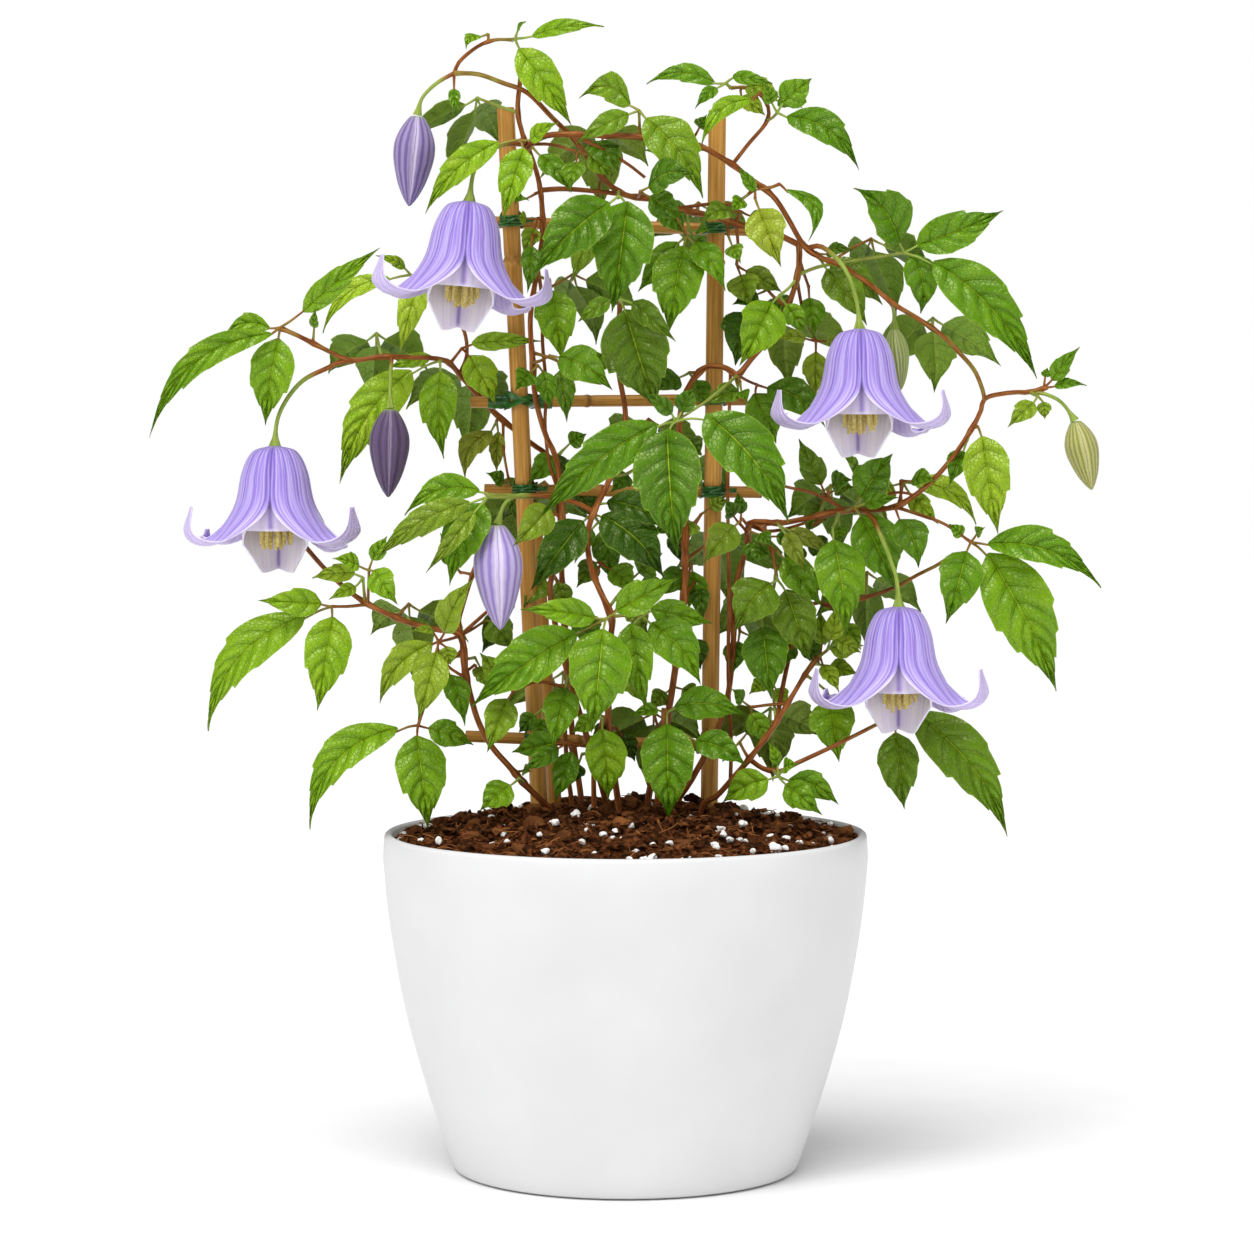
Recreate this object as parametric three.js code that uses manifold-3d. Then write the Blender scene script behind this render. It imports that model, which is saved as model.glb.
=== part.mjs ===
// Potted bell-flowered clematis on a small bamboo trellis.
// Millimetres, +Z up, origin at the middle of the pot's underside, front of the plant towards -Y.
//
// Places on the plant are written as [x, z] in the middle plane (y = 0), the way they line up from
// EYE, with a depth y beside them. seen() slides such a place along the line of sight to its depth,
// so a leaf keeps its place in the front view wherever it sits in depth.

import * as THREE from 'three';
import { mergeVertices } from 'three/addons/utils/BufferGeometryUtils.js';
import Module from 'manifold-3d';

const wasm = await Module();
wasm.setup();

// ---------------------------------------------------------------- driving dimensions

const EYE = [0, -1600, 317.5];

const POT = { floor: 5, sides: 32 };
const SOIL = { edgeZ: 136, edgeRadius: 95.1, moundRadius: 92, crownRise: 11.6, fullness: 0.5,
  gap: 0.4, bump: 2.2 };
const CANE = { radius: 3.7, y: 12, bottomZ: 45, sides: 8 };
const BAMBOO = { swell: 1.09, thin: 0.97, above: 1.6, below: 3 };   // the ring at each of its joints
const STAKE = { radius: 3.1, y: 30 };
const RUNG = { radius: 2.5, sides: 7 };
const RUNG_Y = CANE.y + CANE.radius + RUNG.radius + 0.3;
const TIE = { wire: 0.65, halfWidth: 7.6, halfDepth: 8.1, halfHeight: 12.16, slant: 42 };
// Clearance in the soil, more round stems, and how much of a cane its hole reaches.
const HOLE = { gap: 0.35, ease: 1.3, reach: 0.52 };
const STEM = { sides: 4, buried: 22, step: 14 };
const STALK_HALF = 0.9;             // half-width of a leaf's stalk
const BLADE_THICKNESS = 1.4;        // along the rib; a blade thins out to its edges

// ---------------------------------------------------------------- vectors and dice

const add = (a, b) => [a[0] + b[0], a[1] + b[1], a[2] + b[2]];
const sub = (a, b) => [a[0] - b[0], a[1] - b[1], a[2] - b[2]];
const mul = (a, k) => [a[0] * k, a[1] * k, a[2] * k];
const dot = (a, b) => a[0] * b[0] + a[1] * b[1] + a[2] * b[2];
const cross = (a, b) => [
  a[1] * b[2] - a[2] * b[1],
  a[2] * b[0] - a[0] * b[2],
  a[0] * b[1] - a[1] * b[0],
];
const size = (a) => Math.sqrt(dot(a, a));
const unit = (a) => mul(a, 1 / size(a));
const mix = (a, b, t) => add(mul(a, 1 - t), mul(b, t));

/** A place [x, z] of the middle plane, slid along the line of sight to depth y. */
function seen(x, z, y) {
  const k = (y - EYE[1]) / -EYE[1];
  return [x * k, y, EYE[2] + (z - EYE[2]) * k];
}

/** Seeded random numbers from 0 to 1 (mulberry32). */
function dice(seed) {
  let a = seed >>> 0;
  return () => {
    a = (a + 0x6d2b79f5) >>> 0;
    let t = a;
    t = Math.imul(t ^ (t >>> 15), t | 1);
    t ^= t + Math.imul(t ^ (t >>> 7), t | 61);
    return ((t ^ (t >>> 14)) >>> 0) / 4294967296;
  };
}

// ---------------------------------------------------------------- the plant's layout

// Each vine is one leafy stem out of the soil. Its stems are [x, z, y] lists; the first one starts
// at the soil, and each later one starts on an earlier stem, at the place named by from.
// A leaf hangs on a stem near from, its stalk runs (through via) to its fork at to = [x, z, y], and
// each blade is [base x, base z, tip x, tip z, width, bow]. A bow bends a blade sideways.
// A blossom stalk ends in a bell or a bud.

const VINES = {
  low_left: {
    stems: {
      main: { r: 1.6, path: [[-31, 147, -2], [-34, 151, -4], [-41, 158, -8], [-48, 166, -11],
        [-55, 174, -14],
        [-60, 183, -16], [-63, 192, -17], [-66, 205, -18], [-68, 220, -18], [-78, 222.5, -17],
          [-88, 225, -15],
        [-98, 229, -13], [-106, 233, -11], [-112, 237, -8], [-118, 242, -4], [-125, 249, 4],
          [-131, 256, 12],
        [-137, 264, 18]] },
      riser: { r: 1.1, from: ['main', -68, 220], path: [[-68.5, 226, -12], [-67, 232, -8], [-63, 245, -4],
        [-59, 258, -4], [-57, 270, -6]] },
      spur: { r: 1.0, from: ['main', -68, 220], path: [[-58, 229, -8], [-50, 236, -2], [-44, 243, 2]] },
    },
    leaves: [
      { on: 'main', from: [-106, 233], to: [-121, 232, -14], blades: [[-122, 233, -151, 234.5, 12],
        [-132, 228.5, -173, 181, 20, 0.1], [-120, 230, -127, 189, 20]] },
      { on: 'main', from: [-106, 233], to: [-105.5, 247, -12], blades: [[-107, 248, -120, 252, 8],
        [-104.5, 249, -94, 233, 12], [-105, 250, -98, 261, 7]] },
      { on: 'main', from: [-107, 233.5], to: [-108, 244, -22], blades: [[-109, 246, -129, 244, 9],
        [-111, 240, -122, 235, 6]] },
      { on: 'main', from: [-68, 220], to: [-77, 217.5, -24], blades: [[-78, 219, -101.5, 192, 13, 0.12],
        [-77, 216, -85.5, 185, 15], [-75.5, 219, -63, 243.5, 13], [-79, 222, -88, 222, 4],
          [-74, 217, -72, 208, 8]] },
      { on: 'main', from: [-67.5, 215], to: [-85.5, 183, -14], via: [[-78, 203]],
        blades: [[-94, 182, -131, 140.5, 18, 0.14],
        [-86.5, 181, -81.5, 140, 22], [-84, 183, -62.5, 175, 12]] },
      { on: 'main', from: [-66, 202], to: [-74, 208, -8], blades: [[-73, 206, -66, 183, 11]] },
      { on: 'main', from: [-66.5, 210], to: [-62, 211, -10], blades: [[-61, 210, -56, 197, 10]] },
      { on: 'main', from: [-42, 159], to: [-44, 161, -18], blades: [[-44, 161, -60, 148, 14]] },
    ],
  },
  left_cane: {
    stems: {
      main: { r: 1.5, path: [[-8, 149, 3], [-12, 165, 0], [-18, 185, 0], [-24, 205, 1], [-29, 225, 2],
        [-31, 240, 1],
        [-28, 252, 0], [-26, 268, 0], [-28, 291, -1], [-33, 303, -2], [-37, 318, -3], [-38, 332, -3],
          [-39, 350, -3],
        [-36.5, 368, -2], [-34, 384, -2], [-34.5, 400, -3], [-37, 412, -4], [-41, 422, -4], [-44, 434, -4],
        [-43, 447, -4], [-42, 456, -2]] },
      arm: { r: 1.45, from: ['main', -42, 420], path: [[-36, 423, -9], [-30, 425, -12], [-15, 425, -13],
        [0, 424.5, -13], [8, 424, -13], [20, 422, -13], [31, 420, -12], [37, 417, -11], [45, 412, -11],
        [52, 406, -12], [57, 403, -13], [62, 398, -14], [67, 390, -14], [73, 380, -14], [80, 375, -14],
        [88, 372, -14], [100, 364, -13], [110, 356, -12], [120, 350, -11], [130, 343, -10], [137, 336, -9],
        [143, 329, -8], [146.4, 321, -7]] },
      twig: { r: 1.0, from: ['arm', 44, 413], path: [[50, 421, -9], [58, 431, -8], [57, 439, -8],
        [50, 444, -9],
        [43, 444, -10]] },
      bell_1: { r: 1.1, from: ['main', -42, 421], path: [[-50, 421, -14], [-57, 417, -22], [-62, 410, -26],
        [-64.5, 399.5, -27]], bell: 1 },
      bell_3: { r: 1.1, from: ['arm', 74, 379], path: [[80, 379.5, -17], [87, 374, -20], [92, 366, -21],
        [95, 355, -21], [96, 347, -21]], bell: 3 },
      bud_5: { r: 0.9, from: ['arm', 109, 356.5], path: [[110, 352, -5], [110, 346.5, 1]], bud: 5 },
    },
    leaves: [
      { on: 'main', from: [-42, 422], to: [-43, 423, -12], blades: [[-52, 422, -82, 393, 12, 0.08],
        [-41, 421, -50, 391, 14], [-40, 422, -28, 430, 8]] },
      { on: 'main', from: [-42, 418], to: [-38, 420, -10], blades: [[-37, 419, -22, 402, 10]] },
      { on: 'main', from: [-38, 386], to: [-38, 384, -12], blades: [[-38, 383, -40, 361, 9]] },
      { on: 'main', from: [-41, 368], to: [-31, 366, -5], blades: [[-31, 366, -26, 333, 18]] },
      { on: 'main', from: [-38, 332], to: [-31, 335, -22], blades: [[-29, 336, -5.5, 321, 16, -0.08]] },
      { on: 'arm', from: [6, 424], to: [5.5, 435, -16], blades: [[4, 437, -19, 440, 13, 0.28],
        [6, 435, 32, 400, 21, -0.04], [2, 434, -20, 422, 10]] },
      { on: 'twig', from: [43, 444], to: [41, 446, -11], blades: [[38, 446, 8.5, 446, 9, 0.14],
        [38, 445, 28.5, 436, 6],
        [43, 449, 60, 446, 6]] },
      { on: 'twig', from: [57, 438], to: [55, 442, -14], blades: [[53, 441, 31, 420, 8, 0.18]] },
      { on: 'twig', from: [58, 431], to: [62, 434, -10], blades: [[62, 436, 76, 448, 13],
        [64, 434, 95.5, 411, 14, -0.12],
        [60, 437, 57, 446, 7]] },
      { on: 'arm', from: [53, 405], to: [53, 399, -18], blades: [[53, 399, 63.5, 371.5, 17]] },
      { on: 'arm', from: [57, 403], to: [63, 405, -17], blades: [[65, 405, 75, 382, 8, -0.3],
        [53, 402, 46, 412, 5]] },
      { on: 'arm', from: [76, 377.5], to: [80, 374, -4], blades: [[82, 375, 105.5, 356, 14],
        [81, 372, 99, 348, 17]] },
      { on: 'arm', from: [30, 420], to: [26, 415, -22], blades: [[25, 414, 8, 419, 9]] },
    ],
  },
  back_left: {
    stems: {
      main: { r: 1.5, path: [[-18, 148, 14], [-20, 165, 25], [-22, 180, 27], [-24, 210, 28], [-26, 240, 28],
        [-27, 270, 27.5], [-30, 291, 27], [-40, 300, 26.5], [-52, 310, 26], [-60, 318, 26], [-67, 326, 24],
        [-73, 332.5, 16], [-80, 334, 10], [-88, 334.3, 6], [-100, 334.5, 2], [-113, 333, 0],
          [-120, 336, -2],
        [-128, 340, -6], [-136, 344, -8], [-141, 346, -8]] },
      riser: { r: 1.0, from: ['main', -68, 327], path: [[-65, 336, 16], [-67, 347, 10], [-76, 358, 4],
        [-86, 367, 0]] },
      bell_2: { r: 1.1, from: ['main', -113, 333], path: [[-118, 332, -1], [-122, 330, -2], [-132, 325, -4],
        [-139, 317, -5], [-143, 308, -6], [-144, 299.5, -6]], bell: 2 },
      bud_2: { r: 0.9, from: ['main', -96, 334.5], path: [[-96.3, 328, -4], [-96.5, 321, -8],
        [-96.5, 313.5, -9]], bud: 2 },
    },
    leaves: [
      { on: 'main', from: [-141, 346], to: [-141.5, 346.5, -9],
        blades: [[-143, 346, -195.5, 301.5, 12, 0.16],
        [-142, 347, -165, 343, 8, 0.18], [-142, 344, -148, 306.5, 19], [-132, 353, -101, 379, 11]] },
      { on: 'main', from: [-128, 340], to: [-128, 342, -6], blades: [[-128, 342, -127, 354, 4]] },
      { on: 'riser', from: [-86, 367], to: [-88, 368, 0], blades: [[-97, 367, -124.5, 344.5, 9, 0.15],
        [-84, 366, -92.5, 336.5, 12], [-88, 370, -102, 376, 5]] },
      { on: 'main', from: [-75, 333], to: [-76, 333, 8], blades: [[-88, 329, -117.5, 282.5, 20, 0.08],
        [-76, 331, -75, 293, 17], [-78, 335, -98, 330, 6]] },
      { on: 'main', from: [-72, 332], to: [-67, 338, 6], blades: [[-65, 337, -53, 315, 15],
        [-63, 340, -34, 341, 8]] },
      { on: 'main', from: [-52, 310], to: [-53, 308, 22], blades: [[-53, 308, -66, 284.5, 12, 0.15],
        [-52, 306, -53, 287, 7]] },
    ],
  },
  front: {
    stems: {
      main: { r: 1.6, path: [[-3, 149, -8], [-5, 165, -12], [-7, 185, -14], [-8, 205, -17], [-6, 220, -19],
        [-6, 228, -20], [-12, 242, -18], [-15, 252, -17], [-15.5, 262, -16], [-13, 271, -16],
          [-8, 281, -14],
        [-3, 294, -11], [0, 310, -9], [-3, 330, -9], [-3, 345, -11], [-2, 358, -13]] },
      bud_3: { r: 1.1, from: ['main', -13, 271], path: [[-20, 274.5, -18], [-30, 277, -22],
        [-40, 277.5, -27],
        [-46, 277, -30], [-50, 273.5, -32], [-52.5, 266, -32]], bud: 3 },
    },
    leaves: [
      { on: 'main', from: [-6, 227], to: [-8, 227, -30], blades: [[-10, 227, -43, 231, 12],
        [-20, 221, -64, 191, 22],
        [-9, 225, -14, 180, 27], [-4, 230, 22, 244, 14]] },
      { on: 'main', from: [-6, 228], to: [7, 228, -24], blades: [[10, 231, 36, 225, 12],
        [9, 227, 31, 200, 19, -0.07],
        [2, 225, 8, 190, 16]] },
      { on: 'main', from: [-13, 271], to: [-14, 270, -14], blades: [[-17, 268, -39, 239, 18],
        [-10, 270, 16, 244, 22, -0.05]] },
      { on: 'bud_3', from: [-43, 277.5], to: [-56, 278, -26], blades: [[-60, 280, -91, 270, 13, 0.12],
        [-58, 276, -72.5, 241, 19, 0.05]] },
      { on: 'bud_3', from: [-40, 277.5], to: [-57, 277, -38], blades: [[-64, 275, -103, 251, 12, 0.05],
        [-62, 271, -82, 246, 8]] },
      { on: 'bud_3', from: [-28, 277], to: [-28, 276, -24], blades: [[-28, 276, -46, 257, 14]] },
      { on: 'main', from: [-2, 357], to: [-2, 358, -20], blades: [[-1, 356, 13, 312, 29],
        [-6, 358, -19.5, 349, 8],
        [3, 357, 20.5, 341, 10]] },
    ],
  },
  right_cane: {
    stems: {
      main: { r: 1.7, path: [[9, 149, 3], [12, 165, 2], [17, 185, 0], [21, 210, -1], [24, 235, -2],
        [24.5, 262, -2],
        [25, 285, -2], [22, 302, -3], [24, 318, -3], [30, 328, -3], [36, 331, -3.5], [42, 329.5, -4],
          [46, 327, -5],
        [51, 333, -5], [58, 341, -5], [64, 350, -5], [69, 362, -5], [71, 372, -5], [71, 381, -5]] },
      arm: { r: 1.45, from: ['main', 71, 380], path: [[62, 384.5, -5], [55, 386.5, -4.5], [48, 388, -4],
        [35, 392, -4], [25, 394, -4], [18, 396, -4], [10, 399, -4.5], [0, 400.5, -5], [-8, 406, -5],
          [-15, 415, -5],
        [-22, 424, -5], [-30, 432, -7], [-40, 442, -10], [-50, 446, -12], [-60, 449.5, -12],
          [-70, 450, -12]] },
      twig: { r: 1.0, from: ['arm', -70, 450], path: [[-67.5, 455, -11], [-60, 461, -10], [-53, 463.5, -10],
        [-46, 463.5, -10]] },
      bud_1: { r: 0.9, from: ['arm', -70, 450], path: [[-77, 446, -13], [-83, 440, -14],
        [-85, 433, -14]], bud: 1 },
    },
    leaves: [
      { on: 'main', from: [46, 327], to: [20.5, 308, -32], via: [[34, 317]],
        blades: [[13, 307, -36, 268, 19, 0.05],
        [17, 305, 21, 253, 29], [33, 311, 67.5, 267, 26, -0.05], [21, 310, 8, 320, 7], [22, 310, 28, 322, 9]] },
      { on: 'main', from: [46, 327], to: [54, 323, 12], blades: [[57, 323, 82, 306, 16, -0.1],
        [52, 321, 62, 299, 17]] },
      { on: 'main', from: [45, 327.5], to: [46, 323, -10], blades: [[48, 321, 31, 315, 9]] },
      { on: 'main', from: [70.5, 366], to: [63, 359.5, -2], blades: [[61, 359, 47, 331, 20],
        [65, 357, 74, 344, 9]] },
      { on: 'arm', from: [45, 389], to: [45.5, 372, 2], via: [[46, 381]], blades: [[47, 371, 64, 361, 10],
        [46.5, 370, 51, 355, 14]] },
      { on: 'arm', from: [42, 390], to: [42, 384, -8], blades: [[42, 383, 47, 373, 8]] },
      { on: 'arm', from: [19, 396], to: [25, 384, -10], blades: [[23, 383, 5, 361, 12],
        [24, 382, 17.5, 344, 22],
        [27, 383, 41, 362, 13]] },
      { on: 'arm', from: [5, 400], to: [6, 402, -14], blades: [[6, 403, 28, 409, 16, -0.12],
        [8, 401, 23.5, 391, 12]] },
      { on: 'arm', from: [-3, 402], to: [-3, 400, -14], blades: [[-5, 399, -38, 368, 23],
        [1, 398, -5.5, 352.5, 26]] },
      { on: 'arm', from: [-70, 450], to: [-70, 448, -12], blades: [[-70, 448, -70, 433.5, 5]] },
      { on: 'twig', from: [-46, 463.5], to: [-45, 464, -10], blades: [[-38, 465, -9, 469.5, 8],
        [-45, 462, -22, 429, 16],
        [-46, 465, -41, 471, 3]] },
      { on: 'twig', from: [-56, 463], to: [-56, 466, -10], blades: [[-57, 467, -65, 460, 5, 0.2]] },
      { on: 'main', from: [71, 374], to: [75, 363, 3], blades: [[75, 361, 77, 342, 11]] },
      { on: 'main', from: [70, 366], to: [78, 341, 3], via: [[73, 352]], blades: [[78, 340, 78, 318, 11],
        [76, 342, 60, 343, 6],
        [80, 341, 88, 341, 5]] },
      { on: 'main', from: [70.5, 368], to: [114, 377, -4], via: [[80, 371.5], [95, 374]],
        blades: [[113, 380, 94, 403.5, 22, 0.08],
        [119, 380, 154.5, 394.5, 17, 0.05], [118, 377, 121, 352, 15, -0.08], [126, 373.5, 169, 326, 22, -0.05]] },
    ],
  },
  right_low: {
    stems: {
      main: { r: 1.5, path: [[21, 149, 4], [27, 160, 2], [35, 175, 1], [41, 190, 3], [43.5, 205, 8],
        [44.5, 220, 10],
        [44.5, 235, 10], [47, 247, 7], [50, 257, 3], [51, 266, 0], [57, 266.5, -2], [65, 266.5, -3],
          [73, 268, -4],
        [82, 270, -4], [90, 271.5, -4], [103, 272, -5], [111, 273, -6], [117, 276.5, -6], [123, 281, -6],
        [130, 288, -6], [137, 297, -6], [142, 305, -6], [145.5, 311.5, -6], [147, 317, -6], [152, 319, -6],
        [160, 320, -7], [166, 320, -8], [173, 322, -8]] },
      droop: { r: 0.9, from: ['main', 51, 266], path: [[56, 264.5, -3], [59.5, 257, -6], [61.5, 249, -8],
        [62, 244, -9]] },
      twig: { r: 0.9, from: ['main', 90, 271.5], path: [[84, 275.5, -2], [76, 279, 2], [67, 281, 6],
        [60, 283, 10]] },
      bud_4: { r: 0.9, from: ['main', 166, 320], path: [[172, 319.3, -9], [178, 316.5, -9], [182, 312, -9],
        [184.3, 308.3, -9]], bud: 4 },
      bell_4: { r: 1.1, from: ['main', 97, 271.6], path: [[101, 269, -12], [105, 261, -20], [109, 251, -25],
        [111.5, 243, -26], [112.5, 233, -26]], bell: 4 },
    },
    leaves: [
      { on: 'main', from: [51, 265], to: [48, 268, -8], blades: [[47, 268, 32, 250, 14]] },
      { on: 'main', from: [50.5, 262], to: [51, 263, -4], blades: [[51, 262, 53, 250, 9],
        [54, 263, 60, 257, 7]] },
      { on: 'main', from: [62, 266.5], to: [63, 265.5, -10], blades: [[64, 265, 85, 254, 8],
        [66, 262, 74, 246, 8]] },
      { on: 'droop', from: [62, 244], to: [62.5, 243, -14], blades: [[61, 244, 45, 222, 21, 0.05],
        [66, 239, 76, 209, 19]] },
      { on: 'droop', from: [60, 256], to: [62, 255, -10], blades: [[63, 255, 81, 232, 14]] },
      { on: 'droop', from: [62, 245], to: [56, 228, -4], via: [[60, 236]],
        blades: [[56, 227, 60, 194, 20]] },
      { on: 'main', from: [90, 271.5], to: [94, 273, -10], blades: [[95, 274, 109.5, 295, 17],
        [96, 274, 112, 277, 7],
        [96, 271, 111, 239, 21]] },
      { on: 'main', from: [88, 271], to: [85, 264, -14], blades: [[85, 263, 91, 220, 22]] },
      { on: 'main', from: [87, 271], to: [87.5, 269, -8], blades: [[88, 269, 88, 259, 7]] },
      { on: 'twig', from: [84, 275.5], to: [82, 278, -4], blades: [[82, 279, 71, 301, 11],
        [81, 276, 74, 262, 11],
        [86, 280, 94, 281, 8]] },
      { on: 'main', from: [111, 273], to: [111, 272, -12], blades: [[111, 271.5, 120.5, 248, 15, -0.1]] },
      { on: 'main', from: [112, 273.5], to: [114, 283, -2], blades: [[112, 283, 104, 279, 10],
        [117, 284, 144.5, 266, 11, -0.12],
        [117, 278, 128.5, 266, 9]] },
      { on: 'main', from: [111, 273], to: [142, 258.5, -8], via: [[120, 270], [131, 266]],
        blades: [[140, 259.5, 133, 266, 6],
        [142, 260, 147.5, 264.5, 5], [141, 258, 132, 225, 19], [149, 258, 196, 240.5, 17, -0.08],
          [149, 254, 178, 197, 28]] },
      { on: 'main', from: [142, 305], to: [144.5, 306, -9], blades: [[146, 304, 153, 262, 20]] },
      { on: 'main', from: [170, 321], to: [171.5, 322, -8], blades: [[171, 323, 173, 330, 4],
        [174, 324, 186, 338.5, 8],
        [175, 322.5, 189, 323, 5]] },
      { on: 'main', from: [166, 320], to: [169, 318.5, -12], blades: [[170, 318, 157, 306, 9],
        [171.5, 318, 172, 309, 6]] },
    ],
  },
  lower_right: {
    stems: {
      main: { r: 1.5, path: [[31, 148, -6], [38, 154, -8], [45, 162, -10], [51, 169, -12], [60, 181, -12],
        [68, 194, -8], [74, 204, -2], [79, 211, 1]] },
      reach: { r: 1.2, from: ['main', 51, 169], path: [[57, 165, -10], [64, 164, -10], [70, 167, -9],
        [85, 174, -7],
        [97, 180, -5], [106, 184.5, -2], [111, 186, 1]] },
      arm: { r: 1.2, from: ['main', 62, 184], path: [[66, 205, 6], [71, 225, 9], [78, 233.5, 9],
        [84, 232.5, 8],
        [98, 235.5, 6], [111, 240, 5], [120, 245, 5], [128, 249, 7], [134, 253, 10]] },
    },
    leaves: [
      { on: 'main', from: [79, 211], to: [80, 212, 0], blades: [[81, 216, 80, 231, 8],
        [84, 215, 98, 216, 10],
        [81, 208, 88, 197, 8]] },
      { on: 'main', from: [77, 208], to: [80, 208, -6], blades: [[84, 208, 96, 204, 8]] },
      { on: 'main', from: [74, 204], to: [83, 197, 0], blades: [[84, 197, 88, 168, 20]] },
      { on: 'main', from: [66, 192], to: [52, 190.5, -6], blades: [[50, 190, 60, 175, 10],
        [49, 192, 44, 198, 7]] },
      { on: 'reach', from: [61, 164], to: [63, 162, -20], blades: [[61, 162, 40, 151, 14, 0.08],
        [66, 161, 88, 150, 12, -0.12],
        [66, 158.5, 81, 146, 12], [64, 165, 71, 167, 7], [63, 166, 59, 176, 5]] },
      { on: 'reach', from: [110, 186], to: [111, 184.5, 1], blades: [[111, 183, 115, 148, 18],
        [119, 188, 158, 137, 23, -0.07]] },
    ],
  },
  crown_right: {
    stems: {
      main: { r: 1.4, path: [[13, 148, -12], [13.5, 165, -16], [15, 180, -18], [16, 190, -19]] },
    },
    leaves: [
      { on: 'main', from: [16, 189], to: [17, 188, -22], blades: [[20, 191, 50, 187, 15, -0.08],
        [17, 184, 18, 143, 23],
        [14, 190, 2, 187, 6]] },
      { on: 'main', from: [15, 176], to: [25, 179, -20], blades: [[26, 178, 50, 166, 13, -0.08]] },
    ],
  },
  crown_left: {
    stems: {
      main: { r: 1.4, path: [[-13, 148, -13], [-13, 165, -16], [-11, 178, -18], [-9, 187, -19]] },
    },
    leaves: [
      { on: 'main', from: [-9, 186], to: [-9.5, 186, -22], blades: [[-10, 184, -7, 152, 18],
        [-12, 187, -22, 180, 8]] },
      { on: 'main', from: [-12, 174], to: [-24, 176, -20], blades: [[-26, 176, -47, 172, 12],
        [-27, 174, -43, 164, 8],
        [-22, 172, -29, 152, 11]] },
    ],
  },
  inner_left: {
    stems: {
      main: { r: 1.3, path: [[-22, 148, -1], [-24, 165, -4], [-25, 185, -7], [-24, 203, -8]] },
    },
    leaves: [
      { on: 'main', from: [-24, 202], to: [-24, 203, -14], blades: [[-24, 202, -30, 173.5, 15]] },
      { on: 'main', from: [-24, 199], to: [-46, 197, -12], via: [[-36, 201]],
        blades: [[-48, 196, -57, 172, 14],
        [-49, 199, -60, 213, 11]] },
    ],
  },
};

// Leaves of the sides and the back, which follow a rule: forks of three blades off the named stems,
// pushed out from the middle of the trellis towards the given bearing (degrees, 90 is straight back).
const BACK_LEAVES = [
  { vine: 'left_cane', on: 'main', from: [-26, 268], bearing: 120, reach: 26 },
  { vine: 'left_cane', on: 'main', from: [-41, 360], bearing: 66, reach: 30 },
  { vine: 'left_cane', on: 'main', from: [-44, 434], bearing: 120, reach: 26 },
  { vine: 'left_cane', on: 'arm', from: [-8, 425], bearing: 85, reach: 24 },
  { vine: 'left_cane', on: 'arm', from: [84, 373], bearing: 60, reach: 26 },
  { vine: 'left_cane', on: 'arm', from: [125, 346], bearing: 85, reach: 18 },
  { vine: 'back_left', on: 'main', from: [-24, 200], bearing: 110, reach: 20 },
  { vine: 'back_left', on: 'main', from: [-27, 272], bearing: 100, reach: 20 },
  { vine: 'back_left', on: 'main', from: [-60, 318], bearing: 95, reach: 20 },
  { vine: 'back_left', on: 'main', from: [-100, 334.5], bearing: 90, reach: 20 },
  { vine: 'front', on: 'main', from: [-1, 300], bearing: 80, reach: 44 },
  { vine: 'right_cane', on: 'main', from: [15, 178], bearing: 85, reach: 40 },
  { vine: 'right_cane', on: 'main', from: [24.5, 250], bearing: 70, reach: 42 },
  { vine: 'right_cane', on: 'main', from: [25, 285], bearing: 95, reach: 44 },
  { vine: 'right_cane', on: 'main', from: [62, 347], bearing: 80, reach: 26 },
  { vine: 'right_cane', on: 'arm', from: [28, 394], bearing: 80, reach: 30 },
  { vine: 'right_low', on: 'main', from: [44, 225], bearing: 60, reach: 22 },
  { vine: 'right_low', on: 'main', from: [80, 270], bearing: 85, reach: 22 },
  { vine: 'lower_right', on: 'main', from: [58, 178], bearing: 75, reach: 26 },
  { vine: 'lower_right', on: 'arm', from: [98, 235.5], bearing: 85, reach: 22 },
  { vine: 'low_left', on: 'main', from: [-94, 227], bearing: 90, reach: 22 },
];

// Bells: tilt turns the bell about Y (right side down), swing turns it about its own upright axis.
const BELLS = {
  1: { top: [-64, 398.5, -27], tilt: 5, swing: 4 },
  2: { top: [-144, 298.5, -6], tilt: 0, swing: -3 },
  3: { top: [96, 346.5, -21], tilt: 0, swing: 0 },
  4: { top: [112.5, 232.5, -26], tilt: 0, swing: -4 },
};

// Buds: top and tip are [x, z, y], width is across the widest place.
const BUDS = {
  1: { top: [-85, 432.5, -14], tip: [-88.5, 396, -15], width: 17 },
  2: { top: [-96.5, 313, -9], tip: [-97.5, 277, -10], width: 16.5 },
  3: { top: [-53, 265.5, -32], tip: [-51.5, 222.5, -33], width: 20 },
  4: { top: [184.5, 308, -9], tip: [191.5, 280, -8], width: 13.5 },
  5: { top: [110, 346, 1], tip: [113, 321, 3], width: 10 },
};

// The trellis: canes as [x, z] where they meet the soil and at their tops, rungs by their two ends.
const CANES = {
  cane_left: { foot: [-35.5, 147], head: [-49, 436] },
  cane_right: { foot: [34.5, 147], head: [37.5, 435] },
};
const STAKE_ENDS = { foot: [-29, 147], head: [-37, 262] };
const RUNGS = {
  rung_1: [[-55, 389.5], [55, 386]],
  rung_2: [[-63.5, 316], [50, 317]],
  rung_3: [[-58, 280], [56, 279]],
  rung_4: [[-66, 178.5], [44, 174]],
};

// ---------------------------------------------------------------- curves and stems

/** A smooth curve through a list of points. */
function smooth(points) {
  return new THREE.CatmullRomCurve3(points.map((p) => new THREE.Vector3(...p)), false, 'catmullrom', 0.5);
}

/** Points along a curve, at equal steps of its parameter. */
function samplesOf(points, count) {
  const curve = smooth(points);
  return Array.from({ length: count + 1 }, (_, i) => curve.getPoint(i / count).toArray());
}

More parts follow.
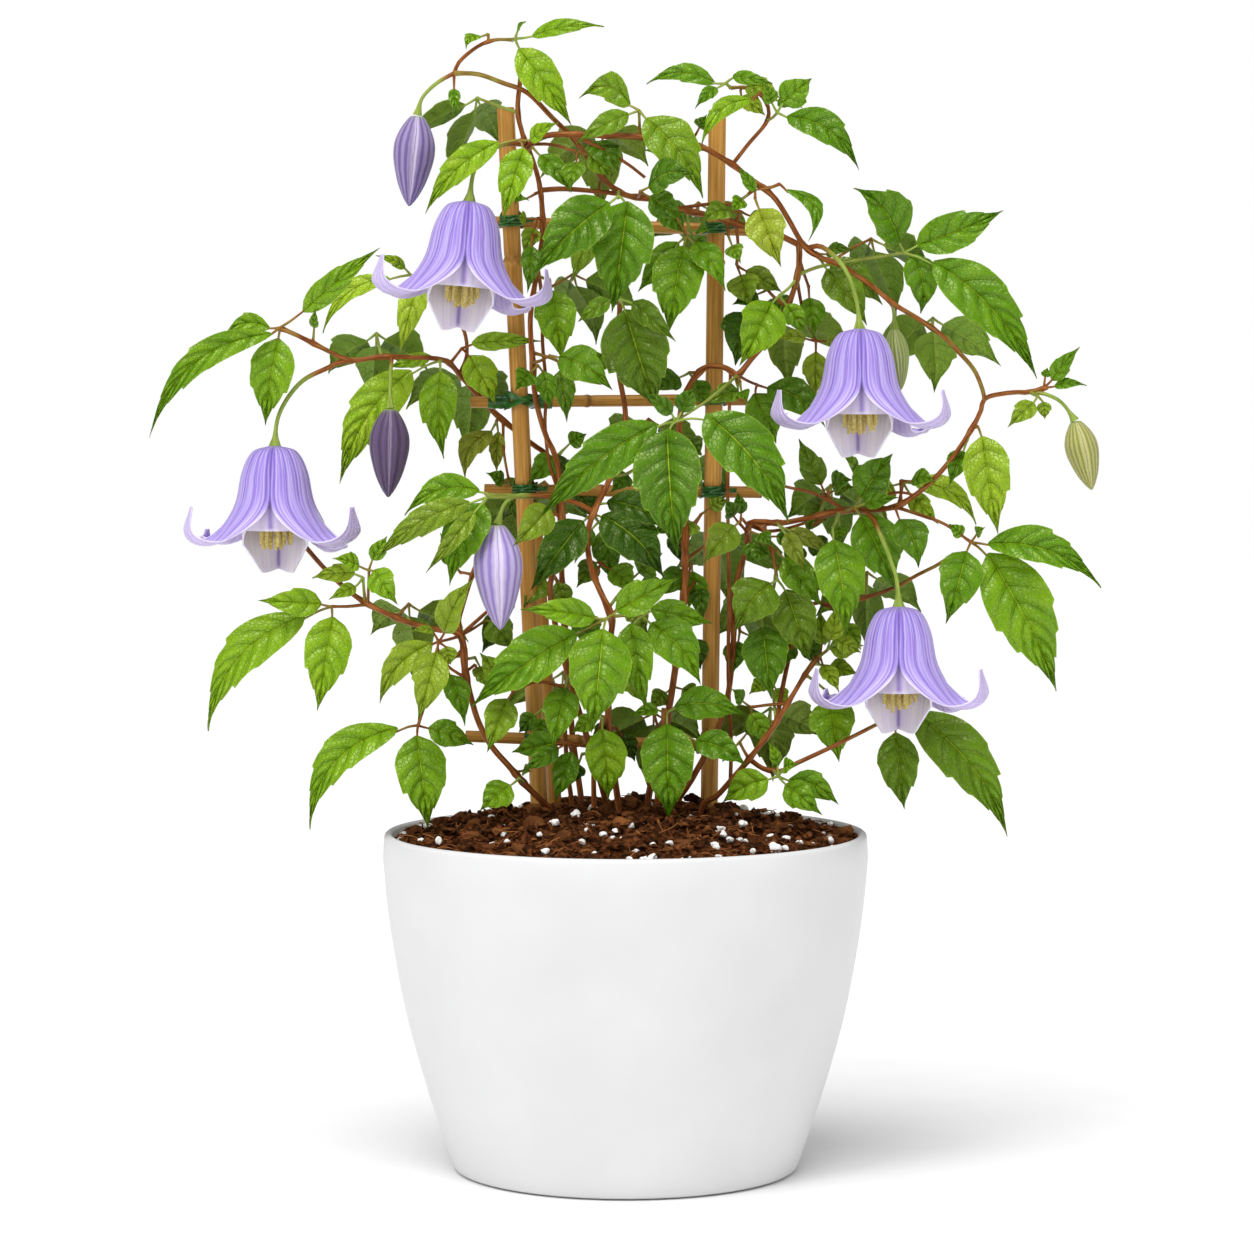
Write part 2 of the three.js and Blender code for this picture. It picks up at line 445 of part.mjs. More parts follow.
/** The point of a stem nearest to [x, z] in the front view. */
function nearest(track, x, z) {
  let best = null;
  let bestGap = Infinity;
  for (const p of track) {
    const k = (p[1] - EYE[1]) / -EYE[1];
    const dx = p[0] / k - x;
    const dz = EYE[2] + (p[2] - EYE[2]) / k - z;
    const gap = dx * dx + dz * dz;
    if (gap < bestGap) {
      bestGap = gap;
      best = p;
    }
  }
  return best;
}

const TRACK_STEPS = 12;             // samples for each stretch between two points of a stem

/** Lays out the stems of a vine: each gets its points, a fine track along them and its rod's route. */
function layStems(vine) {
  const stems = {};
  for (const [name, stem] of Object.entries(vine.stems)) {
    const points = stem.path.map((p) => seen(...p));
    if (stem.from) points.unshift(nearest(stems[stem.from[0]].track, stem.from[1], stem.from[2]));
    const route = stem.from ? points : [sub(points[0], [0, 0, STEM.buried]), ...points];
    const length = route.slice(1).reduce((sum, p, i) => sum + size(sub(p, route[i])), 0);
    const steps = Math.max(3, Math.round(length / STEM.step));
    const track = samplesOf(points, (points.length - 1) * TRACK_STEPS);
    stems[name] = { ...stem, points, track, route, steps };
  }
  return stems;
}

/** The place on the axis of a stem's rod that is nearest to p; the rod runs straight from ring to ring. */
function onRod(stem, p) {
  const rings = smooth(stem.route).getSpacedPoints(stem.steps).map((ring) => ring.toArray());
  const spots = rings.slice(1).map((b, i) => {
    const a = rings[i];
    const run = sub(b, a);
    const t = Math.min(1, Math.max(0, dot(sub(p, a), run) / dot(run, run)));
    return mix(a, b, t);
  });
  return spots.reduce((best, spot) => (size(sub(spot, p)) < size(sub(best, p)) ? spot : best));
}

// ---------------------------------------------------------------- blades

const FRONT = [0, -0.95, 0.31];     // blades face the eye and the light
const CURL = { roll: 15, arch: [0.05, 0.09], fold: [-0.1, 0.34] };  // degrees; least and play of the others

const OUTLINE = { base: 0.75, tip: 1.2 };   // how fast a blade widens from its base and narrows to its tip

/** Outline half-width of a blade, from 0 at its base to 0 at its tip, 1 at its widest. */
function spread(t) {
  const shape = (share) => share ** OUTLINE.base * (1 - share) ** OUTLINE.tip;
  return shape(t) / shape(OUTLINE.base / (OUTLINE.base + OUTLINE.tip));
}

/** A blade's frame and its random curl, from its base, tip, width and facing. */
function bladeFrame(base, tip, width, facing, bow, roll) {
  const chord = sub(tip, base);
  const length = size(chord);
  const along = mul(chord, 1 / length);
  const rest = unit(sub(facing, mul(along, dot(facing, along))));
  const side0 = cross(along, rest);
  const turn = ((-CURL.roll + 2 * CURL.roll * roll()) * Math.PI) / 180;
  const up = add(mul(rest, Math.cos(turn)), mul(side0, Math.sin(turn)));
  const side = cross(along, up);
  const arch = CURL.arch[0] + CURL.arch[1] * roll();
  const fold = CURL.fold[0] + CURL.fold[1] * roll();
  return { base, along, up, side, length, width, bow, arch, fold };
}

/** A point of a blade: t along it, s across it from -1 to 1 of the outline. */
function bladePoint(f, t, s, flare = 1) {
  const half = 0.5 * f.width * spread(t) * flare;
  const swell = 4 * t * (1 - t);
  const across = f.bow * f.length * swell + s * half;
  const out = f.arch * f.length * swell + f.fold * half * Math.abs(s);
  return add(f.base, add(mul(f.along, t * f.length), add(mul(f.side, across), mul(f.up, out))));
}

// ---------------------------------------------------------------- leaves, bent clear of each other

// Neighbouring blades of a leaf lean forward and back by turns, so that they pass: by STEP at their
// bases and by LEANS at their tips. A leaf whose blades still cross is tried again with the next leans.
const STEP = 1.2;
const LEAST_WIDTH = 5.5;            // narrower blades are too slight for a solid
const SHORTEST_FOOT = 4.5;          // no blade starts nearer to its fork than this
const LEANS = [[-8, 2], [2, -8], [-11, 3], [3, -11], [-14, 5], [5, -14], [-18, 8], [8, -18], [-22, 10],
  [10, -22]];
const LEAN_PLAY = 3;

// Leaves placed by rule: the play of their bearing in degrees, the rise of the fork, how much the blades
// face up, their length, width and drop as [least, play], and how much shorter the outer two are.
const RULED = {
  bearingPlay: 24,
  rise: [4, 8],
  upward: 0.55,
  length: [30, 12],
  width: [15, 5],
  drop: [0.62, 0.25],
  shorter: 5,
  aside: 0.9,
  outwards: 0.42,
};

/** The three blades of a side or back leaf, by rule. */
function ruledLeaf(entry, stem, index, attempt) {
  const roll = dice(900 + index + 1000 * attempt);
  const start = nearest(stem.track, ...entry.from);
  const angle = ((entry.bearing + RULED.bearingPlay * (roll() - 0.5)) * Math.PI) / 180;
  const out = [Math.cos(angle), Math.sin(angle), 0];
  const rise = RULED.rise[0] + RULED.rise[1] * roll();
  const fork = add(start, [out[0] * entry.reach, out[1] * entry.reach, rise]);
  const facing = unit([out[0], out[1], RULED.upward]);
  const beside = [-out[1], out[0], 0];
  const blades = [-1, 0, 1].map((side) => {
    const length = RULED.length[0] + RULED.length[1] * roll() - RULED.shorter * Math.abs(side);
    const drop = RULED.drop[0] + RULED.drop[1] * roll();
    const level = add(mul(beside, side * RULED.aside), mul(out, RULED.outwards));
    const way = unit(sub(level, [0, 0, drop]));
    const near = side === 0 ? 0 : 1;
    const base = add(fork, add(mul(way, SHORTEST_FOOT + 1), mul(facing, near ? STEP : -STEP)));
    const tip = add(fork, add(mul(way, length), mul(facing, -0.6 * LEANS[attempt][1 - near])));
    return { base, tip, width: RULED.width[0] + RULED.width[1] * roll(), bow: 0.1 * (roll() - 0.5) };
  });
  return { start: onRod(stem, start), fork, via: [], facing, blades };
}

/** A leaf written in the layout, with its places slid to their depths. */
function drawnLeaf(entry, stem, index, attempt) {
  const roll = dice(100 + index + 1000 * attempt);
  const start = nearest(stem.track, ...entry.from);
  const [forkX, forkZ, depth] = entry.to;
  const count = (entry.via || []).length + 1;
  const depthAt = (i) => start[1] + ((depth - start[1]) * (i + 1)) / count;
  const via = (entry.via || []).map((p, i) => seen(p[0], p[1], depthAt(i)));
  const bearing = ([bx, bz, tx, tz]) => Math.atan2(0.5 * (bx + tx) - forkX, 0.5 * (bz + tz) - forkZ);
  const inTurn = entry.blades.filter((b) => b[4] >= LEAST_WIDTH).sort((a, b) => bearing(a) - bearing(b));
  const blades = inTurn.map(([bx, bz, tx, tz, width, bow = 0], i) => {
    const lean = LEANS[attempt][i % 2] + LEAN_PLAY * (roll() - 0.5);
    const step = lean < 0 ? -STEP : STEP;
    const gap = Math.hypot(bx - forkX, bz - forkZ);
    const length = Math.hypot(tx - bx, tz - bz);
    const t = Math.max(0, SHORTEST_FOOT - gap) / length;
    const base = seen(bx + t * (tx - bx), bz + t * (tz - bz), depth + step);
    return { base, tip: seen(tx, tz, depth + lean), width, bow };
  });
  return { start: onRod(stem, start), fork: seen(...entry.to), via, facing: FRONT, blades };
}

/** Moves a leaf's fork and blades by dy along the line of sight; its stalk follows. */
function shifted(leaf, dy) {
  const move = (p, share) => {
    const y = p[1] + dy * share;
    const k = (y - EYE[1]) / (p[1] - EYE[1]);
    return [p[0] * k, y, EYE[2] + (p[2] - EYE[2]) * k];
  };
  return {
    ...leaf,
    fork: move(leaf.fork, 1),
    via: leaf.via.map((p, i) => move(p, (i + 1) / (leaf.via.length + 1))),
    blades: leaf.blades.map((b) => ({ ...b, base: move(b.base, 1), tip: move(b.tip, 1) })),
  };
}

const FEEL = {
  footEnd: 0.35,                    // a blade's foot may touch the stems of its own vine
  blade: 2.9,                       // radius of the beads that feel for neighbours along a blade
  stalk: 1.3,
  shifts: [0, -4, 4, -8, 8, -12, 12, -16, 16, -20, 20, -24, 24, -28, 28, -32, 32, -38, 38, -44, 44],
  bladeSpots: [[0.12, 0], [0.25, 0], [0.25, -0.6], [0.25, 0.6], [0.4, 0], [0.42, -0.62], [0.42, 0.62],
    [0.55, 0],
    [0.6, -0.55], [0.6, 0.55], [0.7, 0], [0.84, 0], [0.97, 0]],
};

/** Beads [x, y, z, radius, kind, vine] along a leaf's stalk and blades. */
function leafBeads(leaf, vine) {
  const beads = [];
  const stalk = samplesOf([leaf.start, ...leaf.via, leaf.fork], 8).slice(3);
  for (const p of stalk) beads.push([...p, FEEL.stalk, 'stalk', vine]);
  for (const f of leaf.frames) {
    for (const [t, s] of FEEL.bladeSpots) {
      beads.push([...bladePoint(f, t, s), FEEL.blade, t < FEEL.footEnd ? 'foot' : 'blade', vine]);
    }
    const foot = mix(leaf.fork, f.base, 0.6);
    beads.push([...foot, FEEL.stalk, 'stalk', vine]);
  }
  return beads;
}

/** Gives each blade of a leaf its frame, with a curl that depends on the leaf's number and the attempt. */
function withFrames(leaf, index, attempt) {
  const roll = dice(500 + index + 1000 * attempt);
  const frameOf = (b) => bladeFrame(b.base, b.tip, b.width, leaf.facing, b.bow, roll);
  return { ...leaf, frames: leaf.blades.map(frameOf) };
}

/** Whether two kinds of bead of one vine must keep clear of each other. */
function meets(one, two) {
  const blades = [one, two].filter((kind) => kind === 'blade').length;
  const feet = [one, two].filter((kind) => kind === 'foot').length;
  return blades > 0 || feet === 2;
}

/** How deep a leaf's beads sit in the beads already placed. */
function crowding(beads, placed) {
  let total = 0;
  for (const b of beads) {
    for (const p of placed) {
      if (p[5] === b[5] && !meets(p[4], b[4])) continue;
      const reach = b[3] + p[3];
      const dx = b[0] - p[0];
      if (dx > reach || dx < -reach) continue;
      const dz = b[2] - p[2];
      if (dz > reach || dz < -reach) continue;
      const dy = b[1] - p[1];
      const gap = dx * dx + dy * dy + dz * dz;
      if (gap < reach * reach) total += reach - Math.sqrt(gap);
    }
  }
  return total;
}

const BELL_BEADS = [[0, -4, 9], [0, -14, 16], [0, -24, 18], [0, -34, 19], [0, -45, 12], [29, -41, 7],
  [36, -35, 5],
  [34, -25, 3], [-29, -41, 7], [-36, -35, 5], [-34, -25, 3]];
const BELL_TIP_Y = 12;              // the four tips stand this far in front of and behind the bell's middle

/** Beads for everything that stands still: canes, rungs, ties, bells, buds and every vine's stems. */
function fixedBeads(vines, canes, rungs) {
  const beads = [];
  const row = (a, b, radius, kind, vine) => {
    const count = Math.ceil(size(sub(b, a)) / 4);
    for (let i = 0; i <= count; i += 1) beads.push([...mix(a, b, i / count), radius, kind, vine]);
  };
  for (const cane of canes) row(cane.foot, cane.head, cane.radius + 0.8, 'cane', 'trellis');
  for (const rung of rungs) row(rung.a, rung.b, RUNG.radius + 0.8, 'cane', 'trellis');
  for (const [key, bell] of Object.entries(BELLS)) {
    const top = seen(...bell.top);
    for (const [x, z, radius] of BELL_BEADS) {
      const ys = x === 0 ? [0] : [-BELL_TIP_Y, BELL_TIP_Y];
      for (const y of ys) beads.push([top[0] + x, top[1] + y, top[2] + z, radius, 'bell', `bell_${key}`]);
    }
  }
  for (const [key, bud] of Object.entries(BUDS)) {
    const top = seen(...bud.top);
    const tip = seen(...bud.tip);
    for (const t of [0.1, 0.25, 0.4, 0.55, 0.7, 0.85, 1]) {
      const radius = 0.5 * bud.width * Math.sin(Math.PI * (0.12 + 0.8 * t));
      beads.push([...mix(top, tip, t), radius, 'bud', `bud_${key}`]);
    }
  }
  for (const [vine, stems] of Object.entries(vines)) {
    for (const stem of Object.values(stems)) {
      const count = Math.ceil(stem.track.length / 4);
      for (let i = 0; i <= count; i += 1) {
        const p = stem.track[Math.min(stem.track.length - 1, i * 4)];
        beads.push([...p, stem.r + 0.9, 'stem', vine]);
      }
    }
  }
  return beads;
}

/** Places every leaf, each in the first depth where it touches nothing placed before it. */
function placeLeaves(vines, canes, rungs) {
  const placed = fixedBeads(vines, canes, rungs);
  const leaves = [];
  const entries = [];
  for (const [vine, plan] of Object.entries(VINES)) {
    for (const entry of plan.leaves) {
      if (entry.blades.some((b) => b[4] >= LEAST_WIDTH)) entries.push({ vine, entry, ruled: false });
    }
  }
  for (const entry of BACK_LEAVES) entries.push({ vine: entry.vine, entry, ruled: true });
  entries.forEach(({ vine, entry, ruled }, index) => {
    const stem = vines[vine][entry.on];
    const draw = ruled ? ruledLeaf : drawnLeaf;
    const tried = (attempt) => withFrames(draw(entry, stem, index, attempt), index, attempt);
    const fits = (attempt) => !crossesItself(leafParts(tried(attempt))[0]);
    const attempt = Math.max(0, LEANS.findIndex((_, k) => fits(k)));
    const plain = draw(entry, stem, index, attempt);
    let best = null;
    let bestCrowd = Infinity;
    for (const dy of FEEL.shifts) {
      const leaf = withFrames(shifted(plain, dy), index, attempt);
      const beads = leafBeads(leaf, vine);
      const crowd = crowding(beads, placed);
      if (crowd < bestCrowd - 0.5) {
        best = { leaf, beads, dy };
        bestCrowd = crowd;
      }
      if (crowd === 0) break;
    }
    placed.push(...best.beads);
    leaves.push({ ...best.leaf, vine, index, dy: best.dy, crowd: bestCrowd, attempt });
  });
  return leaves;
}

// ---------------------------------------------------------------- solids

/** A closed mesh of position only, from a list of points and a list of triangles. */
function meshOf(points, faces) {
  const geometry = new THREE.BufferGeometry();
  geometry.setAttribute('position', new THREE.Float32BufferAttribute(points.flat(), 3));
  geometry.setIndex(faces.flat());
  return geometry;
}

/** Drops all but positions and merges shared vertices. */
function bare(geometry) {
  geometry.deleteAttribute('normal');
  geometry.deleteAttribute('uv');
  return mergeVertices(geometry, 1e-4);
}

/** Volume of a closed mesh, negative if its faces point inwards. */
function volumeOf(geometry) {
  const p = geometry.getAttribute('position');
  const index = geometry.getIndex();
  const at = (i) => [p.getX(i), p.getY(i), p.getZ(i)];
  let total = 0;
  for (let i = 0; i < index.count; i += 3) {
    const a = at(index.getX(i));
    const b = at(index.getX(i + 1));
    const c = at(index.getX(i + 2));
    total += dot(a, cross(b, c)) / 6;
  }
  return total;
}

/** The same mesh with its faces pointing outwards. */
function outward(geometry) {
  if (volumeOf(geometry) < 0) {
    const index = geometry.getIndex();
    for (let i = 0; i < index.count; i += 3) {
      const keep = index.getX(i + 1);
      index.setX(i + 1, index.getX(i + 2));
      index.setX(i + 2, keep);
    }
  }
  return geometry;
}

/** A manifold solid of a closed mesh. */
function solid(geometry) {
  const clean = outward(bare(geometry));
  return new wasm.Manifold(new wasm.Mesh({
    numProp: 3,
    vertProperties: new Float32Array(clean.getAttribute('position').array),
    triVerts: new Uint32Array(clean.getIndex().array),
  }));
}

/** A BufferGeometry of a manifold solid. */
function geometryOf(body) {
  const mesh = body.getMesh();
  const geometry = new THREE.BufferGeometry();
  geometry.setAttribute('position', new THREE.Float32BufferAttribute(mesh.vertProperties, 3));
  geometry.setIndex([...mesh.triVerts]);
  return geometry;
}

/** The largest piece of a solid, without edges shorter than a hundredth of a millimetre. */
function largest(body) {
  const pieces = body.simplify(0.01).decompose();
  pieces.sort((a, b) => b.volume() - a.volume());
  return geometryOf(pieces[0]);
}

/** Joins closed meshes into one solid, and stops where one of them doesn't reach the others. */
function fuse(geometries) {
  const body = wasm.Manifold.union(geometries.map(solid));
  if (body.simplify(0.01).decompose().length > 1) throw new Error('a part is not joined to the rest');
  return largest(body);
}

/** A round rod along points. */
function rod(points, radius, sides, steps) {
  const section = new THREE.Shape();
  for (let i = 0; i < sides; i += 1) {
    const a = (i / sides) * Math.PI * 2;
    if (i === 0) section.moveTo(radius, 0);
    else section.lineTo(radius * Math.cos(a), radius * Math.sin(a));
  }
  section.closePath();
  const extrudePath = smooth(points);
  return new THREE.ExtrudeGeometry(section, { steps, extrudePath, bevelEnabled: false, curveSegments: 1 });
}

/** A lathed body whose axis runs from a to b; profile is [radius, distance from a]. */
function lathed(a, b, profile, sides) {
  const axis = unit(sub(b, a));
  const geometry = new THREE.LatheGeometry(profile.map(([r, h]) => new THREE.Vector2(r, h)), sides);
  const upright = new THREE.Vector3(0, 1, 0);
  geometry.applyQuaternion(new THREE.Quaternion().setFromUnitVectors(upright, new THREE.Vector3(...axis)));
  geometry.translate(...a);
  return geometry;
}

// Edge of a blade as [t, share of its half-width], with the rib's points between: a tooth a side on
// all but the small ones.
const EDGES = {
  big: { edge: [[0.15, 0.95], [0.44, 1.1], [0.52, 0.84], [0.74, 0.98]], rib: [0.44] },
  middling: { edge: [[0.2, 0.95], [0.52, 1.14], [0.6, 0.84]], rib: [0.42] },
  small: { edge: [[0.22, 0.95], [0.6, 1.0]], rib: [0.42] },
};
const NECK = { half: 1.1, lift: 0.6 };    // half-width and half-thickness of a blade at its base
const HUB = { web: 1.15, half: 0.8 };     // a fork: how far out its blades part, and half its thickness
const TIP = 1;

/** Triangles between an edge and the rib beside it, two rails of vertices { t, id }. */
function strip(edge, rib) {
  const faces = [];
  let i = 0;
  let j = 0;
  while (i < edge.length - 1 || j < rib.length - 1) {
    const alongEdge = j === rib.length - 1 || (i < edge.length - 1 && edge[i + 1].t <= rib[j + 1].t);
    const third = alongEdge ? edge[i + 1] : rib[j + 1];
    if (third.id !== edge[i].id && third.id !== rib[j].id) faces.push([edge[i].id, third.id, rib[j].id]);
    if (alongEdge) i += 1;
    else j += 1;
  }
  return faces;
}

/** The four strips of an arm, whose rails are { left, over, right, under }. */
function armFaces(rails) {
  const flipped = (faces) => faces.map(([a, b, c]) => [a, c, b]);
  return [...strip(rails.left, rails.over), ...flipped(strip(rails.right, rails.over)),
    ...flipped(strip(rails.left, rails.under)), ...strip(rails.right, rails.under)];
}

/** The same arrow after the smallest turn that takes one direction to another. */
function carried(arrow, from, to) {
  const turn = new THREE.Quaternion();
  turn.setFromUnitVectors(new THREE.Vector3(...from), new THREE.Vector3(...to));
  return new THREE.Vector3(...arrow).applyQuaternion(turn).toArray();
}

/** Carries a blade's rails from the fork to its tip: thickest at the rib, with a toothed edge. */
function growBlade(rails, f, fork, vertex) {
  let plan = EDGES.small;
  if (f.width >= 9) plan = EDGES.middling;
  if (f.width >= 14) plan = EDGES.big;
  const tip = vertex(TIP, bladePoint(f, TIP, 0));
  const reach = sub(f.base, fork);
  const bend = unit(add(unit(reach), f.along));
  const neck = mul(carried(f.side, f.along, bend), NECK.half);
  for (const [name, s] of [['left', -1], ['right', 1]]) {
    rails[name].push(vertex(0, add(f.base, mul(neck, s))));
    rails[name].push(...plan.edge.map(([t, share]) => vertex(t, bladePoint(f, t, s, share))), tip);
  }
  for (const [name, s] of [['over', 1], ['under', -1]]) {
    const lift = mul(f.up, 0.5 * s * BLADE_THICKNESS);
    rails[name].push(vertex(0, add(f.base, mul(f.up, s * NECK.lift))));
    rails[name].push(...plan.rib.map((t) => vertex(t, add(bladePoint(f, t, 0), lift))), tip);
  }
  return armFaces(rails);
}

/** Carries the stalk's rails from the fork to its start in the stem, and closes them there. */
function growStalk(rails, stops, facing, vertex) {
  stops.slice(1).forEach((p, k) => {
    const behind = unit(sub(p, stops[k]));
    const way = k === stops.length - 2 ? behind : unit(add(behind, unit(sub(stops[k + 2], p))));
    const up = unit(sub(facing, mul(way, dot(facing, way))));
    const side = cross(way, up);
    const ring = { left: mul(side, -1), over: up, right: side, under: mul(up, -1) };
    for (const [name, arrow] of Object.entries(ring)) {
      rails[name].push(vertex(k + 1, add(p, mul(arrow, STALK_HALF))));
    }
  });
  const [a, b, c, d] = ['left', 'over', 'right', 'under'].map((name) => rails[name].at(-1).id);
  return [...armFaces(rails), [a, c, b], [a, d, c]];
}

/** The middle of the widest gap between bearings, in radians. */
function widestGap(turns) {
  const sorted = [...turns].sort((a, b) => a - b);
  const after = (i) => (i + 1 < sorted.length ? sorted[i + 1] : sorted[0] + Math.PI * 2);
  const gaps = sorted.map((turn, i) => after(i) - turn);
  const widest = gaps.indexOf(Math.max(...gaps));
  return sorted[widest] + 0.5 * gaps[widest];
}

/**
 * Blades round a fork as one closed mesh, without a join: the blades and the stalk are the arms of a
 * star, and each shares its first points with the arms beside it. Without stops for the stalk it gets
 * a stub in the widest gap.
 */
function star(leaf, stops) {
  const { fork, facing, frames } = leaf;
  const across = unit(cross([0, 0, 1], facing));
  const upward = cross(facing, across);
  const aim = (turn) => add(mul(across, Math.cos(turn)), mul(upward, Math.sin(turn)));
  const spot = (turn, reach) => add(fork, mul(aim(turn), reach));
  const turnOf = (p) => Math.atan2(dot(sub(p, fork), upward), dot(sub(p, fork), across));
  const arms = frames.map((f) => ({ f, turn: turnOf(bladePoint(f, 0.12, 0)) }));
  const stubTurn = widestGap(arms.map((arm) => arm.turn));
  const route = stops || [fork, spot(stubTurn, 2 * HUB.web)];
  arms.push({ turn: stops ? turnOf(stops[1]) : Math.atan2(Math.sin(stubTurn), Math.cos(stubTurn)) });
  arms.sort((a, b) => a.turn - b.turn);
  const points = [];
  const vertex = (t, point) => ({ t, id: points.push(point) - 1 });
  const top = vertex(-1, add(fork, mul(facing, HUB.half)));
  const bottom = vertex(-1, sub(fork, mul(facing, HUB.half)));
  const webs = arms.map((arm, i) => {
    const next = i + 1 < arms.length ? arms[i + 1].turn : arms[0].turn + Math.PI * 2;
    return vertex(-1, spot(0.5 * (arm.turn + next), HUB.web));
  });
  const faces = arms.flatMap((arm, i) => {
    const before = webs[(i + arms.length - 1) % arms.length];
    const rails = { left: [webs[i]], over: [top], right: [before], under: [bottom] };
    return arm.f ? growBlade(rails, arm.f, fork, vertex) : growStalk(rails, route, facing, vertex);
  });
  return meshOf(points, faces);
}

/** A leaf as closed meshes: one where its stalk can be an arm of the star, or else star and stalk. */
function leafParts(leaf) {
  const stops = [leaf.fork, ...[...leaf.via].reverse(), leaf.start];
  const whole = star(leaf, stops);
  if (!crossesItself(whole)) return [whole];
  return [star(leaf), rod([...stops].reverse(), STALK_HALF, 3, Math.max(1, 2 * leaf.via.length))];
}

/** Whether an edge from p to q passes through a triangle. */
function passes(p, q, [a, b, c]) {
  const ab = sub(b, a);
  const ac = sub(c, a);
  const way = sub(q, p);
  const h = cross(way, ac);
  const scale = dot(ab, h);
  if (Math.abs(scale) < 1e-9) return false;
  const s = sub(p, a);
  const u = dot(s, h) / scale;
  if (u < 0 || u > 1) return false;
  const k = cross(s, ab);
  const v = dot(way, k) / scale;
  if (v < 0 || u + v > 1) return false;
  const t = dot(ac, k) / scale;
  return t > 0 && t < 1;
}

/** Whether any two triangles of a mesh that share no corner cross. */
function crossesItself(geometry) {
  const position = geometry.getAttribute('position');
  const index = [...geometry.getIndex().array];
  const triangles = [];
  for (let i = 0; i < index.length; i += 3) {
    const ids = index.slice(i, i + 3);
    const corners = ids.map((id) => [position.getX(id), position.getY(id), position.getZ(id)]);
    const low = [0, 1, 2].map((k) => Math.min(...corners.map((p) => p[k])));
    const high = [0, 1, 2].map((k) => Math.max(...corners.map((p) => p[k])));
    triangles.push({ ids, corners, low, high });
  }
  const edges = [[0, 1], [1, 2], [2, 0]];
  return triangles.some((one, i) => triangles.slice(i + 1).some((two) => {
    if ([0, 1, 2].some((k) => one.high[k] < two.low[k] || two.high[k] < one.low[k])) return false;
    if (one.ids.some((id) => two.ids.includes(id))) return false;
    return edges.some(([a, b]) => passes(one.corners[a], one.corners[b], two.corners)
      || passes(two.corners[a], two.corners[b], one.corners));
  }));
}

// ---------------------------------------------------------------- pot and soil

// The pot's outside from foot to lip as [radius, height].
const POT_SIDE = [[69.5, 0], [71.6, 1.6], [82, 33], [91, 66], [97.3, 102], [100, 129], [99.5, 137.5],
  [98, 139]];
// The pot's inside from lip to floor; the soil follows it up to its own edge.
const POT_INSIDE = [[95.8, 139], [95.3, 129], [92.6, 100], [86.4, 66], [77.4, 33], [66.5, POT.floor]];

/** Turns a profile [radius, height] about the Z axis. */
function turned(profile, sides) {
  const geometry = new THREE.LatheGeometry(profile.map(([r, z]) => new THREE.Vector2(r, z)), sides);
  geometry.rotateX(Math.PI / 2);
  return geometry;
}

/** Height of the soil at a place: a mound with lumps. */
function soilHeight(x, y) {
  const r = Math.min(SOIL.moundRadius, Math.hypot(x, y));
  const mound = SOIL.crownRise * (0.5 + 0.5 * Math.cos((Math.PI * r) / SOIL.moundRadius))
    ** SOIL.fullness;
  const lumps = Math.sin(x * 0.23 + 1.3) * Math.cos(y * 0.19) + 0.6 * Math.sin(x * 0.47 - y * 0.39);
  return SOIL.edgeZ + mound + SOIL.bump * lumps * Math.min(1, (SOIL.moundRadius + 2 - r) / 20);
}

/** The soil: it fills the pot, and its top is raised by soilHeight. */
function soilGeometry() {
  const clear = ([r, z]) => [r - SOIL.gap, Math.max(z, POT.floor + SOIL.gap)];
  const wall = POT_INSIDE.slice(2).reverse().map(clear);
  const mound = [SOIL.edgeRadius, 84, 66, 42, 18].map((r) => [r, SOIL.edgeZ]);
  const geometry = turned([[0, POT.floor + SOIL.gap], ...wall, ...mound, [0, SOIL.edgeZ]], POT.sides);
  const p = geometry.getAttribute('position');
  for (let i = 0; i < p.count; i += 1) {
    if (p.getZ(i) > SOIL.edgeZ - 1) p.setZ(i, soilHeight(p.getX(i), p.getY(i)));
  }
  return geometry;
}

// ---------------------------------------------------------------- trellis

/** A bamboo cane from foot to head, with a swelling at each of its joints. */
function bamboo(foot, head, radius, joints, sides) {
  const length = size(sub(head, foot));
  const profile = [[0, 0], [radius, 0]];
  for (const share of joints) {
    const h = share * length;
    profile.push([radius * BAMBOO.thin, h - BAMBOO.below], [radius * BAMBOO.swell, h],
      [radius * BAMBOO.thin, h + BAMBOO.above]);
  }
  profile.push([radius * BAMBOO.thin, length], [0, length]);
  return lathed(foot, head, profile, sides);
}

/** A loop of tie wire round a cane and the rung behind it, crossing them at a slant. */
function tieLoop(cane, rungZ, slant) {
  const t = (rungZ - cane.foot[2]) / (cane.head[2] - cane.foot[2]);
  const middle = mix(cane.foot, cane.head, t);
  const geometry = new THREE.TorusGeometry(1, TIE.wire / TIE.halfWidth, 3, 10);
  geometry.scale(TIE.halfWidth, TIE.halfDepth, TIE.halfHeight);
  const centreY = 0.5 * (CANE.y - CANE.radius + RUNG_Y + RUNG.radius);
  geometry.rotateY((slant * Math.PI) / 180);
  geometry.translate(middle[0], centreY, middle[2]);
  return geometry;
}

// ---------------------------------------------------------------- bells

// A sepal of the bell as [distance from the bell's axis, height under its top, bearing of its middle,
// half of the angle it covers]; bearings are degrees from the side towards the front.
const SEPAL = [[2.5, -1.2, 45, 43], [8.5, -3.2, 45, 43.4], [13, -11, 45, 43.6], [15.8, -24, 44, 43],
  [22, -34.3, 38, 29], [29, -40.5, 32, 16], [37, -37.5, 25, 8], [35.5, -24.5, 18, 3]];
const SEPAL_THICKNESS = 1.3;        // along the middle of a sepal, which thins out to its edges

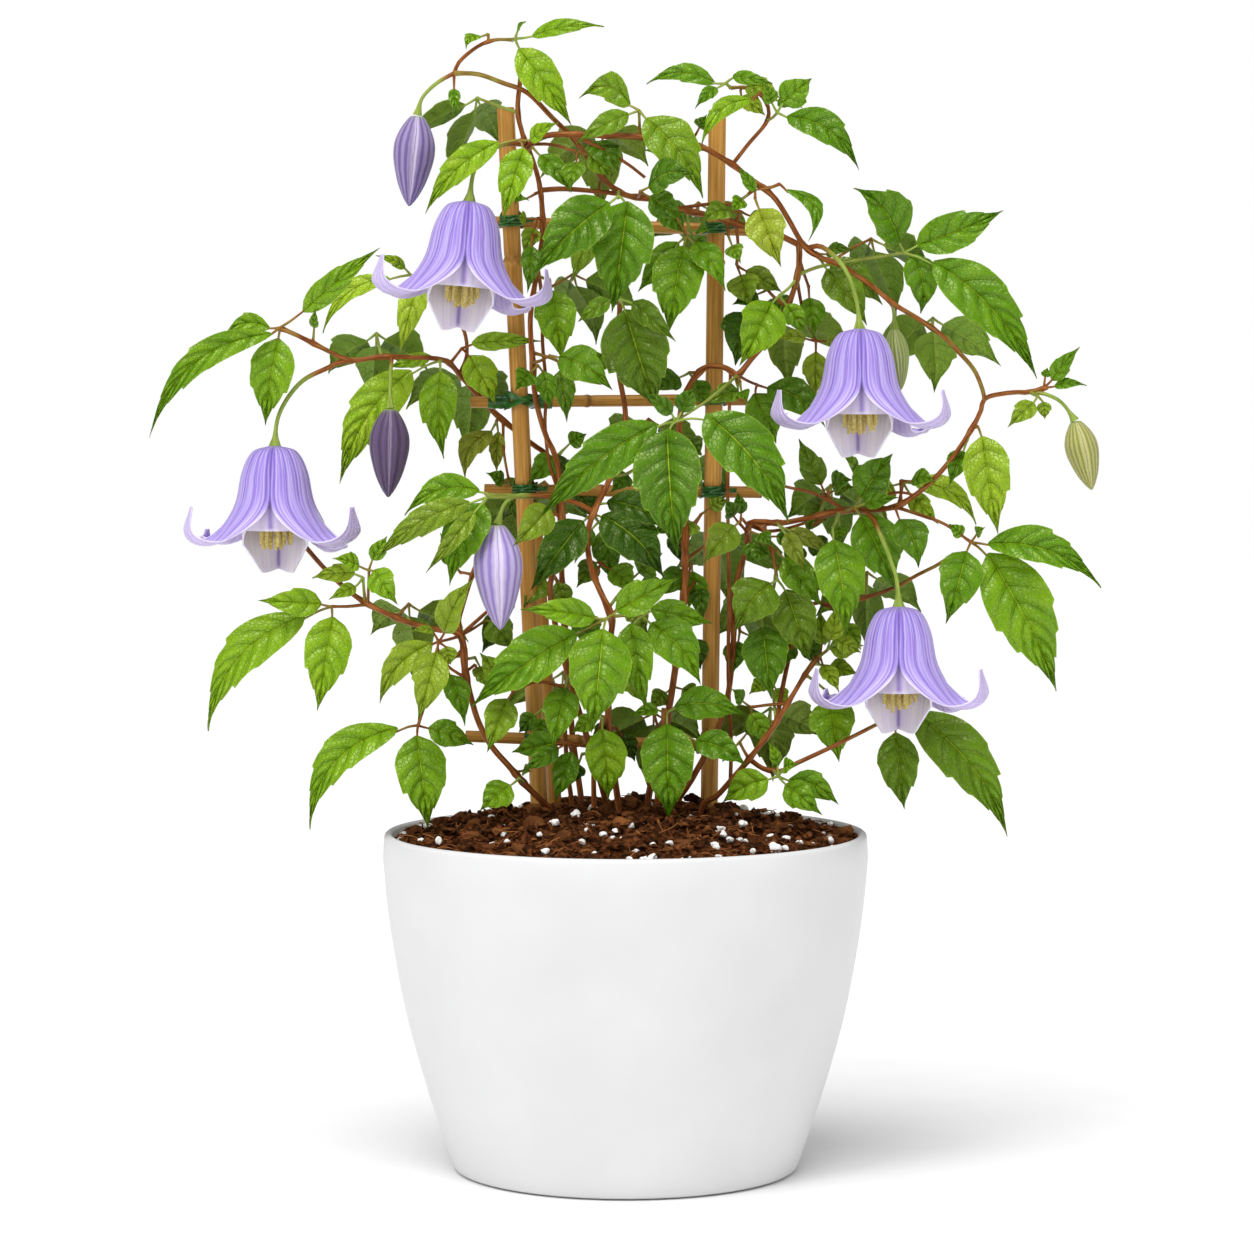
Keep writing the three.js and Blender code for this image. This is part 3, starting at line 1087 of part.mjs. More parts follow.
/** One sepal of a bell, a strip that follows the bell and then curls out and up. */
function sepal(front, left) {
  const place = (r, z, degrees) => {
    const a = (degrees * Math.PI) / 180;
    return [left * r * Math.cos(a), -front * r * Math.sin(a), z];
  };
  const rows = SEPAL.map(([r, z, bearing, half]) => [-1, 0, 1].map((s) => place(r, z, bearing + s * half)));
  const points = [];
  rows.forEach((row, k) => {
    const before = rows[Math.max(0, k - 1)][1];
    const after = rows[Math.min(rows.length - 1, k + 1)][1];
    const lift = mul(unit(cross(sub(after, before), sub(row[2], row[0]))), 0.5 * SEPAL_THICKNESS);
    points.push(row[0], add(row[1], lift), row[2], sub(row[1], lift));
  });
  const faces = [];
  for (let k = 0; k < rows.length - 1; k += 1) {
    for (let s = 0; s < 4; s += 1) {
      const [a, b] = [4 * k + s, 4 * k + ((s + 1) % 4)];
      faces.push([a, b, b + 4], [a, b + 4, a + 4]);
    }
  }
  const last = 4 * (rows.length - 1);
  faces.push([0, 2, 1], [0, 3, 2], [last, last + 1, last + 2], [last, last + 2, last + 3]);
  return meshOf(points, faces);
}

// The small crown that joins the sepals, as [radius, height over its foot], and where its foot is.
const CROWN = { foot: -2.6, profile: [[0, 0], [6.4, 0], [5, 1.9], [2.6, 2.6], [0, 2.6]] };

/** The bell's outside: four sepals joined under the stalk by a small crown. */
function bellOuter() {
  const crown = lathed([0, 0, CROWN.foot], [0, 0, 0], CROWN.profile, 8);
  return fuse([crown, sepal(1, -1), sepal(1, 1), sepal(-1, -1), sepal(-1, 1)]);
}

// The inner bell from its top as [radius, height], then its lower edge: high in front, where it
// shows as a flap, and low behind, where it narrows to a lobed cup.
const INNER = {
  sides: 8,
  thickness: 0.9,
  rows: [[4.6, -3.8], [10.4, -10], [13, -26]],
  mouth: 12.7,
  narrowing: 0.4,
  front: -35,
  drop: 17,
};

/** The pale inner bell. */
function bellInner() {
  const lowRow = (a, side) => {
    const back = 0.5 + 0.5 * Math.sin(a);
    const r = INNER.mouth * (1 - INNER.narrowing * Math.max(0, Math.sin(a)) ** 0.7) + side;
    const fall = Math.min(1, Math.max(0, (back - 0.3) / 0.55));
    return [r * Math.cos(a), r * Math.sin(a), INNER.front - INNER.drop * fall];
  };
  const points = [];
  for (const side of [0.5 * INNER.thickness, -0.5 * INNER.thickness]) {
    for (const [r, z] of INNER.rows) {
      for (let i = 0; i < INNER.sides; i += 1) {
        const a = ((i + 0.5) / INNER.sides) * Math.PI * 2;
        points.push([(r + side) * Math.cos(a), (r + side) * Math.sin(a), z]);
      }
    }
    for (let i = 0; i < INNER.sides; i += 1) {
      points.push(lowRow(((i + 0.5) / INNER.sides) * Math.PI * 2, side));
    }
  }
  const count = INNER.rows.length + 1;
  const faces = [];
  const band = (upper, lower) => {
    for (let i = 0; i < INNER.sides; i += 1) {
      const j = (i + 1) % INNER.sides;
      const [a, b] = [upper * INNER.sides + i, upper * INNER.sides + j];
      const [c, d] = [lower * INNER.sides + j, lower * INNER.sides + i];
      faces.push([a, c, b], [a, d, c]);
    }
  };
  for (let k = 0; k < count - 1; k += 1) {
    band(k, k + 1);
    band(count + k + 1, count + k);
  }
  band(count, 0);
  band(count - 1, 2 * count - 1);
  return meshOf(points, faces);
}

// The stamens: a core as [radius, height over its foot], and anthers that splay from it.
const STAMENS = {
  foot: -39,
  head: -3,
  core: [[0, 0], [4.4, 0], [5, 12], [1.8, 36], [0, 36]],
  count: 6,
  half: 0.9,
  start: [3, -30],
  splay: [5.6, 0.9],
  low: [-41.2, -1.6],
};

/** The stamens: a tapering core with a fringe of thin anthers. */
function stamenBunch() {
  const parts = [lathed([0, 0, STAMENS.foot], [0, 0, STAMENS.head], STAMENS.core, 6)];
  for (let i = 0; i < STAMENS.count; i += 1) {
    const a = ((i + 0.3) / STAMENS.count) * Math.PI * 2;
    const at = (r, z) => [r * Math.cos(a), r * Math.sin(a), z];
    const r = STAMENS.splay[0] + STAMENS.splay[1] * Math.sin(i * 2.4);
    const low = STAMENS.low[0] + STAMENS.low[1] * Math.sin(i * 1.7);
    parts.push(rod([at(...STAMENS.start), at(r, low)], STAMENS.half, 3, 1));
  }
  return fuse(parts);
}

/** Puts a bell's piece under its stalk. */
function hang(geometry, bell) {
  geometry.rotateZ((bell.swing * Math.PI) / 180);
  geometry.rotateY((bell.tilt * Math.PI) / 180);
  geometry.translate(...seen(...bell.top));
  return geometry;
}

// A bud as [radius in widths, height in lengths] from its top to its tip.
const BUD_PROFILE = [[0, 0], [0.17, 0.02], [0.36, 0.14], [0.5, 0.34], [0.47, 0.52], [0.33, 0.74],
  [0.12, 0.95], [0, 1]];
const BUD_GROOVE = 0.07;            // depth of the four grooves, as a share of the radius

/** A ribbed bud from its top to its tip. */
function budGeometry(bud) {
  const top = seen(...bud.top);
  const tip = seen(...bud.tip);
  const length = size(sub(tip, top));
  const profile = BUD_PROFILE.map(([r, h]) => [r * bud.width, h * length]);
  const geometry = lathed([0, 0, 0], [0, 0, 1], profile, 8);
  const p = geometry.getAttribute('position');
  for (let i = 0; i < p.count; i += 1) {
    const x = p.getX(i);
    const y = p.getY(i);
    const groove = 1 - BUD_GROOVE * (0.5 + 0.5 * Math.cos(4 * Math.atan2(y, x)));
    p.setXYZ(i, x * groove, y * groove, p.getZ(i));
  }
  const axis = new THREE.Vector3(...unit(sub(tip, top)));
  geometry.applyQuaternion(new THREE.Quaternion().setFromUnitVectors(new THREE.Vector3(0, 0, 1), axis));
  geometry.translate(...top);
  return geometry;
}

// ---------------------------------------------------------------- assembly

const MATERIALS = {
  pot: { color: 0xf0f0ee, roughness: 0.35 },
  soil: { color: 0x4a2c1a, roughness: 1 },
  bamboo: { color: 0xbc8a4c, roughness: 0.6 },
  tie: { color: 0x1f5b2c, roughness: 0.45 },
  leaf: { color: 0x5c9a24, roughness: 0.5 },
  petal: { color: 0xb49ae4, roughness: 0.55 },
  inner: { color: 0xdacfec, roughness: 0.6 },
  stamen: { color: 0xc9b45a, roughness: 0.7 },
  bud: { color: 0x8a76b2, roughness: 0.55 },
  bud_green: { color: 0x99a650, roughness: 0.55 },
};

const plant = new THREE.Group();

/** Adds a closed mesh to the plant as a named piece. */
function place(name, geometry, look) {
  const clean = outward(bare(geometry));
  clean.computeVertexNormals();
  const mesh = new THREE.Mesh(clean, new THREE.MeshStandardMaterial({ ...MATERIALS[look], metalness: 0 }));
  mesh.name = name;
  plant.add(mesh);
}

const canes = Object.entries(CANES).map(([name, { foot, head }]) => {
  const top = seen(...head, CANE.y);
  const low = seen(...foot, CANE.y);
  const t = (CANE.bottomZ - top[2]) / (low[2] - top[2]);
  return { name, foot: mix(top, low, t), head: top, radius: CANE.radius };
});
const stakeHead = seen(...STAKE_ENDS.head, STAKE.y);
const stakeLow = seen(...STAKE_ENDS.foot, STAKE.y);
canes.push({
  name: 'stake_back',
  foot: mix(stakeHead, stakeLow, (CANE.bottomZ - stakeHead[2]) / (stakeLow[2] - stakeHead[2])),
  head: stakeHead,
  radius: STAKE.radius,
});
const rungs = Object.entries(RUNGS).map(([name, [a, b]]) => (
  { name, a: seen(...a, RUNG_Y), b: seen(...b, RUNG_Y) }));

// The green flare of a bell's stalk, as [radius, height over the bell].
const RECEPTACLE = { height: 10, profile: [[0, 0], [4.6, 0], [1.5, 8], [0, 10]] };

const vines = Object.fromEntries(Object.entries(VINES).map(([name, vine]) => [name, layStems(vine)]));
const leaves = placeLeaves(vines, canes, rungs);

place('pot', turned([[0, 0], ...POT_SIDE, ...POT_INSIDE, [0, POT.floor]], POT.sides), 'pot');

// The soil with a plain hole for every cane and stem that stands in it.
const holes = canes.map((cane) => (
  rod([cane.foot, mix(cane.foot, cane.head, HOLE.reach)], cane.radius * BAMBOO.swell + HOLE.gap, 8, 1)));
for (const stems of Object.values(vines)) {
  const [buried, first, second] = stems.main.route;
  const foot = sub(buried, [0, 0, HOLE.gap]);
  holes.push(rod([foot, first, second], stems.main.r + HOLE.gap + HOLE.ease, 5, 3));
}
let soilBody = solid(soilGeometry());
for (const cut of holes) soilBody = soilBody.subtract(solid(cut));
place('soil', largest(soilBody), 'soil');

for (const cane of canes) {
  const joints = cane.name === 'stake_back' ? [0.62] : [0.34, 0.6, 0.84];
  place(cane.name, bamboo(cane.foot, cane.head, cane.radius, joints, CANE.sides), 'bamboo');
}
for (const rung of rungs) place(rung.name, bamboo(rung.a, rung.b, RUNG.radius,
  [0.42], RUNG.sides), 'bamboo');
for (const cane of canes.slice(0, 2)) {
  const side = cane.name === 'cane_left' ? 'left' : 'right';
  rungs.forEach((rung, i) => {
    const t = (cane.head[0] - rung.a[0]) / (rung.b[0] - rung.a[0]);
    const slant = i % 2 ? TIE.slant : -TIE.slant;
    place(`tie_${side}_${i + 1}`, tieLoop(cane, mix(rung.a, rung.b, t)[2], slant), 'tie');
  });
}

for (const [name, stems] of Object.entries(vines)) {
  const parts = [];
  for (const stem of Object.values(stems)) {
    parts.push(rod(stem.route, stem.r, STEM.sides, stem.steps));
    const end = stem.points.at(-1);
    if (stem.bell) parts.push(lathed(end, add(end, [0, 0, RECEPTACLE.height]), RECEPTACLE.profile, 6));
  }
  for (const leaf of leaves.filter((one) => one.vine === name)) {
    parts.push(...leafParts(leaf));
  }
  place(`vine_${name}`, fuse(parts), 'leaf');
}

for (const [key, bell] of Object.entries(BELLS)) {
  place(`bell_${key}_sepals`, hang(bellOuter(), bell), 'petal');
  place(`bell_${key}_inner`, hang(bellInner(), bell), 'inner');
  place(`bell_${key}_stamens`, hang(stamenBunch(), bell), 'stamen');
}
for (const [key, bud] of Object.entries(BUDS)) {
  place(`bud_${key}`, budGeometry(bud), Number(key) >= 4 ? 'bud_green' : 'bud');
}

export default plant;
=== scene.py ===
"""Looks of a bell-flowered clematis in a round pot, climbing a small bamboo trellis.

Lengths are millimetres and turned to metres where a mesh is made. The row frame is Z up, with the
front of the plant towards -Y and its origin under the middle of the pot. Places on the plant are
written as (x, z) in the middle plane, as they line up from EYE, with a depth y beside them.
"""

import logging
import math
from collections.abc import Callable, Iterable
from dataclasses import dataclass, field
from enum import Enum

import bpy
import numpy as np
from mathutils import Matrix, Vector
from mathutils.kdtree import KDTree


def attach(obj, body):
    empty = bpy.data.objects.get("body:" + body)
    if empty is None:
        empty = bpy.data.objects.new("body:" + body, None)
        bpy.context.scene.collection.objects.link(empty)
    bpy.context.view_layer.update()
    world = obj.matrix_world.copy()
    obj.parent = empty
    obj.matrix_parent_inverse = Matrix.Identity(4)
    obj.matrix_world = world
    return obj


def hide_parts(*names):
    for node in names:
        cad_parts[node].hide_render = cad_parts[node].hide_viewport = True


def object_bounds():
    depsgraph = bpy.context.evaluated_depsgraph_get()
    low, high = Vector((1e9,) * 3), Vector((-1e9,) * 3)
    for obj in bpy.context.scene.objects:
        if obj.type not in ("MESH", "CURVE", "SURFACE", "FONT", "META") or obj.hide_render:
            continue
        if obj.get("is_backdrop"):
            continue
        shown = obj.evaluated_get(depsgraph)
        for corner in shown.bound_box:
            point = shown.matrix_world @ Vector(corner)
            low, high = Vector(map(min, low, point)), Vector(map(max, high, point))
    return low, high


LOG = logging.getLogger("clematis")
MM = 0.001
EYE = np.array([0.0, -1600.0, 317.5])
UP = np.array([0.0, 0.0, 1.0])
Array = np.ndarray
Spot = tuple[float, ...]

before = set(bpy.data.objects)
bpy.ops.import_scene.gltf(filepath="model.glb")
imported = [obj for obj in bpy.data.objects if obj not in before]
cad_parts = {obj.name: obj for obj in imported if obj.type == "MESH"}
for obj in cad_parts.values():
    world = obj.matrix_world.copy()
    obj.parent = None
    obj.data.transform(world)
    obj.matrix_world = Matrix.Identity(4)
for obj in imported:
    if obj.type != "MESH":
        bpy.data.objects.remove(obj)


# ---------------------------------------------------------------- places, dice and curves


def seen(x: float, z: float, y: float) -> Array:
    """Slides a place of the middle plane along the line of sight to depth y.

    Args:
        x: Place to the right, in the middle plane.
        z: Height, in the middle plane.
        y: Depth to slide to.

    Returns:
        The point in the row frame.
    """
    k = (y - EYE[1]) / -EYE[1]
    return np.array([x * k, y, EYE[2] + (z - EYE[2]) * k])


def unit(arrow: Array) -> Array:
    """Returns the arrow at length 1, or a stack of arrows each at length 1."""
    return arrow / np.maximum(np.linalg.norm(arrow, axis=-1, keepdims=True), 1e-9)


def ease(value: Array, low: float, high: float) -> Array:
    """Returns 0 below low, 1 above high and a smooth rise between them."""
    t = np.clip((value - low) / (high - low), 0.0, 1.0)
    return t * t * (3 - 2 * t)


class Dice:
    """Seeded random numbers from 0 to 1, the same draw on every run."""

    def __init__(self, seed: int) -> None:
        """Starts the draw from a seed."""
        self.state = seed & 0xFFFFFFFF

    def __call__(self) -> float:
        """Draws the next number.

        Returns:
            A number from 0 to 1.
        """
        self.state = (self.state + 0x6D2B79F5) & 0xFFFFFFFF
        a = self.state
        t = ((a ^ (a >> 15)) * (a | 1)) & 0xFFFFFFFF
        t ^= (t + (t ^ (t >> 7)) * (t | 61)) & 0xFFFFFFFF
        return ((t ^ (t >> 14)) & 0xFFFFFFFF) / 4294967296

    def between(self, low: float, high: float) -> float:
        """Returns the next number, from low to high."""
        return low + (high - low) * self()


def curve(points: Iterable[Array], count: int) -> Array:
    """Draws a smooth curve through points.

    Args:
        points: Points of any dimension to pass through.
        count: Number of stretches to cut the curve into.

    Returns:
        count + 1 points, at equal steps of the curve's parameter.
    """
    p = np.array(list(points), float)
    padded = np.vstack([2 * p[0] - p[1], p, 2 * p[-1] - p[-2]])
    t = np.linspace(0, len(p) - 1, count + 1)
    i = np.minimum(t.astype(int), len(p) - 2)
    u = (t - i)[:, None]
    before, a, b, after = padded[i], padded[i + 1], padded[i + 2], padded[i + 3]
    leave = 0.5 * (b - before)
    arrive = 0.5 * (after - a)
    return (
        (2 * u**3 - 3 * u**2 + 1) * a
        + (u**3 - 2 * u**2 + u) * leave
        + (3 * u**2 - 2 * u**3) * b
        + (u**3 - u**2) * arrive
    )


def along_curve(points: Iterable[Array], spacing: float) -> Array:
    """Draws a smooth curve through points with even spacing between its samples.

    Args:
        points: Points of any dimension to pass through.
        spacing: About how far apart its samples are.

    Returns:
        The samples, the first and the last point among them.
    """
    fine = curve(points, 24 * (len(list(points)) - 1))
    steps = np.linalg.norm(np.diff(fine, axis=0), axis=1)
    way = np.concatenate([[0.0], np.cumsum(steps)])
    count = max(2, round(way[-1] / spacing))
    stops = np.linspace(0, way[-1], count + 1)
    return np.stack([np.interp(stops, way, fine[:, k]) for k in range(fine.shape[1])], axis=1)


def nearest(track: Array, x: float, z: float) -> Array:
    """Finds a stem's point at a place of the middle plane, as they line up from EYE.

    Args:
        track: Points along the stem.
        x: Place to the right, in the middle plane.
        z: Height, in the middle plane.

    Returns:
        The nearest of the stem's points.
    """
    k = (track[:, 1] - EYE[1]) / -EYE[1]
    gap = (track[:, 0] / k - x) ** 2 + (EYE[2] + (track[:, 2] - EYE[2]) / k - z) ** 2
    return track[int(np.argmin(gap))]


# ---------------------------------------------------------------- the plant's layout


@dataclass(frozen=True)
class Stem:
    """One stem of a vine: its radius, its path (x, z, y), and where on another stem it starts."""

    radius: float
    path: list[Spot]
    start: tuple[str, float, float] | None = None
    bell: int = 0
    bud: int = 0


@dataclass(frozen=True)
class Leaf:
    """A leaf: its stem, where it leaves it, its fork (x, z, y) and its blades.

    A blade is (base x, base z, tip x, tip z, width, bow). A bow bends a blade sideways.
    """

    on: str
    start: Spot
    fork: Spot
    blades: list[Spot]
    via: tuple[Spot, ...] = ()


@dataclass(frozen=True)
class BackLeaf:
    """A leaf of the sides or the back, which follows a rule: its bearing and its reach."""

    vine: str
    on: str
    start: Spot
    bearing: float
    reach: float


@dataclass(frozen=True)
class VinePlan:
    """The stems and leaves of one vine."""

    stems: dict[str, Stem]
    leaves: list[Leaf]


VINES: dict[str, VinePlan] = {
    "low_left": VinePlan(
        stems={
            "main": Stem(1.6, [(-31, 147, -2), (-34, 151, -4), (-41, 158, -8), (-48, 166, -11),
                (-55, 174, -14), (-60, 183, -16), (-63, 192, -17), (-66, 205, -18),
                (-68, 220, -18), (-78, 222.5, -17), (-88, 225, -15), (-98, 229, -13),
                (-106, 233, -11), (-112, 237, -8), (-118, 242, -4), (-125, 249, 4),
                (-131, 256, 12), (-137, 264, 18)]),
            "riser": Stem(1.1, [(-68.5, 226, -12), (-67, 232, -8), (-63, 245, -4), (-59, 258, -4),
                (-57, 270, -6)], start=("main", -68, 220)),
            "spur": Stem(1, [(-58, 229, -8), (-50, 236, -2), (-44, 243, 2)],
                start=("main", -68, 220)),
        },
        leaves=[
            Leaf("main", (-106, 233), (-121, 232, -14), [(-122, 233, -151, 234.5, 12),
                (-132, 228.5, -173, 181, 20, 0.1), (-120, 230, -127, 189, 20)]),
            Leaf("main", (-106, 233), (-105.5, 247, -12), [(-107, 248, -120, 252, 8),
                (-104.5, 249, -94, 233, 12), (-105, 250, -98, 261, 7)]),
            Leaf("main", (-107, 233.5), (-108, 244, -22), [(-109, 246, -129, 244, 9),
                (-111, 240, -122, 235, 6)]),
            Leaf("main", (-68, 220), (-77, 217.5, -24), [(-78, 219, -101.5, 192, 13, 0.12),
                (-77, 216, -85.5, 185, 15), (-75.5, 219, -63, 243.5, 13), (-79, 222, -88, 222, 4),
                (-74, 217, -72, 208, 8)]),
            Leaf("main", (-67.5, 215), (-85.5, 183, -14), [(-94, 182, -131, 140.5, 18, 0.14),
                (-86.5, 181, -81.5, 140, 22), (-84, 183, -62.5, 175, 12)], via=((-78, 203),)),
            Leaf("main", (-66, 202), (-74, 208, -8), [(-73, 206, -66, 183, 11)]),
            Leaf("main", (-66.5, 210), (-62, 211, -10), [(-61, 210, -56, 197, 10)]),
            Leaf("main", (-42, 159), (-44, 161, -18), [(-44, 161, -60, 148, 14)]),
        ],
    ),
    "left_cane": VinePlan(
        stems={
            "main": Stem(1.5, [(-8, 149, 3), (-12, 165, 0), (-18, 185, 0), (-24, 205, 1),
                (-29, 225, 2), (-31, 240, 1), (-28, 252, 0), (-26, 268, 0), (-28, 291, -1),
                (-33, 303, -2), (-37, 318, -3), (-38, 332, -3), (-39, 350, -3), (-36.5, 368, -2),
                (-34, 384, -2), (-34.5, 400, -3), (-37, 412, -4), (-41, 422, -4), (-44, 434, -4),
                (-43, 447, -4), (-42, 456, -2)]),
            "arm": Stem(1.45, [(-36, 423, -9), (-30, 425, -12), (-15, 425, -13), (0, 424.5, -13),
                (8, 424, -13), (20, 422, -13), (31, 420, -12), (37, 417, -11), (45, 412, -11),
                (52, 406, -12), (57, 403, -13), (62, 398, -14), (67, 390, -14), (73, 380, -14),
                (80, 375, -14), (88, 372, -14), (100, 364, -13), (110, 356, -12), (120, 350, -11),
                (130, 343, -10), (137, 336, -9), (143, 329, -8), (146.4, 321, -7)],
                start=("main", -42, 420)),
            "twig": Stem(1, [(50, 421, -9), (58, 431, -8), (57, 439, -8), (50, 444, -9),
                (43, 444, -10)], start=("arm", 44, 413)),
            "bell_1": Stem(1.1, [(-50, 421, -14), (-57, 417, -22), (-62, 410, -26),
                (-64.5, 399.5, -27)], start=("main", -42, 421), bell=1),
            "bell_3": Stem(1.1, [(80, 379.5, -17), (87, 374, -20), (92, 366, -21), (95, 355, -21),
                (96, 347, -21)], start=("arm", 74, 379), bell=3),
            "bud_5": Stem(0.9, [(110, 352, -5), (110, 346.5, 1)], start=("arm", 109, 356.5),
                bud=5),
        },
        leaves=[
            Leaf("main", (-42, 422), (-43, 423, -12), [(-52, 422, -82, 393, 12, 0.08),
                (-41, 421, -50, 391, 14), (-40, 422, -28, 430, 8)]),
            Leaf("main", (-42, 418), (-38, 420, -10), [(-37, 419, -22, 402, 10)]),
            Leaf("main", (-38, 386), (-38, 384, -12), [(-38, 383, -40, 361, 9)]),
            Leaf("main", (-41, 368), (-31, 366, -5), [(-31, 366, -26, 333, 18)]),
            Leaf("main", (-38, 332), (-31, 335, -22), [(-29, 336, -5.5, 321, 16, -0.08)]),
            Leaf("arm", (6, 424), (5.5, 435, -16), [(4, 437, -19, 440, 13, 0.28),
                (6, 435, 32, 400, 21, -0.04), (2, 434, -20, 422, 10)]),
            Leaf("twig", (43, 444), (41, 446, -11), [(38, 446, 8.5, 446, 9, 0.14),
                (38, 445, 28.5, 436, 6), (43, 449, 60, 446, 6)]),
            Leaf("twig", (57, 438), (55, 442, -14), [(53, 441, 31, 420, 8, 0.18)]),
            Leaf("twig", (58, 431), (62, 434, -10), [(62, 436, 76, 448, 13),
                (64, 434, 95.5, 411, 14, -0.12), (60, 437, 57, 446, 7)]),
            Leaf("arm", (53, 405), (53, 399, -18), [(53, 399, 63.5, 371.5, 17)]),
            Leaf("arm", (57, 403), (63, 405, -17), [(65, 405, 75, 382, 8, -0.3),
                (53, 402, 46, 412, 5)]),
            Leaf("arm", (76, 377.5), (80, 374, -4), [(82, 375, 105.5, 356, 14),
                (81, 372, 99, 348, 17)]),
            Leaf("arm", (30, 420), (26, 415, -22), [(25, 414, 8, 419, 9)]),
        ],
    ),
    "back_left": VinePlan(
        stems={
            "main": Stem(1.5, [(-18, 148, 14), (-20, 165, 25), (-22, 180, 27), (-24, 210, 28),
                (-26, 240, 28), (-27, 270, 27.5), (-30, 291, 27), (-40, 300, 26.5),
                (-52, 310, 26), (-60, 318, 26), (-67, 326, 24), (-73, 332.5, 16), (-80, 334, 10),
                (-88, 334.3, 6), (-100, 334.5, 2), (-113, 333, 0), (-120, 336, -2),
                (-128, 340, -6), (-136, 344, -8), (-141, 346, -8)]),
            "riser": Stem(1, [(-65, 336, 16), (-67, 347, 10), (-76, 358, 4), (-86, 367, 0)],
                start=("main", -68, 327)),
            "bell_2": Stem(1.1, [(-118, 332, -1), (-122, 330, -2), (-132, 325, -4),
                (-139, 317, -5), (-143, 308, -6), (-144, 299.5, -6)], start=("main", -113, 333),
                bell=2),
            "bud_2": Stem(0.9, [(-96.3, 328, -4), (-96.5, 321, -8), (-96.5, 313.5, -9)],
                start=("main", -96, 334.5), bud=2),
        },
        leaves=[
            Leaf("main", (-141, 346), (-141.5, 346.5, -9), [(-143, 346, -195.5, 301.5, 12, 0.16),
                (-142, 347, -165, 343, 8, 0.18), (-142, 344, -148, 306.5, 19),
                (-132, 353, -101, 379, 11)]),
            Leaf("main", (-128, 340), (-128, 342, -6), [(-128, 342, -127, 354, 4)]),
            Leaf("riser", (-86, 367), (-88, 368, 0), [(-97, 367, -124.5, 344.5, 9, 0.15),
                (-84, 366, -92.5, 336.5, 12), (-88, 370, -102, 376, 5)]),
            Leaf("main", (-75, 333), (-76, 333, 8), [(-88, 329, -117.5, 282.5, 20, 0.08),
                (-76, 331, -75, 293, 17), (-78, 335, -98, 330, 6)]),
            Leaf("main", (-72, 332), (-67, 338, 6), [(-65, 337, -53, 315, 15),
                (-63, 340, -34, 341, 8)]),
            Leaf("main", (-52, 310), (-53, 308, 22), [(-53, 308, -66, 284.5, 12, 0.15),
                (-52, 306, -53, 287, 7)]),
        ],
    ),
    "front": VinePlan(
        stems={
            "main": Stem(1.6, [(-3, 149, -8), (-5, 165, -12), (-7, 185, -14), (-8, 205, -17),
                (-6, 220, -19), (-6, 228, -20), (-12, 242, -18), (-15, 252, -17),
                (-15.5, 262, -16), (-13, 271, -16), (-8, 281, -14), (-3, 294, -11), (0, 310, -9),
                (-3, 330, -9), (-3, 345, -11), (-2, 358, -13)]),
            "bud_3": Stem(1.1, [(-20, 274.5, -18), (-30, 277, -22), (-40, 277.5, -27),
                (-46, 277, -30), (-50, 273.5, -32), (-52.5, 266, -32)], start=("main", -13, 271),
                bud=3),
        },
        leaves=[
            Leaf("main", (-6, 227), (-8, 227, -30), [(-10, 227, -43, 231, 12),
                (-20, 221, -64, 191, 22), (-9, 225, -14, 180, 27), (-4, 230, 22, 244, 14)]),
            Leaf("main", (-6, 228), (7, 228, -24), [(10, 231, 36, 225, 12), (9, 227, 31, 200, 19, -0.07),
                (2, 225, 8, 190, 16)]),
            Leaf("main", (-13, 271), (-14, 270, -14), [(-17, 268, -39, 239, 18),
                (-10, 270, 16, 244, 22, -0.05)]),
            Leaf("bud_3", (-43, 277.5), (-56, 278, -26), [(-60, 280, -91, 270, 13, 0.12),
                (-58, 276, -72.5, 241, 19, 0.05)]),
            Leaf("bud_3", (-40, 277.5), (-57, 277, -38), [(-64, 275, -103, 251, 12, 0.05),
                (-62, 271, -82, 246, 8)]),
            Leaf("bud_3", (-28, 277), (-28, 276, -24), [(-28, 276, -46, 257, 14)]),
            Leaf("main", (-2, 357), (-2, 358, -20), [(-1, 356, 13, 312, 29),
                (-6, 358, -19.5, 349, 8), (3, 357, 20.5, 341, 10)]),
        ],
    ),
    "right_cane": VinePlan(
        stems={
            "main": Stem(1.7, [(9, 149, 3), (12, 165, 2), (17, 185, 0), (21, 210, -1),
                (24, 235, -2), (24.5, 262, -2), (25, 285, -2), (22, 302, -3), (24, 318, -3),
                (30, 328, -3), (36, 331, -3.5), (42, 329.5, -4), (46, 327, -5), (51, 333, -5),
                (58, 341, -5), (64, 350, -5), (69, 362, -5), (71, 372, -5), (71, 381, -5)]),
            "arm": Stem(1.45, [(62, 384.5, -5), (55, 386.5, -4.5), (48, 388, -4), (35, 392, -4),
                (25, 394, -4), (18, 396, -4), (10, 399, -4.5), (0, 400.5, -5), (-8, 406, -5),
                (-15, 415, -5), (-22, 424, -5), (-30, 432, -7), (-40, 442, -10), (-50, 446, -12),
                (-60, 449.5, -12), (-70, 450, -12)], start=("main", 71, 380)),
            "twig": Stem(1, [(-67.5, 455, -11), (-60, 461, -10), (-53, 463.5, -10),
                (-46, 463.5, -10)], start=("arm", -70, 450)),
            "bud_1": Stem(0.9, [(-77, 446, -13), (-83, 440, -14), (-85, 433, -14)],
                start=("arm", -70, 450), bud=1),
        },
        leaves=[
            Leaf("main", (46, 327), (20.5, 308, -32), [(13, 307, -36, 268, 19, 0.05),
                (17, 305, 21, 253, 29), (33, 311, 67.5, 267, 26, -0.05), (21, 310, 8, 320, 7),
                (22, 310, 28, 322, 9)], via=((34, 317),)),
            Leaf("main", (46, 327), (54, 323, 12), [(57, 323, 82, 306, 16, -0.1),
                (52, 321, 62, 299, 17)]),
            Leaf("main", (45, 327.5), (46, 323, -10), [(48, 321, 31, 315, 9)]),
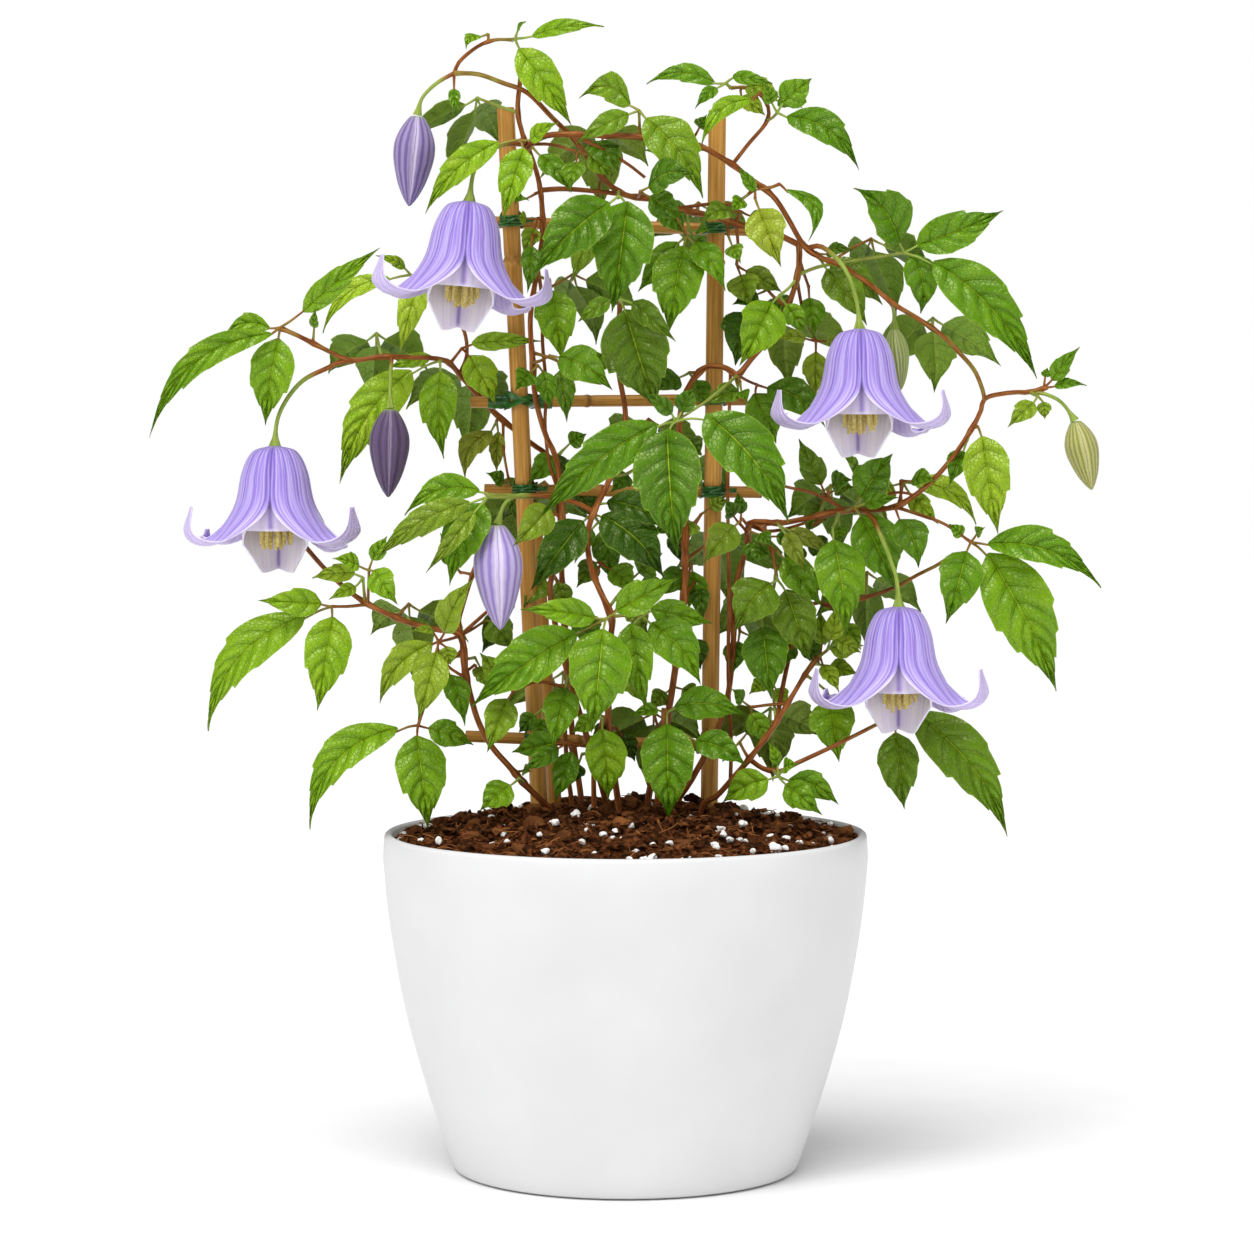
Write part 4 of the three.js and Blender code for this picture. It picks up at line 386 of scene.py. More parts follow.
            Leaf("main", (70.5, 366), (63, 359.5, -2), [(61, 359, 47, 331, 20),
                (65, 357, 74, 344, 9)]),
            Leaf("arm", (45, 389), (45.5, 372, 2), [(47, 371, 64, 361, 10),
                (46.5, 370, 51, 355, 14)], via=((46, 381),)),
            Leaf("arm", (42, 390), (42, 384, -8), [(42, 383, 47, 373, 8)]),
            Leaf("arm", (19, 396), (25, 384, -10), [(23, 383, 5, 361, 12),
                (24, 382, 17.5, 344, 22), (27, 383, 41, 362, 13)]),
            Leaf("arm", (5, 400), (6, 402, -14), [(6, 403, 28, 409, 16, -0.12), (8, 401, 23.5, 391, 12)]),
            Leaf("arm", (-3, 402), (-3, 400, -14), [(-5, 399, -38, 368, 23),
                (1, 398, -5.5, 352.5, 26)]),
            Leaf("arm", (-70, 450), (-70, 448, -12), [(-70, 448, -70, 433.5, 5)]),
            Leaf("twig", (-46, 463.5), (-45, 464, -10), [(-38, 465, -9, 469.5, 8),
                (-45, 462, -22, 429, 16), (-46, 465, -41, 471, 3)]),
            Leaf("twig", (-56, 463), (-56, 466, -10), [(-57, 467, -65, 460, 5, 0.2)]),
            Leaf("main", (71, 374), (75, 363, 3), [(75, 361, 77, 342, 11)]),
            Leaf("main", (70, 366), (78, 341, 3), [(78, 340, 78, 318, 11), (76, 342, 60, 343, 6),
                (80, 341, 88, 341, 5)], via=((73, 352),)),
            Leaf("main", (70.5, 368), (114, 377, -4), [(113, 380, 94, 403.5, 22, 0.08),
                (119, 380, 154.5, 394.5, 17, 0.05), (118, 377, 121, 352, 15, -0.08),
                (126, 373.5, 169, 326, 22, -0.05)], via=((80, 371.5), (95, 374))),
        ],
    ),
    "right_low": VinePlan(
        stems={
            "main": Stem(1.5, [(21, 149, 4), (27, 160, 2), (35, 175, 1), (41, 190, 3),
                (43.5, 205, 8), (44.5, 220, 10), (44.5, 235, 10), (47, 247, 7), (50, 257, 3),
                (51, 266, 0), (57, 266.5, -2), (65, 266.5, -3), (73, 268, -4), (82, 270, -4),
                (90, 271.5, -4), (103, 272, -5), (111, 273, -6), (117, 276.5, -6), (123, 281, -6),
                (130, 288, -6), (137, 297, -6), (142, 305, -6), (145.5, 311.5, -6),
                (147, 317, -6), (152, 319, -6), (160, 320, -7), (166, 320, -8), (173, 322, -8)]),
            "droop": Stem(0.9, [(56, 264.5, -3), (59.5, 257, -6), (61.5, 249, -8),
                (62, 244, -9)], start=("main", 51, 266)),
            "twig": Stem(0.9, [(84, 275.5, -2), (76, 279, 2), (67, 281, 6), (60, 283, 10)],
                start=("main", 90, 271.5)),
            "bud_4": Stem(0.9, [(172, 319.3, -9), (178, 316.5, -9), (182, 312, -9),
                (184.3, 308.3, -9)], start=("main", 166, 320), bud=4),
            "bell_4": Stem(1.1, [(101, 269, -12), (105, 261, -20), (109, 251, -25),
                (111.5, 243, -26), (112.5, 233, -26)], start=("main", 97, 271.6), bell=4),
        },
        leaves=[
            Leaf("main", (51, 265), (48, 268, -8), [(47, 268, 32, 250, 14)]),
            Leaf("main", (50.5, 262), (51, 263, -4), [(51, 262, 53, 250, 9),
                (54, 263, 60, 257, 7)]),
            Leaf("main", (62, 266.5), (63, 265.5, -10), [(64, 265, 85, 254, 8),
                (66, 262, 74, 246, 8)]),
            Leaf("droop", (62, 244), (62.5, 243, -14), [(61, 244, 45, 222, 21, 0.05),
                (66, 239, 76, 209, 19)]),
            Leaf("droop", (60, 256), (62, 255, -10), [(63, 255, 81, 232, 14)]),
            Leaf("droop", (62, 245), (56, 228, -4), [(56, 227, 60, 194, 20)], via=((60, 236),)),
            Leaf("main", (90, 271.5), (94, 273, -10), [(95, 274, 109.5, 295, 17),
                (96, 274, 112, 277, 7), (96, 271, 111, 239, 21)]),
            Leaf("main", (88, 271), (85, 264, -14), [(85, 263, 91, 220, 22)]),
            Leaf("main", (87, 271), (87.5, 269, -8), [(88, 269, 88, 259, 7)]),
            Leaf("twig", (84, 275.5), (82, 278, -4), [(82, 279, 71, 301, 11),
                (81, 276, 74, 262, 11), (86, 280, 94, 281, 8)]),
            Leaf("main", (111, 273), (111, 272, -12), [(111, 271.5, 120.5, 248, 15, -0.1)]),
            Leaf("main", (112, 273.5), (114, 283, -2), [(112, 283, 104, 279, 10),
                (117, 284, 144.5, 266, 11, -0.12), (117, 278, 128.5, 266, 9)]),
            Leaf("main", (111, 273), (142, 258.5, -8), [(140, 259.5, 133, 266, 6),
                (142, 260, 147.5, 264.5, 5), (141, 258, 132, 225, 19),
                (149, 258, 196, 240.5, 17, -0.08), (149, 254, 178, 197, 28)], via=((120, 270),
                (131, 266))),
            Leaf("main", (142, 305), (144.5, 306, -9), [(146, 304, 153, 262, 20)]),
            Leaf("main", (170, 321), (171.5, 322, -8), [(171, 323, 173, 330, 4),
                (174, 324, 186, 338.5, 8), (175, 322.5, 189, 323, 5)]),
            Leaf("main", (166, 320), (169, 318.5, -12), [(170, 318, 157, 306, 9),
                (171.5, 318, 172, 309, 6)]),
        ],
    ),
    "lower_right": VinePlan(
        stems={
            "main": Stem(1.5, [(31, 148, -6), (38, 154, -8), (45, 162, -10), (51, 169, -12),
                (60, 181, -12), (68, 194, -8), (74, 204, -2), (79, 211, 1)]),
            "reach": Stem(1.2, [(57, 165, -10), (64, 164, -10), (70, 167, -9), (85, 174, -7),
                (97, 180, -5), (106, 184.5, -2), (111, 186, 1)], start=("main", 51, 169)),
            "arm": Stem(1.2, [(66, 205, 6), (71, 225, 9), (78, 233.5, 9), (84, 232.5, 8),
                (98, 235.5, 6), (111, 240, 5), (120, 245, 5), (128, 249, 7), (134, 253, 10)],
                start=("main", 62, 184)),
        },
        leaves=[
            Leaf("main", (79, 211), (80, 212, 0), [(81, 216, 80, 231, 8), (84, 215, 98, 216, 10),
                (81, 208, 88, 197, 8)]),
            Leaf("main", (77, 208), (80, 208, -6), [(84, 208, 96, 204, 8)]),
            Leaf("main", (74, 204), (83, 197, 0), [(84, 197, 88, 168, 20)]),
            Leaf("main", (66, 192), (52, 190.5, -6), [(50, 190, 60, 175, 10),
                (49, 192, 44, 198, 7)]),
            Leaf("reach", (61, 164), (63, 162, -20), [(61, 162, 40, 151, 14, 0.08),
                (66, 161, 88, 150, 12, -0.12), (66, 158.5, 81, 146, 12), (64, 165, 71, 167, 7),
                (63, 166, 59, 176, 5)]),
            Leaf("reach", (110, 186), (111, 184.5, 1), [(111, 183, 115, 148, 18),
                (119, 188, 158, 137, 23, -0.07)]),
        ],
    ),
    "crown_right": VinePlan(
        stems={
            "main": Stem(1.4, [(13, 148, -12), (13.5, 165, -16), (15, 180, -18), (16, 190, -19)]),
        },
        leaves=[
            Leaf("main", (16, 189), (17, 188, -22), [(20, 191, 50, 187, 15, -0.08),
                (17, 184, 18, 143, 23), (14, 190, 2, 187, 6)]),
            Leaf("main", (15, 176), (25, 179, -20), [(26, 178, 50, 166, 13, -0.08)]),
        ],
    ),
    "crown_left": VinePlan(
        stems={
            "main": Stem(1.4, [(-13, 148, -13), (-13, 165, -16), (-11, 178, -18), (-9, 187, -19)]),
        },
        leaves=[
            Leaf("main", (-9, 186), (-9.5, 186, -22), [(-10, 184, -7, 152, 18),
                (-12, 187, -22, 180, 8)]),
            Leaf("main", (-12, 174), (-24, 176, -20), [(-26, 176, -47, 172, 12),
                (-27, 174, -43, 164, 8), (-22, 172, -29, 152, 11)]),
        ],
    ),
    "inner_left": VinePlan(
        stems={
            "main": Stem(1.3, [(-22, 148, -1), (-24, 165, -4), (-25, 185, -7), (-24, 203, -8)]),
        },
        leaves=[
            Leaf("main", (-24, 202), (-24, 203, -14), [(-24, 202, -30, 173.5, 15)]),
            Leaf("main", (-24, 199), (-46, 197, -12), [(-48, 196, -57, 172, 14),
                (-49, 199, -60, 213, 11)], via=((-36, 201),)),
        ],
    ),
}

BACK_LEAVES: list[BackLeaf] = [
    BackLeaf("left_cane", "main", (-26, 268), 120, 26),
    BackLeaf("left_cane", "main", (-41, 360), 66, 30),
    BackLeaf("left_cane", "main", (-44, 434), 120, 26),
    BackLeaf("left_cane", "arm", (-8, 425), 85, 24),
    BackLeaf("left_cane", "arm", (84, 373), 60, 26),
    BackLeaf("left_cane", "arm", (125, 346), 85, 18),
    BackLeaf("back_left", "main", (-24, 200), 110, 20),
    BackLeaf("back_left", "main", (-27, 272), 100, 20),
    BackLeaf("back_left", "main", (-60, 318), 95, 20),
    BackLeaf("back_left", "main", (-100, 334.5), 90, 20),
    BackLeaf("front", "main", (-1, 300), 80, 44),
    BackLeaf("right_cane", "main", (15, 178), 85, 40),
    BackLeaf("right_cane", "main", (24.5, 250), 70, 42),
    BackLeaf("right_cane", "main", (25, 285), 95, 44),
    BackLeaf("right_cane", "main", (62, 347), 80, 26),
    BackLeaf("right_cane", "arm", (28, 394), 80, 30),
    BackLeaf("right_low", "main", (44, 225), 60, 22),
    BackLeaf("right_low", "main", (80, 270), 85, 22),
    BackLeaf("lower_right", "main", (58, 178), 75, 26),
    BackLeaf("lower_right", "arm", (98, 235.5), 85, 22),
    BackLeaf("low_left", "main", (-94, 227), 90, 22),
]

# Small leaves that fill the gaps and have no solid of their own, by vine.
LOOSE_LEAVES: dict[str, list[Leaf]] = {
    "low_left": [
        Leaf("main", (-68, 220), (-58, 226, -6), [(-56, 228, -46, 214, 13)]),
        Leaf("spur", (-50, 236), (-46, 232, 2), [(-47, 231, -59, 213, 13, 0.06)]),
        Leaf("main", (-66, 205), (-62, 208, -14), [(-62, 208, -57, 199, 5)]),
        Leaf("main", (-67, 212), (-72, 211, -12), [(-72, 211, -79, 212, 7)]),
        Leaf("main", (-45, 163), (-44, 164, -10), [(-45, 165, -39, 164, 5)]),
        Leaf("riser", (-63, 245), (-68, 246, 4), [(-69, 247, -76, 262, 9)]),
    ],
    "left_cane": [
        Leaf("main", (-35, 402), (-37, 401, -6), [(-37, 401, -45, 397, 8, 0.2)]),
        Leaf("main", (-34, 391), (-36, 391, -4), [(-36, 391, -44, 391, 6), (-36, 389, -42, 376, 8)]),
        Leaf("main", (-34, 386), (-33, 383, -2), [(-33, 383, -32, 374, 6)]),
        Leaf("main", (-39, 422), (-20, 418, -13), [(-19, 417, -23, 402, 10), (-15, 417, -5, 408, 9)],
            via=((-30, 421),)),
        Leaf("arm", (-20, 424.6), (-17, 424, -8), [(-15, 424, -3, 410, 13, -0.06)]),
        Leaf("main", (-37, 330), (-36, 331, -8), [(-37, 331, -45, 321, 10), (-34, 331, -31, 313, 9)]),
        Leaf("main", (-37, 336), (-28, 333, -1), [(-27, 332, -24, 308, 10)]),
        Leaf("twig", (50, 444), (47, 444, -8), [(46, 445, 63, 440, 9, -0.1), (46, 441, 57, 433, 8)]),
        Leaf("twig", (57, 438), (58, 440, -6), [(59, 440, 72, 436, 8, -0.1)]),
        Leaf("arm", (76, 377.5), (78, 377, -2), [(80, 376, 93, 378, 6, -0.1)]),
        Leaf("arm", (28, 420), (28, 424, -10), [(28, 424, 33, 433, 6)]),
        Leaf("arm", (52, 406), (51, 402, -8), [(50, 401, 43, 394, 7)]),
    ],
    "back_left": [
        Leaf("main", (-30, 291), (-26, 296, 16), [(-27, 296, -40, 283, 11), (-25, 298, -16, 303, 8)]),
        Leaf("main", (-27, 275), (-22, 282, 18), [(-21, 283, -12, 268, 12), (-24, 284, -30, 296, 9)]),
        Leaf("main", (-50, 308), (-48, 284, 16), [(-48, 282, -57, 287, 7), (-47, 281, -45, 268, 6)],
            via=((-50, 296),)),
        Leaf("main", (-26, 240), (-30, 246, 16), [(-31, 246, -42, 232, 12), (-29, 244, -24, 229, 10)]),
        Leaf("main", (-25, 226), (-20, 232, 16), [(-19, 231, -12, 213, 13)]),
    ],
    "front": [
        Leaf("main", (-13, 271), (-11, 267, 4), [(-10, 267, -6, 242, 13), (-13, 266, -21, 250, 8)]),
        Leaf("main", (-6, 232), (2, 243, 4), [(3, 244, 15, 254, 12), (4, 242, 17, 240, 8)],
            via=((-2, 238),)),
        Leaf("main", (-2, 284), (3, 288, 4), [(3, 289, -6, 279, 9)]),
        Leaf("main", (-13, 271), (-11, 274, -8), [(-9, 276, 19, 262, 13, -0.1)]),
        Leaf("main", (-6, 228), (1, 236, -12), [(2, 236, 9, 221, 11)]),
        Leaf("main", (-13, 245), (-10, 250, -6), [(-9, 250, 3, 238, 13, -0.06), (-12, 252, -20, 240, 10)]),
        Leaf("main", (-2, 296), (-4, 300, 0), [(-5, 300, -15, 287, 11), (-2, 301, 6, 290, 10)]),
        Leaf("main", (-3, 335), (-6, 338, 0), [(-7, 338, -17, 327, 11), (-4, 339, 6, 330, 10)]),
        Leaf("main", (-8, 205), (-2, 209, -8), [(-1, 209, 9, 191, 12)]),
    ],
    "right_cane": [
        Leaf("main", (30, 328), (26, 328, 2), [(25, 328, 12, 320, 11, 0.08), (28, 327, 33, 314, 10)]),
        Leaf("main", (24, 300), (22, 304, 4), [(23, 303, 31, 294, 10), (20, 303, 12, 291, 10)]),
        Leaf("main", (46, 327), (47, 324, -8), [(46, 323, 50, 316, 6)]),
        Leaf("main", (58, 341), (52, 357, 8), [(52, 356, 45, 331, 20, 0.04), (54, 357, 67, 348, 13)],
            via=((55, 350),)),
        Leaf("main", (66, 355), (58, 362, 4), [(56, 361, 44, 356, 9), (59, 361, 66, 352, 10)]),
        Leaf("main", (24, 235), (27, 250, 8), [(28, 250, 26, 231, 13), (25, 248, 12, 236, 11)]),
        Leaf("main", (24.5, 262), (21, 268, 2), [(21, 267, 23, 250, 10), (20, 266, 12, 262, 7)]),
        Leaf("main", (24, 238), (29, 243, 10), [(30, 243, 32, 226, 9)]),
        Leaf("main", (24.5, 258), (31, 270, 6), [(31, 270, 22, 260, 10), (33, 272, 42, 276, 8)]),
        Leaf("main", (21, 210), (25, 222, 8), [(24, 222, 12, 214, 11), (26, 222, 31, 206, 12)]),
        Leaf("main", (17, 185), (20, 199, 6), [(19, 199, 10, 190, 9), (21, 200, 29, 194, 9)]),
        Leaf("arm", (45, 389), (47, 394, -8), [(46, 395, 31, 389, 10, 0.1), (48, 393, 57, 390, 6)]),
        Leaf("arm", (25, 394), (26, 386, -6), [(27, 387, 34, 386, 6), (28, 383, 32, 380, 5)]),
        Leaf("arm", (8, 399.4), (14, 397, 0), [(15, 396, 24, 385, 11)]),
        Leaf("arm", (-10, 408), (-12, 396, 4), [(-12, 395, -22, 365, 15), (-10, 394, -5, 372, 12)],
            via=((-11, 402),)),
    ],
    "right_low": [
        Leaf("main", (47, 247), (47, 222, 14), [(47, 221, 44, 204, 11), (49, 222, 58, 214, 9)],
            via=((46, 236),)),
        Leaf("main", (50, 262), (47, 266, -2), [(46, 266, 41, 276, 8), (48, 268, 46, 279, 6)]),
        Leaf("main", (57, 266), (58, 261, -6), [(57, 261, 53, 250, 8), (60, 262, 69, 258, 7)]),
        Leaf("twig", (84, 275.5), (83, 280, -2), [(82, 281, 93, 284, 9, -0.1)]),
        Leaf("main", (95, 272), (97, 283, -4), [(97, 283, 88, 295.5, 5, 0.1)]),
        Leaf("main", (113, 274.5), (113, 284, -3), [(114, 284, 127, 283, 8, -0.15)]),
        Leaf("main", (84, 270), (72, 262, 4), [(72, 261, 66, 248, 11), (74, 261, 84, 252, 10)],
            via=((78, 266),)),
        Leaf("main", (104, 272), (106, 268, 6), [(107, 267, 112, 250, 13), (104, 267, 97, 254, 12)]),
        Leaf("droop", (61.5, 249), (68, 246, -2), [(69, 246, 83, 238, 10, -0.08)]),
        Leaf("main", (142, 305), (140, 300, 0), [(140, 299, 133, 282, 10)]),
    ],
    "lower_right": [
        Leaf("main", (79, 211), (83, 214, -2), [(84, 216, 86, 232, 9, 0.06), (87, 218, 97, 213, 8)]),
        Leaf("arm", (84, 232.5), (88, 228, 10), [(89, 228, 97, 214, 8), (86, 227, 82, 216, 7)]),
        Leaf("main", (62, 184), (60, 202, 6), [(60, 201, 66, 191, 8), (58, 202, 51, 196, 7)],
            via=((61, 194),)),
        Leaf("main", (51, 169), (47, 176, -4), [(46, 176, 40, 168, 8), (48, 178, 55, 184, 7)]),
        Leaf("arm", (71, 225), (70, 221, 12), [(69, 220, 62, 206, 11), (72, 220, 80, 208, 10)]),
    ],
    "crown_left": [
        Leaf("main", (-11, 178), (-4, 182, -10), [(-3, 182, 4, 168, 9), (-6, 184, -14, 174, 9)]),
        Leaf("main", (-12, 172), (-18, 171, -10), [(-18, 170, -23, 158, 8)]),
    ],
    "inner_left": [
        Leaf("main", (-24, 199), (-20, 205, -2), [(-19, 205, -12, 193, 9)]),
        Leaf("main", (-25, 185), (-34, 190, -4), [(-35, 190, -44, 180, 9), (-34, 188, -36, 174, 8)]),
    ],
}
# Thin stems that have no solid of their own, by vine.
LOOSE_STEMS: dict[str, list[Stem]] = {
    "left_cane": [
        Stem(1.3, [(-34.5, 402.5, -3), (-25, 403, -4), (-12, 402, -5), (-1, 400.7, -5)]),
        Stem(0.9, [(-21, 424.4, -12), (-9, 419, -12), (1, 413, -12), (8, 407.6, -12)]),
        Stem(1.0, [(-36, 372, 2), (-34, 356, 3), (-34, 340, 3), (-32.5, 322, 3), (-33, 306, 3),
            (-31, 290, 3), (-25, 272, 4)]),
    ],
    "right_cane": [
        Stem(0.9, [(22, 395.2, -4), (34, 396.8, -1), (44, 397, -5), (52, 402, -9)]),
        Stem(1.0, [(43, 152, 5), (43.5, 175, 5), (42.3, 205, 6), (42.6, 240, 6), (42, 275, 5.5),
            (42.4, 305, 4), (43, 328, -3)]),
    ],
    "right_low": [
        Stem(0.9, [(52, 265, 0), (58, 263, -1), (66, 264, -2), (74, 266.5, -3)]),
        Stem(0.8, [(99, 275, -4), (104, 277, -4), (112, 279, -5), (118, 278, -6)]),
    ],
}

# Bells: the top as (x, z, y), a lean to the side and a turn about the upright, in degrees.
BELLS = {
    1: ((-64, 398.5, -27), 5, 4),
    2: ((-144, 298.5, -6), 0, -3),
    3: ((96, 346.5, -21), 0, 0),
    4: ((112.5, 232.5, -26), 0, -4),
}
# Buds: the top and the tip as (x, z, y), and the width.
BUDS = {
    1: ((-85, 432.5, -14), (-88.5, 396, -15), 17),
    2: ((-96.5, 313, -9), (-97.5, 277, -10), 16.5),
    3: ((-53, 265.5, -32), (-51.5, 222.5, -33), 20),
    4: ((184.5, 308, -9), (191.5, 280, -8), 13.5),
    5: ((110, 346, 1), (113, 321, 3), 10),
}
# How far behind the middle plane the bamboo stands, and the height of the uprights' feet in the mix.
CANE_DEPTH = 12.0
STAKE_DEPTH = 30.0
RUNG_DEPTH = 18.5
CANE_BOTTOM = 45.0
# The two ends of each cane, of the stake and of each rung, as (x, z).
CANES = {"cane_left": ((-35.5, 147), (-49, 436)), "cane_right": ((34.5, 147), (37.5, 435))}
STAKE = ((-29, 147), (-37, 262))
RUNGS = {
    "rung_1": ((-55, 389.5), (55, 386)),
    "rung_2": ((-63.5, 316), (50, 317)),
    "rung_3": ((-58, 280), (56, 279)),
    "rung_4": ((-66, 178.5), (44, 174)),
}
# The pot's profile from its foot up over its lip and down to its floor, as (radius, height).
POT_FOOT = [(69.5, 0), (70.3, 0.25), (71.1, 0.8)]
POT_OUTSIDE = [(71.6, 1.6), (82, 33), (91, 66), (97.3, 102), (100, 129)]
POT_LIP = [(99.5, 137.5), (99.15, 138.4), (98.5, 138.95), (97.6, 139.1), (96.7, 138.85), (96.0, 138.1)]
POT_INSIDE = [(95.3, 129), (92.6, 100), (86.4, 66), (77.4, 33), (66.5, 5)]


# ---------------------------------------------------------------- patterns and meshes


def clear_selection() -> None:
    """Leaves no object selected."""
    for piece in bpy.context.selected_objects:
        piece.select_set(False)


class Pattern:
    """A mesh modelled once by operators, whose copies are bent into place.

    Every vertex has two grid places and a side: (u, v, side). Every corner of a face has its own
    u and v, so that a pattern that closes round a rod has no seam in them.
    """

    def __init__(self, piece: bpy.types.Object) -> None:
        """Takes the mesh of a piece and removes the piece.

        Args:
            piece: The piece that was modelled.
        """
        mesh = piece.data
        points = np.empty(3 * len(mesh.vertices))
        mesh.vertices.foreach_get("co", points)
        self.points = points.reshape(-1, 3)
        self.faces = [tuple(face.vertices) for face in mesh.polygons]
        self.corners = np.array([v for face in self.faces for v in face])
        self.sizes = np.array([len(face) for face in self.faces])
        bpy.data.objects.remove(piece)
        self.u = self.points[:, 0]
        self.v = self.points[:, 1]
        self.side = self.points[:, 2]
        self.corner_uv = np.stack([self.u[self.corners], self.v[self.corners]], axis=1)

    @classmethod
    def sheet(cls, columns: int, rows: int) -> "Pattern":
        """Models a flat slab: u from -1 to 1 across, v from 0 to 1 along, side -1 or 1.

        Args:
            columns: Faces across it.
            rows: Faces along it.

        Returns:
            The pattern.
        """
        clear_selection()
        bpy.ops.mesh.primitive_grid_add(x_subdivisions=columns, y_subdivisions=rows, size=2)
        piece = bpy.context.object
        wall = piece.modifiers.new("wall", "SOLIDIFY")
        wall.thickness = 2.0
        wall.offset = 0.0
        bpy.ops.object.modifier_apply(modifier=wall.name)
        pattern = cls(piece)
        pattern.v = 0.5 + 0.5 * pattern.v
        pattern.side = np.sign(pattern.side)
        pattern.corner_uv[:, 1] = pattern.v[pattern.corners]
        return pattern

    @classmethod
    def rod(cls, sides: int, rings: int, shell: bool = False) -> "Pattern":
        """Models a round rod: u from 0 to 1 around, v from 0 to 1 along.

        Args:
            sides: Faces around it.
            rings: Stretches along it.
            shell: Whether it is an open tube with a wall, side -1 inside and 1 outside.

        Returns:
            The pattern.
        """
        clear_selection()
        fill = "NOTHING" if shell else "TRIFAN"
        bpy.ops.mesh.primitive_cylinder_add(vertices=sides, radius=1, depth=1, end_fill_type=fill)
        piece = bpy.context.object
        ends = piece.data.vertices
        if rings > 1:
            bpy.ops.object.mode_set(mode="EDIT")
            bpy.ops.mesh.select_mode(type="EDGE")
            bpy.ops.mesh.select_all(action="DESELECT")
            bpy.ops.object.mode_set(mode="OBJECT")
            for edge in piece.data.edges:
                low, high = (ends[i].co.z for i in edge.vertices)
                edge.select = abs(low - high) > 0.5
            bpy.ops.object.mode_set(mode="EDIT")
            bpy.ops.mesh.subdivide(number_cuts=rings - 1)
            bpy.ops.object.mode_set(mode="OBJECT")
        if shell:
            wall = piece.modifiers.new("wall", "SOLIDIFY")
            wall.thickness = 0.1
            wall.offset = 0.0
            bpy.ops.object.modifier_apply(modifier=wall.name)
        pattern = cls(piece)
        reach = np.hypot(pattern.points[:, 0], pattern.points[:, 1])
        pattern.side = np.sign(reach - 1) if shell else (reach > 0.5).astype(float)
        pattern.u = np.arctan2(pattern.points[:, 1], pattern.points[:, 0]) / math.tau % 1.0
        pattern.v = 0.5 + pattern.points[:, 2]
        turn = pattern.u[pattern.corners]
        first = np.concatenate([[0], np.cumsum(pattern.sizes)[:-1]])
        widest = np.repeat(np.maximum.reduceat(turn, first), pattern.sizes)
        turn = np.where(widest - turn > 0.5, turn + 1, turn)
        pattern.corner_uv = np.stack([turn, pattern.v[pattern.corners]], axis=1)
        return pattern


class Heap:
    """Bent copies of patterns, gathered into one mesh."""

    def __init__(self) -> None:
        """Starts an empty heap."""
        self.points: list[Array] = []
        self.faces: list[tuple[int, ...]] = []
        self.uvs: list[Array] = []
        self.tints: list[Array] = []
        self.looks: list[int] = []
        self.count = 0

    def add(
        self,
        pattern: Pattern,
        points: Array,
        uv: Array,
        tint: Array,
        look: int = 0,
    ) -> None:
        """Adds one copy.

        Args:
            pattern: The pattern that was bent.
            points: Where its vertices went, in millimetres.
            uv: UV of every corner.
            tint: Four numbers for every vertex, or the same four for all.
            look: Index of the finish it takes.
        """
        start = self.count
        self.points.append(points)
        self.faces.extend(tuple(start + v for v in face) for face in pattern.faces)
        self.uvs.append(uv)
        self.tints.append(np.broadcast_to(tint, (len(points), 4)))
        self.looks.extend([look] * len(pattern.faces))
        self.count += len(points)

    def piece(self, name: str, finishes: list[bpy.types.Material]) -> bpy.types.Object:
        """Makes the piece.

        Args:
            name: Its name.
            finishes: Its materials, in the order of the looks.

        Returns:
            The object, at the origin with its place in its mesh.
        """
        mesh = bpy.data.meshes.new(name)
        mesh.from_pydata((np.concatenate(self.points) * MM).tolist(), [], self.faces)
        layer = mesh.uv_layers.new(name="surface")
        layer.data.foreach_set("uv", np.concatenate(self.uvs).astype(np.float32).ravel())
        tint = mesh.attributes.new("tint", "FLOAT_COLOR", "POINT")
        tint.data.foreach_set("color", np.concatenate(self.tints).astype(np.float32).ravel())
        for finish in finishes:
            mesh.materials.append(finish)
        mesh.polygons.foreach_set("material_index", self.looks)
        mesh.update()
        piece = bpy.data.objects.new(name, mesh)
        bpy.context.collection.objects.link(piece)
        smooth(piece, 42)
        return piece


def smooth(piece: bpy.types.Object, degrees: float) -> None:
    """Shades a piece smooth, with an edge kept wherever it turns sharply.

    Args:
        piece: The piece.
        degrees: How far a surface turns at an edge that is kept.
    """
    clear_selection()
    piece.select_set(True)
    bpy.context.view_layer.objects.active = piece
    bpy.ops.object.shade_smooth_by_angle(angle=math.radians(degrees))


def triangles(piece: bpy.types.Object) -> int:
    """Counts the triangles of a piece."""
    return sum(len(face.vertices) - 2 for face in piece.data.polygons)


RODS: dict[tuple[int, int, bool], Pattern] = {}


def rod_pattern(sides: int, rings: int, shell: bool = False) -> Pattern:
    """Returns a rod pattern, modelled when first asked for.

    Args:
        sides: Faces around it.
        rings: Stretches along it.
        shell: Whether it is an open tube with a wall.

    Returns:
        The pattern.
    """
    key = (sides, rings, shell)
    if key not in RODS:
        RODS[key] = Pattern.rod(*key)
    return RODS[key]


